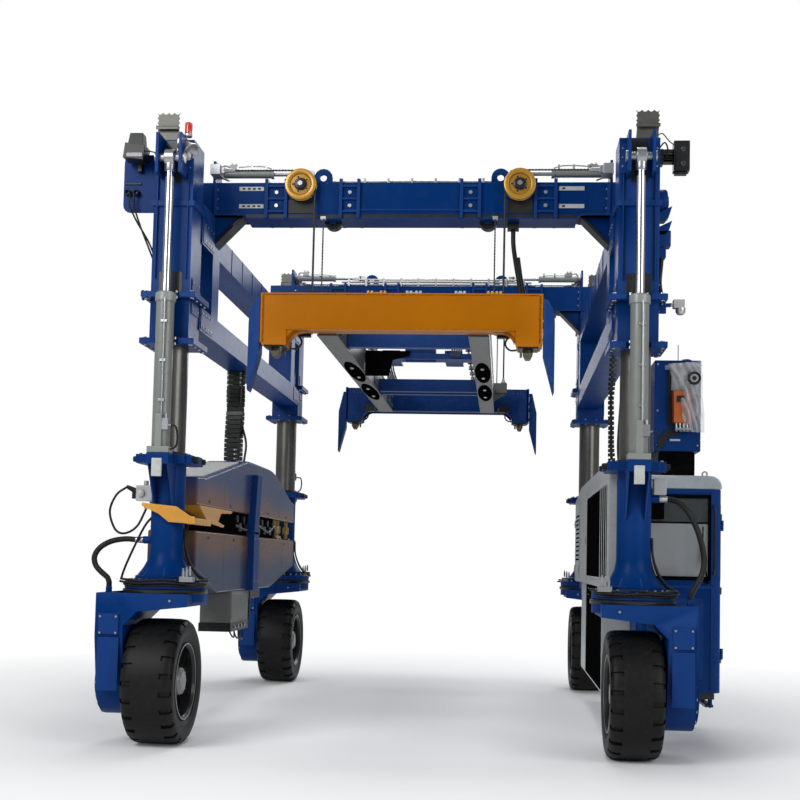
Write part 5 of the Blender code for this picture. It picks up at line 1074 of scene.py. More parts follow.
def rope_cylinder(place, side, end):
    """A grey cylinder with end caps, clevis, thin pipe with clamps and a valve block."""
    y, z = end * beam_y, beam_top + 0.13
    inner, tip = mid_x + side * (inner_half - 0.55), mid_x + side * 0.948
    bm = bmesh.new()
    start, far = (inner, y, z), Vector((side, 0, 0))
    spun(bm, [(0, 0), (0.045, 0), (0.045, 0.03), (0.038, 0.035), (0.038, 0.47), (0.045, 0.475),
              (0.045, 0.51), (0.03, 0.515), (0.03, 0.549), (0, 0.549)], start, far, 40)
    slab(bm, (inner + side * 0.36, inner + side * 0.44), about(y, 0.035), (z + 0.03, z + 0.085))
    set_down(f"{place}_tension_cylinder", bm, barrel_grey, "upper_frame",
             [f"{place}_rope_cylinder"], bevel=0.003)
    bm = bmesh.new()
    post(bm, (tip + side * 0.04, y, z), (inner + side * 0.02, y, z), 0.02, 28)
    slab(bm, (tip, tip + side * 0.07), (y - 0.03, y - 0.018), about(z, 0.03))
    slab(bm, (tip, tip + side * 0.07), (y + 0.018, y + 0.03), about(z, 0.03))
    slab(bm, (tip + side * 0.05, tip + side * 0.085), about(y, 0.03), about(z, 0.03))
    tube(bm, curve_through([(side * 0.02, end * 0.045, 0.04), (side * 0.1, end * 0.048, 0.062),
                            (side * 0.24, end * 0.048, 0.064), (side * 0.37, end * 0.03, 0.06)], 0.04,
                           at=(inner, y, z)), 0.007, 10)
    tube(bm, curve_through([(side * 0.44, 0, 0.07), (side * 0.49, end * 0.02, 0.08),
                            (side * 0.53, end * 0.07, 0.02), (side * 0.5, end * 0.1, -0.06),
                            (side * 0.42, end * 0.11, -0.1)], 0.03, at=(inner, y, z)), 0.009, 10)
    for n in range(3):
        slab(bm, (side * (0.06 + 0.14 * n), side * (0.08 + 0.14 * n)), (-0.04, end * 0.06), (0.03, 0.072),
             at=(inner, y, z))
    post(bm, (0, 0, 0.08), (0, 0, 0.105), 0.012, 6, at=(inner + side * 0.38, y, z))
    post(bm, (0, 0, 0.08), (0, 0, 0.11), 0.01, 6, at=(inner + side * 0.42, y, z))
    set_down(f"{place}_tension_fittings", bm, galvanised, "upper_frame", bevel=0.0015)


def wire(bm, path, radius, pitch, strands=6):
    """Add a laid wire rope: several strands wound round a path."""
    lay = [0.0]
    for first, second in zip(path, path[1:]):
        lay.append(lay[-1] + (second - first).length)
    for strand in range(strands):
        points = []
        side_on = None
        for number, (point, along) in enumerate(zip(path, lay)):
            ahead = (path[min(number + 1, len(path) - 1)] - path[max(number - 1, 0)]).normalized()
            side_on = ahead.orthogonal() if side_on is None else (side_on - ahead * side_on.dot(ahead))
            side_on.normalize()
            turn = math.tau * (strand / strands + along / pitch)
            outward = side_on * math.cos(turn) + ahead.cross(side_on) * math.sin(turn)
            points.append(point + outward * radius * 0.62)
        tube(bm, points, radius * 0.38, 6)


def ropes(place, side, end):
    """The fall from the sheave to the hanger, and the run over the sheave to its anchor."""
    pin = pins[f"{place}_sheave_spin"]
    fall_x, low = pin.x - side * rope_reach, beam_low - rope_drop + 0.0305
    bm = bmesh.new()
    count = 110
    wire(bm, [Vector((fall_x, pin.y, pin.z + (low - pin.z) * n / count)) for n in range(count + 1)],
         0.0108, 0.09)
    piece = let_go(set_down(f"{place}_wire_fall", bm, wire_steel, "upper_frame",
                            [f"{place}_rope"], crease=60))
    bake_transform(piece)
    bm = bmesh.new()
    over = pin.z + rope_reach
    arc = [pin + rope_reach * Vector((-side * math.cos(a), 0, math.sin(a)))
           for a in (math.radians(degrees) for degrees in range(2, 91, 8))]
    arc += [Vector((pin.x + side * 0.03 * n, pin.y, over)) for n in range(1, 23)]
    wire(bm, arc, 0.0105, 0.09)
    set_down(f"{place}_wire_over", bm, wire_steel, "upper_frame", crease=60)
    bm = bmesh.new()
    end_x = pin.x + side * 0.66
    post(bm, (end_x - side * 0.02, pin.y, over), (end_x + side * 0.09, pin.y, over), 0.014, 20, 0.026)
    slab(bm, (end_x + side * 0.08, end_x + side * 0.13), about(pin.y, 0.02), about(over, 0.03))
    slab(bm, (end_x + side * 0.115, mid_x + side * (inner_half + 0.02)),
         (pin.y - 0.05, end * beam_y + end * 0.1), about(over, 0.05))
    set_down(f"{place}_wire_anchor", bm, galvanised, "upper_frame", bevel=0.003)


for end, end_name in ((-1, "front"), (1, "rear")):
    cross_beam(end, end_name)
for place, side, end in corners:
    sheave(place, end)
    rope_cylinder(place, side, end)
    ropes(place, side, end)

# The spreader: an orange front beam with a stepped face and lips, a blue rear beam, guide
# blades, twistlocks, and grey rails with black oval cups, pipes, cables and hangers.
spreader_top = beam_low - rope_drop
half_length = 3.03
beam_orange = metal_or_paint("beam_orange", (0.37, 0.118, 0.0), 0.32, gloss=0.05, sheen=0.08, drift=0.14,
                             drift_scale=1.4, dust=(0.26, 0.09, 0.004), dust_share=0.35, grain=0.04,
                             worn=0.4, sheet_wave=0.1)
rail_grey = metal_or_paint("rail_grey", (0.1, 0.102, 0.097), 0.4, metal=0.1, sheen=0.3, drift=0.16,
                           dust=(0.07, 0.066, 0.06), dust_share=0.4, worn=0.3)
# Black with no reflection at all; besides black parts, it is the painted shade in the engine gap, the
# cabinet grille and before the loft's foot.
deep_black = metal_or_paint("deep_black", (0.003, 0.003, 0.0035), 0.5, sheen=0.0, drift=0.3,
                            dust=(0.015, 0.014, 0.013), dust_share=0.4)
lock_steel = metal_or_paint("lock_steel", (0.09, 0.075, 0.045), 0.4, metal=0.6, drift=0.3,
                            dust=(0.02, 0.018, 0.012), dust_share=0.6, worn=0.4)
blade_blue = metal_or_paint("blade_blue", (0.0, 0.026, 0.13), 0.34, gloss=0.012, sheen=0.06, drift=0.25,
                            dust=(0.06, 0.08, 0.13), dust_share=0.35, worn=0.7)


def half_turn(outline, side):
    """An outline's across values taken to one side of the machine's middle."""
    return [(mid_x + side * a, b) for a, b in outline]


def curve_of(centre, radii, start, end, steps=10):
    """Points of part of an ellipse, by angles in degrees."""
    turns = [math.radians(start + (end - start) * n / steps) for n in range(steps + 1)]
    return [(centre[0] + radii[0] * math.cos(a), centre[1] + radii[1] * math.sin(a)) for a in turns]


def head_beam(end, end_name, look):
    """One end beam: a box with a stepped face plate, webs, lips, blades and twistlocks."""
    top, low, drop = spreader_top, spreader_top - 0.3, spreader_top - 0.45
    outer, inner = end * half_length, end * (half_length - 0.26)
    bm = bmesh.new()
    half = [(1.242, top), (1.242, drop), (1.032, drop), *curve_of((0.892, drop), (0.14, 0.15), 0, 90)[1:]]
    outline = half_turn(half, 1) + list(reversed(half_turn(half, -1)))
    extruded(bm, outline, "y", inner, outer - end * 0.013)
    grid = [[bm.verts.new((mid_x + x, outer, z)) for x in (-1.242, -1.02, 1.02, 1.242)]
            for z in (top, low - 0.01, drop)]
    plate = [bm.faces.new((grid[row][n], grid[row][n + 1], grid[row + 1][n + 1], grid[row + 1][n]))
             for row, n in ((0, 0), (0, 1), (0, 2), (1, 0), (1, 2))]
    grown = bmesh.ops.extrude_face_region(bm, geom=plate)["geom"]
    back = [item for item in grown if isinstance(item, bmesh.types.BMVert)]
    bmesh.ops.translate(bm, vec=(0, -end * 0.018, 0), verts=back)
    for side in (-1, 1):
        web = [(1.02, low - 0.012), *curve_of((0.84, drop), (0.17, 0.14), 0, 90)[1:], (0.83, low - 0.012)]
        extruded(bm, half_turn(web, side), "y", outer - end * 0.084, outer - end * 0.066)
        slab(bm, (mid_x + side * 1.222, mid_x + side * 1.256), (inner, outer), (drop + 0.02, top + 0.019))
    slab(bm, about(mid_x, 1.222), (inner, outer), (top - 0.004, top + 0.01))
    slab(bm, about(mid_x, 1.235), (outer - end * 0.014, outer), (top - 0.002, top + 0.0195))
    slab(bm, about(mid_x, 1.02), (outer - end * 0.05, outer), (low - 0.012, low + 0.002))
    set_down(f"spreader_{end_name}_box", bm, look, "spreader", [f"spreader_{end_name}_beam"],
             bevel=0.006, segments=3)
    bm = bmesh.new()
    for side in (-1, 1):
        shoulder = curve_of((1.262, top - 0.26), (0.1, 0.235), 0, 90,
                            10) if end < 0 else [(1.362, top - 0.3), (1.3, top - 0.03), (1.262, top - 0.03)]
        blade = [(1.262, top - 0.52), (1.345, top - 0.835), (1.356, top - 0.866),
                 (1.362, top - 0.85), *shoulder]
        extruded(bm, half_turn(blade, side), "y", outer, outer - end * 0.16)
        for rise in (-0.16, -0.25):
            slab(bm, (side * 1.24, side * 1.27), (-end * 0.01, -end * 0.15), (-0.02, 0.02),
                 at=(mid_x, outer, top + rise))
    set_down(f"spreader_{end_name}_blades", bm, blade_blue, "spreader", bevel=0.005)
    steel, black = bmesh.new(), bmesh.new()
    for side in (-1, 1):
        x, y = mid_x + side * 1.13, end * (half_length - 0.13)
        post(steel, (x, y, drop + 0.002), (x, y, drop - 0.045), 0.045, 32)
        head = slab(steel, about(x, 0.045), about(y, 0.075), (drop - 0.098, drop - 0.045))
        tip = [vert for vert in head if vert.co.z < drop - 0.09]
        bmesh.ops.scale(steel, vec=(0.45, 0.7, 1), verts=tip, space=Matrix.Translation((-x, -y, 0)))
        slab(black, about(x, 0.09), about(y, 0.115), (drop - 0.012, drop + 0.002))
        for ahead in (-0.1, 0.1):
            post(steel, (0, 0, 0), (0, 0, -0.06), 0.011, 16, at=(x - side * 0.06, y + ahead, drop))
        bolts(steel, [(mid_x + side * 1.256, outer - end * ahead, top - rise)
                      for ahead in (0.05, 0.2) for rise in (0.05, 0.38)], (1, 0, 0), 0.011, 0.006)
        bolts(steel, [(mid_x + side * (1.14 - 0.05 * n), inner - end * 0.001, top - 0.05)
                      for n in range(3)], (0, 1, 0), 0.009, 0.006)
        tube(black, curve_through([(-side * 0.12, -end * 0.03, low + 0.05),
                                   (-side * 0.2, -end * 0.05, low - 0.06),
                                   (-side * 0.16, -end * 0.04, low - 0.13),
                                   (-side * 0.07, -end * 0.02, drop + 0.02)], 0.02,
                                  at=(x, inner, 0)), 0.009, 10)
        slab(black, (-side * 0.28, -side * 0.16), (-end * 0.03, -end * 0.1), (-0.02, 0.07),
             at=(x, inner, low))
        post(steel, (-side * 0.3, 0, 0), (-side * 0.16, 0, 0), 0.016, 20,
             at=(x, inner - end * 0.06, low + 0.02))
    set_down(f"spreader_{end_name}_locks", steel, lock_steel, "spreader", bevel=0.003)
    if end < 0:
        gold, pale = bmesh.new(), bmesh.new()
        for tray, near, far in ((gold, -0.325, -0.133), (pale, 0.027, 0.187), (pale, 0.464, 0.581),
                                (gold, 0.752, 0.901)):
            slab(tray, (near, far), (0.07, 0.17), (0.008, 0.035), at=(mid_x, outer, top))
            for x in (near + 0.02, near + 0.055, far - 0.055, far - 0.02):
                post(tray, (0, 0, 0.03), (0, 0, 0.062), 0.013, 14, at=(mid_x + x, outer + 0.1, top))
            slab(tray, (mid_x + near + 0.01, mid_x + far - 0.01), (0.13, 0.16), (0.03, 0.058),
                 at=(0, outer, top))
        set_down("spreader_gold_valves", gold, sheave_gold, "spreader", bevel=0.003)
        set_down("spreader_pale_blocks", pale, label_grey, "spreader", bevel=0.003)
    set_down(f"spreader_{end_name}_lock_hoses", black, black_plastic, "spreader",
             bevel=0.002)


def rails():
    """Two rails with oval cups under them, splice plates, hangers, the mid beam and pipes."""
    top, low = spreader_top - 0.04, spreader_top - 0.32
    reach = half_length - 0.2603
    bm, black, steel, blue = (bmesh.new() for _ in range(4))
    cups = (-0.68, 0.84)
    for side in (-1, 1):
        x = mid_x + side * 0.69
        slab(bm, about(x, 0.085), (-reach, reach), (low, top))
        for flange in (low + 0.01, top - 0.01):
            slab(bm, about(x, 0.095), (-reach, reach), about(flange, 0.008))
        for y in cups:
            oval = [(x + a, b) for a, b in curve_of((0, y), (0.084, 0.68), 0, 354, 59)]
            extruded(black, oval, "z", low - 0.004, low + 0.02)
            for share, radii, height in ((0.0, (0.078, 0.64), 0.012), (-0.3, (0.05, 0.24), 0.02),
                                         (0.32, (0.04, 0.16), 0.018)):
                ring = spun(black, [(0.93, 0.0), (0.97, -0.5), (1.0, 0.0), (0.97, 0.3)], (0, 0, 0),
                            (0, 0, 1), 56)
                spot = Matrix.Translation((x, y + share, low - 0.004))
                bmesh.ops.transform(black, matrix=spot @ Matrix.Diagonal((*radii, height, 1)), verts=ring)
            for share in (-0.3, 0.32):
                ball = bmesh.ops.create_uvsphere(steel, u_segments=20, v_segments=10, radius=0.022)["verts"]
                bmesh.ops.transform(steel, matrix=Matrix.Translation((x, y + share, low - 0.004))
                                    @ Matrix.Diagonal((1, 2.2, 0.5, 1)), verts=ball)
        for y in (-2.5, -1.9, -0.2, 0.5, 2.1, 2.6):
            slab(blue, (x - side * 0.085, x - side * 0.093), about(y, 0.1), (low + 0.04, top - 0.04))
            bolts(steel, [(x - side * 0.093, y + dy, low + dz) for dy in (-0.07, 0.07)
                          for dz in (0.08, 0.2)], (1, 0, 0), 0.01, 0.008)
        for end in (-1, 1):
            rope_y = pins["left_rear_sheave_spin"].y * end
            hang = mid_x + side * (sheave_x - rope_reach)
            slab(bm, (x, hang + side * 0.05), about(rope_y, 0.05), (top - 0.06, spreader_top + 0.0295))
            post(steel, (0, 0, 0.03), (0, 0, 0.1), 0.024, 24, 0.014, at=(hang, rope_y, spreader_top))
            slab(steel, about(hang, 0.035), about(rope_y, 0.035),
                 (spreader_top + 0.0297, spreader_top + 0.045))
            web = [(x + side * 0.08, top - 0.06), (hang + side * 0.04, top - 0.06),
                   (x + side * 0.08, low + 0.1)]
            extruded(bm, web, "y", rope_y - 0.008, rope_y + 0.008)
    slab(blue, about(mid_x, 0.69), (-0.52, -0.28), (top - 0.1, top - 0.04))
    set_down("spreader_rails", bm, rail_grey, "spreader", ["spreader_frame"], bevel=0.005)
    set_down("spreader_cups", black, deep_black, "spreader", bevel=0.004)
    set_down("spreader_fittings", steel, bright_steel, "spreader", bevel=0.0015, segments=1)
    bracket = [(mid_x - 0.6, top - 0.02), (mid_x - 0.1, top - 0.02), (mid_x - 0.12, top - 0.07),
               (mid_x - 0.3, top - 0.12), (mid_x - 0.34, low - 0.015), (mid_x - 0.6, low - 0.015)]
    hook = bmesh.new()
    extruded(hook, bracket, "y", -0.56, -0.525)
    set_down("spreader_bracket", hook, deep_black, "spreader", bevel=0.006)
    for y in (-2.0, 1.0, 1.25):
        slab(blue, about(mid_x, 0.6), about(y, 0.05), (low + 0.03, low + 0.18))
    for side in (-1, 1):
        slab(blue, (mid_x + side * 0.25, mid_x + side * 0.45), (-0.2, 0.25), (top - 0.06, top + 0.05))
    post(blue, (mid_x - 0.17, -0.4, top - 0.03), (mid_x + 0.17, -0.4, top - 0.03), 0.09, 32)
    set_down("spreader_blue_ties", blue, blade_blue, "spreader", bevel=0.004)
    bm, hoses = bmesh.new(), bmesh.new()
    for n, (x, z) in enumerate(((-0.55, 0.02), (-0.51, 0.045), (0.52, 0.02), (0.56, 0.045))):
        tube(bm, curve_through([(mid_x + x, y, top + z) for y in (-2.7, -1.8, -0.9, 0.0, 0.9, 1.8, 2.7)],
                               0.2), 0.012, 12)
    for n in range(-6, 7):
        for x in (-0.53, 0.54):
            slab(bm, about(mid_x + x, 0.05), about(0.42 * n, 0.012), (top, top + 0.05))
            slab(bm, (mid_x + x - 0.05, mid_x + math.copysign(0.62, x)), about(0.42 * n, 0.012),
                 (top, top + 0.01))
    set_down("spreader_pipes", bm, galvanised, "spreader", bevel=0.002)
    for n in range(5):
        x = 0.52 - 0.024 * n
        tube(hoses, curve_through([(0, -2.72, top - 0.02), (0.05, -2.5, top + 0.03 + 0.006 * n),
                                   (0, -1.8, top - 0.03 - 0.01 * n), (-0.03, -1.1, top - 0.05),
                                   (-0.1, -0.56, top - 0.07)], 0.04, at=(mid_x + x, 0, 0)), 0.009, 10)
        tube(hoses, curve_through([(0, 2.72, top - 0.02), (-0.05, 2.5, top + 0.03 + 0.006 * n),
                                   (0, 1.6, top - 0.03 - 0.01 * n), (0.03, 0.6, top - 0.05),
                                   (0.1, -0.24, top - 0.07)], 0.04, at=(mid_x - x, 0, 0)), 0.009, 10)
    set_down("spreader_hoses", hoses, hose_rubber, "spreader", crease=60)


def second_falls():
    """A thin second fall of each rope, from the lower pulley to the spreader's hanger."""
    for place, side, end in corners:
        x, y = mid_x + side * 0.815, end * abs(pins["left_rear_sheave_spin"].y)
        bm = bmesh.new()
        ends = [Vector((x, y, beam_low - 0.04)), Vector((x, y, spreader_top + 0.031))]
        wire(bm, [ends[0].lerp(ends[1], n / 30) for n in range(31)], 0.008, 0.12, 4)
        piece = let_go(set_down(f"{place}_second_fall", bm, wire_steel, "upper_frame",
                                crease=60))
        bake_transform(piece)
        bm = bmesh.new()
        slab(bm, about(x, 0.025), about(y, 0.02), (beam_low - 0.06, beam_low - 0.03))
        slab(bm, about(x, 0.02), (y, end * (beam_y + 0.14)), (beam_low - 0.034, beam_low - 0.024))
        set_down(f"{place}_fall_anchor", bm, galvanised, "upper_frame", bevel=0.003)


def cable_tail():
    """Two black cables that hang from a box under the front beam towards the spreader."""
    bm = bmesh.new()
    y = -beam_y
    slab(bm, (0.93, 1.04), (-0.05, 0.05), (-0.1, -0.03), at=(mid_x, y, beam_low))
    run = [(mid_x + 0.985, y, beam_low - 0.08), (mid_x + 0.99, y - 0.005, beam_low - 0.25),
           (mid_x + 1.02, y - 0.01, beam_low - 0.45), (mid_x + 1.05, y - 0.01, beam_low - 0.62),
           (mid_x + 1.07, y - 0.01, beam_low - 0.8)]
    tube(bm, curve_through(run, 0.03), 0.022, 14)
    run = [(x + 0.045, y - 0.01, z - 0.12 if n else z) for n, (x, _, z) in enumerate(run)]
    tube(bm, curve_through(run[1:], 0.03), 0.02, 14)
    piece = let_go(set_down("hanging_cable", bm, hose_rubber, "upper_frame", crease=60))
    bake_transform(piece)


head_beam(-1, "front", beam_orange)
head_beam(1, "rear", blade_blue)
rails()
second_falls()
cable_tail()

# The engine side: a polished hood over an orange tray and a tank, with folded edges, a blue
# strap and latch, a louvred lid, hoses in the gap, a service box and a cable chain.
body_y = leg_y - 0.285
tie_y = (body_y - 0.02, leg_y - 0.2003)
tank_low, tank_top = 1.31, 1.91
hood_low = 2.15
inner_x, outer_x = mid_x - inner_half, mid_x - inner_half - 0.46


def painted_reflection_paint(name, upper, lower, turn_z, spread):
    """A polished blue panel with a painted reflection: a warm brown blended in about one height."""
    look = metal_or_paint(name, upper, 0.24, gloss=0.12, sheen=0.08, drift=0.08, drift_scale=0.8,
                          dust_share=0.06, dust=(0.2, 0.18, 0.16), sheet_wave=0.1)
    tree = look.node_tree
    place = node_of(tree, "ShaderNodeTexCoord")
    split = node_of(tree, "ShaderNodeSeparateXYZ")
    tree.links.new(place.outputs["Object"], split.inputs[0])
    cloud = node_of(tree, "ShaderNodeTexNoise", Scale=1.1, Detail=1.0)
    tree.links.new(place.outputs["Object"], cloud.inputs["Vector"])
    sway = node_of(tree, "ShaderNodeMath", operation="MULTIPLY_ADD")
    sway.inputs[1].default_value = 0.35
    tree.links.new(cloud.outputs["Fac"], sway.inputs[0])
    tree.links.new(split.outputs["Z"], sway.inputs[2])
    part = node_of(tree, "ShaderNodeMapRange", From_Min=turn_z + 0.17 - spread,
                   From_Max=turn_z + 0.17 + spread, interpolation_type="SMOOTHSTEP")
    tree.links.new(sway.outputs[0], part.inputs["Value"])
    # Painted reflection: the two tones blend across a wavy line near turn_z.
    mixed = node_of(tree, "ShaderNodeMix", data_type="RGBA")
    tree.links.new(part.outputs["Result"], mixed.inputs[0])
    mixed.inputs[6].default_value = (*lower, 1)
    mixed.inputs[7].default_value = (*upper, 1)
    tone = tree.nodes["Hue/Saturation/Value"]
    tree.links.new(mixed.outputs[2], tone.inputs["Color"])
    return look


# Hood: blue above a brown painted reflection. Tank: a brown painted reflection above blue.
hood_paint_painted_reflection = painted_reflection_paint("hood_paint_painted_reflection", (0.036, 0.06, 0.16), (0.19, 0.095, 0.06), 2.28, 0.16)
tank_paint_painted_reflection = painted_reflection_paint("tank_paint_painted_reflection", (0.15, 0.078, 0.05), (0.028, 0.044, 0.1), 1.68, 0.16)
tray_orange = metal_or_paint("tray_orange", (0.62, 0.28, 0.03), 0.3, gloss=0.3, drift=0.2, drift_scale=3.0,
                             dust=(0.25, 0.18, 0.1), dust_share=0.4, worn=0.3)
brass_gold = metal_or_paint("brass_gold", (0.45, 0.3, 0.08), 0.35, metal=0.8, drift=0.2)


def hood_and_tank():
    """The two closed bodies as folded sheet boxes, their seams and their lid louvres."""
    top = [(-body_y, 2.41), (-2.25, 2.425), (-0.62, 2.7), (-0.42, 2.733), (-0.25, 2.74), (0.8, 2.74),
           (1.05, 2.73), (1.3, 2.69), (2.2, 2.47), (2.4, 2.425), (body_y, 2.41)]
    bm = bmesh.new()
    extruded(bm, top + [(body_y, hood_low), (-body_y, hood_low)], "x", outer_x + 0.001, inner_x - 0.001)
    set_down("hood_shell", bm, hood_paint_painted_reflection, "left_side", ["left_engine_hood"], bevel=0.022,
             segments=4, crease=20)
    bm = bmesh.new()
    floor_line = [(0.91 - body_y, tank_low), (body_y - 1.6, tank_low), (body_y, tank_low + 0.25),
                  (body_y, tank_top), (-body_y, tank_top), (-body_y, tank_low + 0.25)]
    extruded(bm, floor_line, "x", outer_x + 0.001, inner_x - 0.001)
    set_down("tank_shell", bm, tank_paint_painted_reflection, "left_side", ["left_tank"], bevel=0.02,
             segments=4, crease=12)
    bm = bmesh.new()
    for y in (-1.45, 0.35, 1.75):
        slab(bm, (inner_x - 0.004, inner_x - 0.0002), about(y, 0.003), (tank_low + 0.03, tank_top - 0.02))
    for y in (-1.5, 1.45):
        slab(bm, (inner_x - 0.004, inner_x - 0.0002), about(y, 0.003), (hood_low + 0.02, 2.4))
    for y, z in ((-2.1, 2.2), (-1.2, 2.2), (-2.1, 1.85), (-1.0, 1.85), (0.8, 2.2), (2.0, 2.2), (1.9, 1.85)):
        slab(bm, (inner_x - 0.003, inner_x + 0.004), about(y, 0.03), about(z, 0.012))
    set_down("body_seams", bm, black_steel, "left_side", bevel=0.001, segments=1)
    bm = bmesh.new()
    slope = Matrix.Translation((0, -2.25, 2.425)) @ Matrix.Rotation(math.atan2(0.275, 1.63), 4, "X")
    for n in range(24):
        slat = slab(bm, (outer_x + 0.05, inner_x - 0.05), (0.06 + 0.065 * n, 0.1 + 0.065 * n), (0.0, 0.012))
        bmesh.ops.transform(bm, matrix=slope, verts=slat)
    for y in (-0.2, 0.15, 0.5):
        slab(bm, (outer_x + 0.06, inner_x - 0.06), (y, y + 0.28), (2.7395, 2.752))
    set_down("hood_lid_louvres", bm, label_grey, "left_side", bevel=0.003)


def tray_and_strap():
    """The orange tray and apron, a black filler of painted shade in the gap behind, footings, strap, latch
    and hoses.
    """
    bm = bmesh.new()
    # Painted shade: black boxes fill the gap between tank and hood, where it lies in shadow.
    slab(bm, (outer_x + 0.01, inner_x - 0.02), (-1.9, 1.2), (tank_top + 0.001, hood_low - 0.001))
    slab(bm, (outer_x + 0.01, inner_x - 0.1), (-2.4, -1.9), (tank_top + 0.001, hood_low - 0.1))
    set_down("tray_gap_painted_shade", bm, deep_black, "left_side", bevel=0.004)
    bm = bmesh.new()
    lip = [(-2.48, hood_low - 0.001), (-1.1, hood_low - 0.001), (-1.15, hood_low - 0.03),
           (-1.6, hood_low - 0.045), (-1.72, hood_low - 0.13), (-1.45, hood_low - 0.16),
           (-1.5, hood_low - 0.185), (-2.1, hood_low - 0.15), (-2.35, hood_low - 0.06)]
    extruded(bm, lip, "x", outer_x + 0.002, inner_x - 0.002)
    leg = pins["left_front_steer"]
    apron = [(-0.186, 2.14), (0.13, 2.11), (0.25, 2.03), (0.3, 2.02), (0.3, 1.955), (0.06, 1.97),
             (-0.03, 2.04), (-0.186, 2.11)]
    extruded(bm, [(leg.x + x, z) for x, z in apron], "y", leg.y - 0.2, leg.y - 0.185)
    slab(bm, (leg.x - 0.17, leg.x + 0.13), (leg.y - 0.19, leg.y - 0.13), (2.085, 2.1))
    slab(bm, (leg.x + 0.22, leg.x + 0.3), (leg.y - 0.19, -2.47), (1.955, 2.01))
    set_down("orange_tray", bm, tray_orange, "left_side", ["left_tray"],
             bevel=0.006, segments=3)
    bm = bmesh.new()
    for y in (1.55, 1.75, 2.35):
        for x in (inner_x - 0.07, outer_x + 0.07):
            post(bm, (x, y, tank_top), (x, y, hood_low), 0.022, 20)
            post(bm, (x, y, tank_top + 0.08), (x, y, hood_low - 0.07), 0.04, 24)
            slab(bm, about(x, 0.05), about(y, 0.05), (tank_top + 0.001, tank_top + 0.02))
    slab(bm, (-0.2, -0.04), (1.5, 1.85), (0.02, 0.045), at=(inner_x, 0, tank_top))
    set_down("tray_mounts", bm, brass_gold, "left_side", bevel=0.004)
    blue, steel, black = bmesh.new(), bmesh.new(), bmesh.new()
    near, far, top = -0.32, -0.04, 2.6
    slab(blue, (inner_x - 0.03, inner_x + 0.07), (near, far), (tank_low - 0.002, tank_top + 0.05))
    lean = slab(blue, (inner_x - 0.02, inner_x + 0.07), (near, far - 0.04), (tank_top + 0.02, top))
    high = [vert for vert in lean if vert.co.z > top - 0.05]
    bmesh.ops.translate(blue, vec=(0, 0.12, 0), verts=high)
    bolts(steel, [(inner_x + 0.07, y, tank_top - dz) for y in (near + 0.05, far - 0.05)
                  for dz in (0.03, 0.5)], (1, 0, 0), 0.009, 0.006)
    slab(blue, (inner_x, inner_x + 0.018), (0.05, 0.13), (2.32, 2.5))
    slab(blue, (inner_x, inner_x + 0.019), (0.0, 0.18), (2.49, 2.53))
    post(blue, (inner_x + 0.01, 0.09, 2.36), (inner_x + 0.01, 0.15, 2.2), 0.009, 12)
    for end in (-1, 1):
        slab(blue, about(mid_x - leg_half, 0.075), [end * y for y in tie_y], tie_z)
    set_down("body_straps", blue, blue_gloss, "left_side", bevel=0.004)
    set_down("strap_bolts", steel, bright_steel, "left_side", bevel=0.001, segments=1)
    for n in range(7):
        y = -0.85 + 0.33 * n
        post(black, (-0.02, 0, 0), (-0.002, 0, 0), 0.04, 20, at=(inner_x, y, hood_low - 0.07))
        slab(black, (-0.03, -0.001), (0.08, 0.2), (0.04, 0.13), at=(inner_x, y, tank_top))
    tube(black, curve_through([(-0.02, -0.9, 0.1), (0.005, -0.4, 0.06), (0.01, 0.2, 0.12), (0, 0.8, 0.07),
                               (-0.02, 1.25, 0.15)], 0.04, at=(inner_x, 0, tank_top)), 0.014, 10)
    for n in range(4):
        tube(black, curve_through([(inner_x - 0.08 - 0.05 * n, -body_y + 0.02, tank_top + 0.1),
                                   (inner_x - 0.07 - 0.05 * n, -body_y - 0.06, tank_top + 0.02 - 0.03 * n),
                                   (inner_x - 0.1 - 0.04 * n, -body_y - 0.09, tank_low + 0.4),
                                   (inner_x - 0.13 - 0.02 * n, -body_y - 0.06, tank_low + 0.16),
                                   (inner_x - 0.15, -body_y + 0.02, tank_low + 0.27)], 0.03), 0.013, 10)
    set_down("engine_hoses", black, hose_rubber, "left_side", bevel=0.002)


def valve_and_loops():
    """The pale valve on the left front leg, its black spout, and two thin hoses beside it."""
    leg = pins["left_front_steer"]
    pale, black = bmesh.new(), bmesh.new()
    slab(pale, (leg.x - 0.288, leg.x - 0.12), about(leg.y, 0.05), (2.16, 2.3))
    spun(pale, [(0, 0), (0.035, 0), (0.035, 0.02), (0.02, 0.03), (0, 0.03)],
         (leg.x - 0.24, leg.y - 0.05, 2.23), (0, -1, 0), 28)
    post(pale, (leg.x - 0.21, leg.y, 2.3), (leg.x - 0.21, leg.y, 2.345), 0.022, 20)
    post(black, (leg.x - 0.28, leg.y, 2.24), (leg.x - 0.39, leg.y, 2.29), 0.03, 20, 0.016)
    slab(black, (leg.x - 0.33, leg.x - 0.28), about(leg.y, 0.03), (2.18, 2.24))
    loop = [(-0.38, 2.28), (-0.47, 2.21), (-0.525, 2.06), (-0.47, 1.9), (-0.381, 1.865), (-0.27, 1.93),
            (-0.19, 2.09)]
    down = [(-0.13, 2.02), (-0.2, 1.93), (-0.3, 1.72), (-0.37, 1.55), (-0.4, 1.45)]
    for run in (loop, down):
        tube(black, curve_through([(leg.x + x, leg.y - 0.04, z) for x, z in run], 0.025), 0.0105, 12)
    set_down("left_valve", pale, label_grey, "left_side", bevel=0.003)
    set_down("left_thin_hoses", black, hose_rubber, "left_side", bevel=0.002)


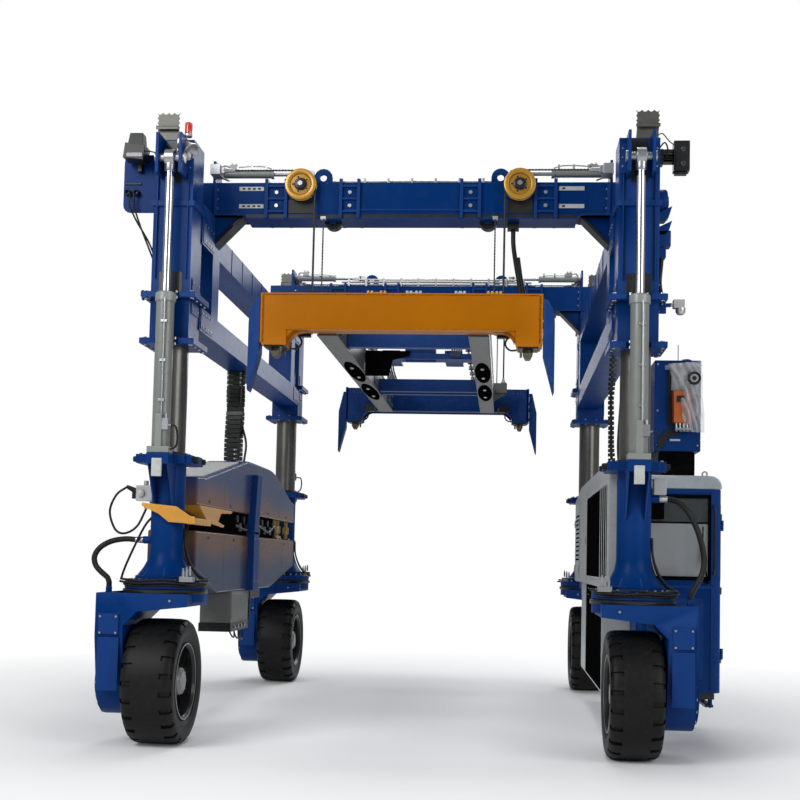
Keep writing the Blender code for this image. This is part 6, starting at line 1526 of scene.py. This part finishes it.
def service_box():
    """The grey box under the tank, with a black foot, plugs, and hoses that loop under it."""
    bm = bmesh.new()
    low, top = 0.8897, 1.3097
    slab(bm, (outer_x + 0.13, inner_x), (-1.065, -0.225), (low + 0.09, top))
    slab(bm, (outer_x + 0.15, inner_x + 0.004), (-1.045, -0.245), (low + 0.13, top - 0.02))
    slab(bm, (outer_x + 0.15, inner_x - 0.02), (-1.069, -0.24), (low + 0.13, top - 0.02))
    set_down("service_box", bm, rail_grey, "left_side", ["left_underslung_box"],
             bevel=0.008, segments=3)
    bm = bmesh.new()
    slab(bm, (outer_x + 0.12, inner_x + 0.0045), (-1.069, -0.22), (low, low + 0.09))
    for y in (-0.17, -0.06):
        post(bm, (inner_x - 0.05, y, 0.95), (inner_x - 0.05, y, tank_low + 0.002), 0.04, 24)
    slab(bm, (outer_x + 0.05, inner_x - 0.02), (-0.22, 0.5), (tank_low - 0.1, tank_low - 0.002))
    for n in range(3):
        tube(bm, curve_through([(-0.05, -0.9 + 0.2 * n, low + 0.01),
                                (-0.03, -0.86 + 0.2 * n, low - 0.05 - 0.02 * n),
                                (-0.03, -0.74 + 0.2 * n, low - 0.07 - 0.02 * n),
                                (-0.05, -0.66 + 0.2 * n, low + 0.01)], 0.02, at=(inner_x, 0, 0)), 0.009, 10)
    set_down("service_box_fittings", bm, black_plastic, "left_side", bevel=0.003)
    bm = bmesh.new()
    for n in range(4):
        spun(bm, [(0, 0), (0.018, 0), (0.02, 0.01), (0, 0.012)],
             (inner_x + 0.0045, -0.9 + 0.16 * n, low + 0.05), (1, 0, 0), 20)
    for n in range(6):
        post(bm, (-0.06, 0, 0), (-0.02, 0, 0), 0.018, 16, at=(inner_x, -0.15 + 0.1 * n, tank_low - 0.05))
    set_down("service_box_plugs", bm, bright_steel, "left_side")


def cable_chain():
    """A black energy chain of links that stands up from the hood towards the side frame."""
    x, y = mid_x - 2.09, -0.3
    links, strip = bmesh.new(), bmesh.new()
    run = curve_through([(x, y, 2.745), (x, y, 3.0), (x + 0.005, y + 0.02, 3.3), (x, y + 0.03, 3.55),
                         (x, y + 0.03, 3.77)], 0.05)
    chain_of(links, run, (-0.095, 0.095), (-0.045, 0.045), (0.003, 0.047))
    chain_of(strip, run, (0.028, 0.05), (-0.048, -0.042), (0.014, 0.032))
    chain_of(strip, run, (0.058, 0.066), (-0.048, -0.042), (0.018, 0.028))
    tube(links, run, 0.035, 10)
    run = curve_through([(0.13, -0.03, 2.74), (0.14, 0, 2.95), (0.08, 0, 3.2), (0.07, 0, 3.5),
                         (0.08, 0.03, 3.77)], 0.04, at=(x, y, 0))
    tube(links, run, 0.013, 10)
    chain = set_down("cable_chain", links, black_plastic, "left_side", bevel=0.002)
    chain_pins = set_down("cable_chain_pins", strip, galvanised, "left_side", bevel=0.001)
    for piece in (let_go(chain), let_go(chain_pins)):
        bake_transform(piece)


hood_and_tank()
tray_and_strap()
valve_and_loops()
service_box()
cable_chain()

# The cabinet beside the bay on the cab's side: a pale housing with a barred grille in painted shade,
# louvres, latches and a dark lower box, fed by a chain of cables from the side frame.
cabinet_white = metal_or_paint("cabinet_white", (0.38, 0.4, 0.4), 0.4, gloss=0.1, sheen=0.35, drift=0.1,
                               dust=(0.2, 0.18, 0.14), dust_share=0.45, sheet_wave=0.1, worn=0.2)


def cabinet():
    """The housing and grille with black plates of painted shade, its seams and slots, latches, eyes, ties
    and the lower box.
    """
    face = mid_x + inner_half
    set_down("cabinet_shell", cad_shape("right_cabinet"), cabinet_white, "right_side",
             ["right_cabinet"], bevel=0.007, segments=3)
    dark, pale, steel = bmesh.new(), bmesh.new(), bmesh.new()
    # Painted shade: a black plate behind the bars for the grille's shaded inside, and one over the farther
    # bars.
    slab(dark, (face + 0.005, face + 0.0305), (-2.42, 0.305), (1.555, 2.415))
    slab(dark, (face - 0.0015, face + 0.03), (-1.36, 0.305), (1.555, 2.415))
    slab(dark, (face + 0.022, face + 0.031), (-1.47, 0.62), (0.45, 1.45))
    for y in (0.345, 1.6):
        slab(dark, about(face, 0.002), about(y, 0.003), (1.5, 2.5))
    for n in range(11):
        slat = slab(dark, (face - 0.003, face + 0.004), (1.75, 2.35), (1.72 + 0.055 * n, 1.738 + 0.055 * n))
        bmesh.ops.translate(dark, vec=(0, 0, 0.012), verts=[vert for vert in slat if vert.co.x < face])
        slab(dark, (face + 0.285, face + 0.314), (-0.4, 0.9), (1.7 + 0.05 * n, 1.72 + 0.05 * n))
    set_down("cabinet_openings_painted_shade", dark, deep_black, "right_side", bevel=0.0015, segments=1)
    for low, high in ((1.535, 1.55), (2.42, 2.435)):
        slab(pale, about(face, 0.006), (-2.45, 0.33), (low, high))
    for y in (-2.44, 0.325):
        slab(pale, about(face, 0.006), about(y, 0.015), (1.55, 2.42))
    slab(pale, (face + 0.024, face + 0.05), (-1.5, 1.5), (1.3, 1.45))
    slab(pale, (face + 0.024, face + 0.05), (0.7, 1.45), (0.44, 1.3))
    lid = [(-2.5, 2.505), (-2.5, 2.6), (-2.3, 2.625), (1.445, 2.625), (2.4, 2.52)]
    extruded(pale, lid, "x", face + 0.004, face + 0.3)
    set_down("cabinet_frames", pale, cabinet_white, "right_side", bevel=0.003)
    for y, z in ((0.42, 1.95), (1.52, 1.95), (1.68, 2.2), (2.5, 2.2), (1.68, 1.62), (2.5, 1.62)):
        slab(steel, (face - 0.012, face + 0.002), about(y, 0.014), about(z, 0.05))
        post(steel, (face - 0.018, y, z), (face, y, z), 0.012, 20)
    bolts(steel, [(face + 0.024, y, z) for y in (-1.45, -0.9, -0.3, 0.2, 0.3, 0.85) for z in (1.34, 1.41)],
          (1, 0, 0), 0.008, 0.005)
    bolts(steel, [(face - 0.006, -2.3 + 0.31 * n, z) for n in range(9) for z in (1.5425, 2.4275)],
          (1, 0, 0), 0.007, 0.004)
    for end in (-1, 1):
        slab(steel, (face + 0.04, face + 0.27), about(end * 2.2, 0.05), (2.5, 2.525))
        spun(steel, [(0.014, -0.006), (0.026, -0.006), (0.026, 0.006), (0.014, 0.006)],
             (face + 0.15, end * 2.2, 2.54), (0, 1, 0), 24)
    set_down("cabinet_latches", steel, bright_steel, "right_side", bevel=0.002)
    ties = bmesh.new()
    for end in (-1, 1):
        slab(ties, (face + 0.115, face + 0.265), [end * y for y in tie_y], tie_z)
    slab(ties, (face + 0.03, face + 0.3), (-2.05, -1.52), (1.37, 1.4597))
    slab(ties, (face + 0.03, face + 0.3), (1.52, 2.05), (1.37, 1.4597))
    set_down("cabinet_ties", ties, blue_gloss, "right_side", bevel=0.005)


def frame_chain():
    """A cable chain and a hose that come down from the side frame to the cabinet."""
    bm = bmesh.new()
    x = mid_x + 1.96
    run = curve_through([(x, -2.1, 3.78), (x - 0.01, -2.08, 3.5), (x - 0.02, -2.05, 3.28),
                         (x - 0.01, -1.98, 3.0), (x, -1.92, 2.75), (x + 0.02, -1.9, 2.51)], 0.045)
    chain_of(bm, run, (-0.028, 0.028), (-0.022, 0.022), (0.004, 0.036))
    tube(bm, run, 0.014, 10)
    run = curve_through([(x + 0.07, -2.1, 3.78), (x + 0.07, -2.09, 3.3), (x + 0.05, -2.05, 2.8),
                         (x + 0.08, -2.0, 2.51)], 0.06)
    tube(bm, run, 0.011, 10)
    piece = let_go(set_down("frame_chain", bm, black_plastic, "upper_frame", bevel=0.002,
                            segments=1))
    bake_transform(piece)


cabinet()
frame_chain()

# The cab: blue sheet walls with a pale lining, a suspended seat, desk and wheel, tinted
# windows in rubber, a hinged door, a wiper and a step.
cab_in, cab_out, cab_front, cab_back = mid_x + 2.2003, mid_x + 3.0003, -1.98, -0.5
cab_low, cab_high = 0.495, 2.41
glass_low, glass_high = 1.565, 2.34
lining_beige = metal_or_paint("lining_beige", (0.55, 0.48, 0.26), 0.55, drift=0.12, grain=0.3,
                              grain_scale=300.0, dust=(0.16, 0.14, 0.1), dust_share=0.3)
roof_white = metal_or_paint("roof_white", (0.36, 0.4, 0.43), 0.3, gloss=0.3, sheen=0.4, drift=0.1,
                            dust=(0.25, 0.25, 0.24), dust_share=0.4, worn=0.2)


def window_glass(name, tint, share):
    """Thin safety glass: part mirror, part clear, with a tint and a film of dust."""
    look = metal_or_paint(name, tint, 0.06, gloss=0.6, drift=0.05, drift_scale=0.6,
                          dust=[0.9 * c for c in tint], dust_share=0.3, rough_drift=0.03,
                          grain=0.0, sheen=0.3)
    tree = look.node_tree
    clear = node_of(tree, "ShaderNodeBsdfTransparent", Color=(*[min(1, 0.45 + c * 1.6) for c in tint], 1))
    both = node_of(tree, "ShaderNodeMixShader", Fac=share)
    tree.links.new(tree.nodes["Principled BSDF"].outputs[0], both.inputs[1])
    tree.links.new(clear.outputs[0], both.inputs[2])
    tree.links.new(both.outputs[0], tree.nodes["Material Output"].inputs["Surface"])
    return look


cab_glass = window_glass("cab_glass", (0.52, 0.55, 0.57), 0.6)
dark_glass = window_glass("dark_glass", (0.07, 0.082, 0.088), 0.35)
clear_film = window_glass("clear_film", (0.7, 0.71, 0.72), 0.5)


def seal(bm, x, y, z, width=0.018, proud=0.006):
    """A rubber frame round a window, which is flat across its thinnest span."""
    spans = [x, y, z]
    flat = min(range(3), key=lambda n: spans[n][1] - spans[n][0])
    one, two = [n for n in range(3) if n != flat]
    spans[flat] = (spans[flat][0] - proud, spans[flat][1] + proud)
    for near, far in ((one, two), (two, one)):
        for edge in spans[near]:
            bar = list(spans)
            bar[near] = (edge - width, edge + width)
            bar[far] = (spans[far][0] - width, spans[far][1] + width)
            slab(bm, *bar)


def pane(name, x, y, z, look, body="right_side"):
    """A sheet of glass between three spans, with ground edges."""
    bm = bmesh.new()
    slab(bm, x, y, z)
    set_down(name, bm, look, body, bevel=0.001, segments=1)


def walls_and_windows():
    """The shell, its seals, glass, lining, wiper, corner trims, hand rail and floor mat."""
    set_down("cab_walls", cad_shape("cab_shell"), blue_gloss, "right_side", ["cab_shell"],
             bevel=0.004)
    rubber, inside, trim, steel = (bmesh.new() for _ in range(4))
    across = (mid_x + 2.2703, mid_x + 2.8903)
    for wall in (cab_front, cab_back - 0.05):
        seal(rubber, across, (wall, wall + 0.05), (glass_low, glass_high))
    seal(rubber, (cab_out - 0.05, cab_out), (-0.93, -0.57), (glass_low, glass_high))
    split = 2.09
    pane("front_glass", across, (cab_front + 0.012, cab_front + 0.018), (glass_low, split), cab_glass)
    pane("front_visor_glass", across, (cab_front + 0.012, cab_front + 0.018),
         (split, glass_high), dark_glass)
    pane("rear_glass", across, (cab_back - 0.02, cab_back - 0.014), (glass_low, glass_high), dark_glass)
    pane("rear_side_glass", (cab_out - 0.02, cab_out - 0.014), (-0.93, -0.57),
         (glass_low, glass_high), dark_glass)
    slab(rubber, across, (cab_front + 0.008, cab_front + 0.022), about(split, 0.008))
    slab(inside, (cab_in + 0.051, cab_in + 0.056), (cab_front + 0.06, cab_back - 0.06),
         (cab_low + 0.06, 2.3))
    slab(inside, across, (cab_back - 0.057, cab_back - 0.052), (cab_low + 0.06, glass_low - 0.03))
    slab(inside, (across[0], across[1] - 0.02), (cab_front + 0.052, cab_front + 0.058),
         (cab_low + 0.06, glass_low - 0.03))
    slab(inside, (cab_in + 0.06, cab_out - 0.06), (cab_front + 0.06, cab_back - 0.06),
         (cab_high - 0.062, cab_high - 0.055))
    curtain = [(cab_out - 0.115, glass_low), (cab_out - 0.235, glass_low), (cab_out - 0.22, 1.72),
               (cab_out - 0.17, 1.9), (cab_out - 0.15, 2.09), (cab_out - 0.115, 2.09)]
    extruded(inside, curtain, "y", cab_front + 0.03, cab_front + 0.04)
    set_down("cab_lining", inside, lining_beige, "right_side", bevel=0.002)
    slab(rubber, (cab_in + 0.06, cab_out - 0.07), (cab_front + 0.06, cab_back - 0.06),
         (cab_low + 0.051, cab_low + 0.06))
    for n in range(16):
        slab(rubber, (cab_in + 0.09 + 0.04 * n, cab_in + 0.1 + 0.04 * n), (cab_front + 0.09, -1.2),
             (cab_low + 0.06, cab_low + 0.064))
    pivot = Vector((cab_out - 0.14, cab_front - 0.02, glass_low - 0.03))
    post(rubber, pivot + Vector((0, 0.03, 0)), pivot - Vector((0, 0.012, 0)), 0.018, 20)
    post(rubber, pivot, pivot + Vector((-0.045, -0.004, 0.37)), 0.007, 12)
    post(rubber, pivot + Vector((-0.05, -0.002, 0.14)), pivot + Vector((-0.04, -0.002, 0.52)), 0.006, 8)
    slab(rubber, (0.01, 0.25), (-0.07, -0.002), (2.12, 2.38), at=(cab_in, cab_front, 0))
    slab(rubber, (0.16, 0.2), (-0.03, -0.002), (2.16, 2.35), at=(cab_in, cab_front, 0))
    set_down("cab_rubber", rubber, deep_black, "right_side", bevel=0.003)
    for x, wide in ((cab_out - 0.079, 0.025), (cab_in + 0.04, 0.022)):
        slab(trim, (-wide, wide), (-0.008, 0.002), (cab_low + 0.03, cab_high - 0.02), at=(x, cab_front, 0))
    slab(trim, (cab_in + 0.02, cab_out - 0.09), (cab_front - 0.006, cab_front + 0.002), (1.47, 1.5))
    slab(trim, (cab_in + 0.1, cab_out - 0.17), (cab_front - 0.005, cab_front + 0.002), (0.62, 1.38))
    set_down("cab_trims", trim, blue_gloss, "right_side", bevel=0.003)
    bolts(steel, [(x, cab_front - 0.008, 0.62 + 0.22 * n) for x in (cab_out - 0.079, cab_in + 0.04)
                  for n in range(8)], (0, 1, 0), 0.008, 0.005)
    bolts(steel, [(x, cab_front - 0.006, z) for x in (cab_in + 0.13, cab_out - 0.2) for z in (0.66, 1.34)],
          (0, 1, 0), 0.009, 0.005)
    rail = curve_through([(0, -0.004, 1.62), (0, -0.06, 1.65), (0, -0.06, 2.0), (0, -0.06, 2.22),
                          (0, -0.004, 2.25)], 0.03, at=(cab_out - 0.079, cab_front, 0))
    tube(steel, rail, 0.011, 14)
    set_down("cab_fixings", steel, black_steel, "right_side")


def cushion(name, piping, middle, half, crown, seams, upright=False):
    """A crowned closed pad, flat where it rests, with drawn-in sides, sewn channels and a corded rim.
    The crown faces up, or to the front where the pad is upright."""
    soft = 0.6 * min(half)

    def settled(u, v, w):
        spot = Vector([share * size for share, size in zip((u, v, w), half)])
        core = Vector([max(soft - size, min(size - soft, part)) for part, size in zip(spot, half)])
        spot = core + (spot - core).normalized() * soft
        spot.x *= 1 - 0.055 * (1 - v * v)
        spot.y *= 1 - 0.055 * (1 - u * u)
        dip = sum(math.exp(-(((u, v)[axis] - place) * half[axis] / 0.009) ** 2) for axis, place in seams)
        rim = (1 - u * u) * (1 - v * v)
        spot.z += (0.5 + 0.5 * w) * (crown * rim ** 0.6 - 0.011 * dip * min(1, 5 * rim))
        return Vector(middle) + (Vector((spot.x, -spot.z, spot.y)) if upright else spot)

    cloth = bmesh.new()
    bmesh.ops.create_cube(cloth, size=2)
    bmesh.ops.subdivide_edges(cloth, edges=cloth.edges[:], cuts=47, use_grid_fill=True)
    for vert in cloth.verts:
        vert.co = settled(*vert.co)
    rim = []
    for n in range(98):
        u, v = math.cos(math.tau * n / 96), math.sin(math.tau * n / 96)
        far = max(abs(u), abs(v))
        rim.append(settled(u / far, v / far, 1))
    tube(piping, rim, 0.0045, 10)
    set_down(name, cloth, seat_cloth, "right_side", crease=60)


def seat_and_desk():
    """A sprung seat with arm rests and sticks, and a desk with a wheel, screen and pedals."""
    x, y = mid_x + 2.6003, -0.92
    black = bmesh.new()
    slab(black, about(x, 0.16), about(y, 0.16), (cab_low + 0.051, cab_low + 0.09))
    for n in range(6):
        spun(black, [(0, 0), (0.1, 0), (0.13, 0.02), (0.1, 0.04), (0, 0.04)],
             (x, y, cab_low + 0.09 + 0.042 * n), (0, 0, 1), 28)
    slab(black, about(x, 0.2), (y - 0.22, y + 0.2), (0.85, 0.92))
    slab(black, about(x, 0.17), (y + 0.2, y + 0.245), (0.92, 1.69))
    slab(black, about(x, 0.24), (-0.86, -0.8), (0.875, 0.915))
    for side in (-1, 1):
        slab(black, (x + side * 0.2, x + side * 0.245), (-1.16, -0.72), (1.13, 1.18))
        slab(black, (x + side * 0.228, x + side * 0.245), (-0.86, -0.8), (0.875, 1.13))
        post(black, (x + side * 0.222, -1.1, 1.17), (x + side * 0.222, -1.105, 1.25), 0.009, 14)
        ball = bmesh.ops.create_uvsphere(black, u_segments=20, v_segments=12, radius=0.021)["verts"]
        bmesh.ops.translate(black, vec=(x + side * 0.222, -1.106, 1.262), verts=ball)
    set_down("seat_frame", black, black_plastic, "right_side", ["cab_seat"],
             bevel=0.006, segments=3)
    piping = bmesh.new()
    cushion("seat_cushion", piping, (x, -0.9625, 0.9715), (0.225, 0.2025, 0.0535), 0.022,
            ((0, -0.5), (0, 0.5)))
    cushion("back_cushion", piping, (x, -0.745, 1.275), (0.21, 0.225, 0.036), 0.02, ((1, -0.25), (1, 0.25)),
            upright=True)
    cushion("head_cushion", piping, (x, -0.742, 1.61), (0.12, 0.075, 0.03), 0.012, (), upright=True)
    set_down("seat_piping", piping, black_rubber, "right_side", crease=60)
    desk = bmesh.new()
    slope = [(cab_front + 0.06, 1.35), (cab_front + 0.06, 1.5), (cab_front + 0.1, 1.5),
             (cab_front + 0.28, 1.38), (cab_front + 0.28, 1.33)]
    extruded(desk, slope, "x", mid_x + 2.3, mid_x + 2.88)
    slab(desk, (2.5, 2.7), (0.08, 0.16), (cab_low + 0.06, 1.36), at=(mid_x, cab_front, 0))
    screen = slab(desk, (2.3, 2.44), (0.1, 0.125), (1.5, 1.65), at=(mid_x, cab_front, 0))
    bmesh.ops.rotate(desk, cent=(mid_x + 2.37, cab_front + 0.11, 1.5), matrix=Matrix.Rotation(0.3, 3, "X"),
                     verts=screen)
    hub = Vector((x, cab_front + 0.33, 1.5))
    tilt = Vector((0, 0.55, 1))
    spun(desk, [(0.155 + 0.012 * math.cos(a), 0.012 * math.sin(a))
                for a in (math.tau * n / 10 for n in range(10))], hub, tilt, 48)
    post(desk, hub - tilt * 0.02, hub + tilt * 0.01, 0.04, 24)
    post(desk, (x, cab_front + 0.2, 1.36), hub, 0.02, 16)
    for spoke in ring_of(hub, tilt, 0.152, 3, 0.5):
        post(desk, hub, spoke, 0.008, 10)
    for side in (-1, 1):
        foot = slab(desk, about(x + side * 0.12, 0.04), (cab_front + 0.2, cab_front + 0.36), (0.6, 0.615))
        bmesh.ops.rotate(desk, cent=(x, cab_front + 0.36, 0.6),
                         matrix=Matrix.Rotation(-0.5, 3, "X"), verts=foot)
    set_down("cab_desk", desk, black_plastic, "right_side", bevel=0.004)


seat_cloth = woven_rubber("seat_cloth", 140.0)
seat_cloth.node_tree.nodes["Hue/Saturation/Value"].inputs["Color"].default_value = (0.02, 0.021, 0.026, 1)


def door():
    """The door leaf with its pane, seal, hinges, lock, pull handle and kick strip."""
    set_down("door_leaf", cad_shape("cab_door"), blue_gloss, "cab_door_leaf", ["cab_door"],
             bevel=0.004)
    rubber, steel = bmesh.new(), bmesh.new()
    span = (cab_out + 0.002, cab_out + 0.018)
    seal(rubber, (span[0] + 0.004, span[1] - 0.004), (-1.78, -1.07), (glass_low, 2.262), width=0.014,
         proud=0.007)
    set_down("door_seal", rubber, black_rubber, "cab_door_leaf", bevel=0.002)
    pane("door_glass", (cab_out + 0.006, cab_out + 0.012), (-1.775, -1.075), (glass_low + 0.005, 2.257),
         cab_glass, "cab_door_leaf")
    pin = pins["cab_door_hinge"]
    for z in (0.8, 1.45, 2.15):
        slab(steel, (0, 0.008), (0.015, 0.1), (-0.035, 0.035), at=(span[1], pin.y, z))
        bolts(steel, [(span[1] + 0.008, pin.y + dy, z + dz) for dy in (0.045, 0.08)
                      for dz in (-0.02, 0.02)], (1, 0, 0), 0.007, 0.003)
    slab(steel, (span[1], span[1] + 0.01), (-1.07, -1.025), (1.27, 1.42))
    grip = curve_through([(0, -1.047, 1.29), (0.011, -1.047, 1.295), (0.012, -1.047, 1.34),
                          (0.011, -1.047, 1.395), (0, -1.047, 1.4)], 0.012, at=(span[1], 0, 0))
    tube(steel, grip, 0.0055, 12)
    slab(steel, (span[1], span[1] + 0.004), (-1.75, -1.1), (0.63, 0.78))
    set_down("door_fittings", steel, bright_steel, "cab_door_leaf", bevel=0.0015, segments=1)


def step_and_loop():
    """A treaded step hung below the door on two straps, and a bent steel lashing loop."""
    bm, dark = bmesh.new(), bmesh.new()
    x = mid_x + 2.9503
    for y in (-1.66, -1.19):
        slab(bm, about(x, 0.02), about(y, 0.015), (0.33, cab_low + 0.01))
    slab(dark, (x - 0.05, x + 0.03), (-1.68, -1.17), (0.33, 0.355))
    for n in range(12):
        slab(dark, (x - 0.045, x + 0.025), (-1.66 + 0.041 * n, -1.645 + 0.041 * n), (0.355, 0.36))
    slab(dark, (cab_in + 0.15, cab_out - 0.06), (0.02, 0.16), (-0.06, 0.001), at=(0, cab_front, cab_low))
    tube(dark, curve_through([(0.22, 0, 0), (0.2, 0, -0.09), (0.24, 0, -0.22), (0.3, 0, -0.24),
                              (0.32, 0, -0.16), (0.28, 0, 0)], 0.02,
                             at=(cab_in, cab_front + 0.09, cab_low)), 0.009, 12)
    set_down("cab_step", dark, black_steel, "right_side", bevel=0.002)
    slab(bm, (cab_in + 0.05, cab_out - 0.07), (cab_front + 0.06, cab_back - 0.06),
         (cab_low - 0.03, cab_low + 0.002))
    for n in range(3):
        slab(bm, (mid_x + 2.19, cab_in + 0.12), (cab_front + 0.25 + 0.45 * n, cab_front + 0.37 + 0.45 * n),
             (cab_low + 0.3, cab_low + 0.42))
    set_down("cab_mounts", bm, blue_gloss, "right_side", bevel=0.003)


walls_and_windows()
seat_and_desk()
door()
step_and_loop()

# The roof and what stands on it: a white domed cap with a drip edge, a black wedge, and
# a blue cupboard with an orange unit and a ring under crumpled clear film.
loft_front, loft_high = -1.63, 3.7003
unit_orange = metal_or_paint("unit_orange", (0.5, 0.1, 0.006), 0.35, gloss=0.3, drift=0.1, dust_share=0.2)


def roof():
    """The cap in white, a black edge and fairing, a black plate of painted shade before the loft's foot,
    lifting eyes, and a small box by the leg.
    """
    set_down("cab_cap", cad_shape("cab_roof"), roof_white, "right_side", ["cab_roof"],
             bevel=0.03, segments=5)
    bm = bmesh.new()
    slab(bm, (cab_in + 0.02, cab_out - 0.02), (cab_front + 0.02, cab_back - 0.02), about(cab_high, 0.012))
    wedge = [(mid_x + 2.4, 2.545), (mid_x + 2.72, 2.545), (mid_x + 2.731, 2.56), (mid_x + 2.728, 2.65),
             (mid_x + 2.70, 2.667), (mid_x + 2.62, 2.655)]
    extruded(bm, wedge, "y", -1.9, -1.66)
    # Painted shade: a black plate over the front of the loft's foot, where it stands in shadow.
    slab(bm, (mid_x + 2.45, mid_x + 2.8), (-1.6, -1.571), (2.56, 2.795))
    set_down("roof_fairing_and_painted_shade", bm, deep_black, "right_side", bevel=0.008, segments=3)
    steel = bmesh.new()
    for x in (cab_in + 0.12, cab_out - 0.14):
        for y in (cab_front + 0.16, cab_back - 0.16):
            spun(steel, [(0.016, -0.007), (0.03, -0.007), (0.03, 0.007), (0.016, 0.007)], (x, y, 2.565),
                 (0, 1, 0), 28)
            slab(steel, about(x, 0.02), about(y, 0.012), (2.53, 2.546))
    set_down("roof_eyes", steel, bright_steel, "right_side")
    box = bmesh.new()
    x, y = mid_x + leg_half, -leg_y
    slab(box, (x + 0.165, x + 0.275), about(y, 0.06), (2.295, 2.43))
    slab(box, (x + 0.16, x + 0.28), about(y, 0.065), (2.425, 2.437))
    set_down("leg_junction_box", box, cabinet_white, "right_side", bevel=0.006)


def crumpled(bm, corners, across, up, depth, seed):
    """A sheet between four corners, folded by ridges that a fixed seed lays out."""
    chance = random.Random(seed)
    folds = [(chance.uniform(-1, 1), chance.uniform(-1, 1), chance.uniform(0, math.tau),
              chance.uniform(5, 16)) for _ in range(7)]
    low_left, low_right, high_left, high_right = (Vector(corner) for corner in corners)
    rows = []
    for j in range(up + 1):
        row = []
        for i in range(across + 1):
            u, v = i / across, j / up
            low, high = low_left * (1 - u) + low_right * u, high_left * (1 - u) + high_right * u
            spot = low * (1 - v) + high * v
            lift = sum(abs(math.sin((a * u + b * v) * k + c)) - 0.5 for a, b, c, k in folds) / 7
            billow = math.sin(math.pi * u) ** 0.5 * (0.3 + 0.7 * math.sin(math.pi * min(1, 1.05 * v)))
            row.append(bm.verts.new(spot + Vector((0, -depth * (billow * 0.8 + lift * 0.9), 0))))
        rows.append(row)
    for one, two in zip(rows, rows[1:]):
        for i in range(across):
            bm.faces.new((one[i], one[i + 1], two[i + 1], two[i]))


def loft():
    """The blue cupboard with a recess, the orange unit, ring, film, antenna and disc."""
    left, right = mid_x + 2.4003, mid_x + 2.8503
    set_down("loft_box", cad_shape("loft_cabinet"), blue_gloss, "right_side",
             ["loft_cabinet"], bevel=0.008, segments=3)
    dark, pale, unit, steel = (bmesh.new() for _ in range(4))
    recess = [(left + 0.02, 2.85), (left + 0.1, 3.01), (left + 0.24, 3.03), (left + 0.24, 2.97),
              (left + 0.13, 2.93), (left + 0.08, 2.83)]
    extruded(dark, recess, "y", loft_front - 0.012, loft_front + 0.002)
    slab(dark, (left + 0.13, right - 0.07), (loft_front - 0.01, loft_front + 0.002), (3.05, 3.64))
    slab(pale, (0.15, 0.25), (-0.014, 0), (2.9, 2.92), at=(left, loft_front, 0))
    slab(pale, (0.16, 0.32), (-0.03, 0), (3.4, 3.62), at=(left, loft_front, 0))
    box = slab(unit, (0.165, 0.33), (-0.14, 0), (3.07, 3.38), at=(left, loft_front, 0))
    bmesh.ops.translate(unit, vec=(0.012, 0.03, 0), verts=[vert for vert in box if vert.co.z < 3.1])
    slab(dark, (0.2, 0.28), (-0.146, -0.1), (3.27, 3.33), at=(left, loft_front, 0))
    for n in range(4):
        post(steel, (left + 0.2 + 0.035 * n, loft_front - 0.08, 3.07),
             (left + 0.205 + 0.035 * n, loft_front - 0.08, 2.99), 0.012, 14)
    slab(steel, (0.19, 0.34), (-0.11, -0.04), (3.0, 3.02), at=(left, loft_front, 0))
    centre = (right - 0.09, loft_front - 0.16, 3.5)
    spun(dark, [(0.04, -0.01), (0.062, -0.012), (0.066, 0), (0.062, 0.012), (0.04, 0.01)], centre,
         (0, -1, 0), 40)
    spun(pale, [(0.022, -0.008), (0.04, -0.008), (0.04, 0.008), (0.022, 0.008)], centre, (0, -1, 0), 40)
    spun(dark, [(0, -0.01), (0.022, -0.01), (0.022, 0.01), (0, 0.013)], centre, (0, -1, 0), 28)
    post(dark, (centre[0], centre[1], 3.5), (centre[0], loft_front, 3.5), 0.012, 14)
    post(dark, (0, 0, 0), (0, 0, 0.17), 0.004, 10, at=(left + 0.24, loft_front + 0.1, loft_high))
    spun(dark, [(0, 0), (0.055, 0), (0.06, 0.012), (0.04, 0.024), (0, 0.028)],
         (left + 0.32, loft_front + 0.1, loft_high), (0, 0, 1), 36)
    bolts(steel, [(x, loft_front - 0.002, z) for x in (left + 0.03, right - 0.03)
                  for z in (2.86, 3.2, 3.66)], (0, 1, 0), 0.01, 0.006)
    for y in (-1.45, -0.9):
        slab(steel, (right - 0.001, right + 0.008), about(y, 0.03), (3.0, 3.06))
        slab(steel, (right - 0.001, right + 0.008), about(y, 0.03), (3.5, 3.56))
    set_down("loft_blacks", dark, black_plastic, "right_side", bevel=0.002)
    set_down("loft_pales", pale, cabinet_white, "right_side", bevel=0.003)
    set_down("loft_unit", unit, unit_orange, "right_side", bevel=0.008, segments=3)
    set_down("loft_fittings", steel, bright_steel, "right_side", bevel=0.001, segments=1)
    film = bmesh.new()
    front = loft_front - 0.02
    crumpled(film, ((left + 0.25, front, 2.99), (right + 0.03, front, 2.98), (left + 0.13, front, 3.64),
                    (right, front, 3.69)), 46, 64, 0.17, 5)
    crumpled(film, ((left + 0.1, front, 3.6), (right + 0.01, front, 3.64),
                    (left + 0.08, front + 0.1, 3.705), (right + 0.01, front + 0.1, 3.712)), 40, 14, 0.05, 9)
    hung = set_down("loft_film", film, clear_film, "right_side", crease=24)


roof()
loft()
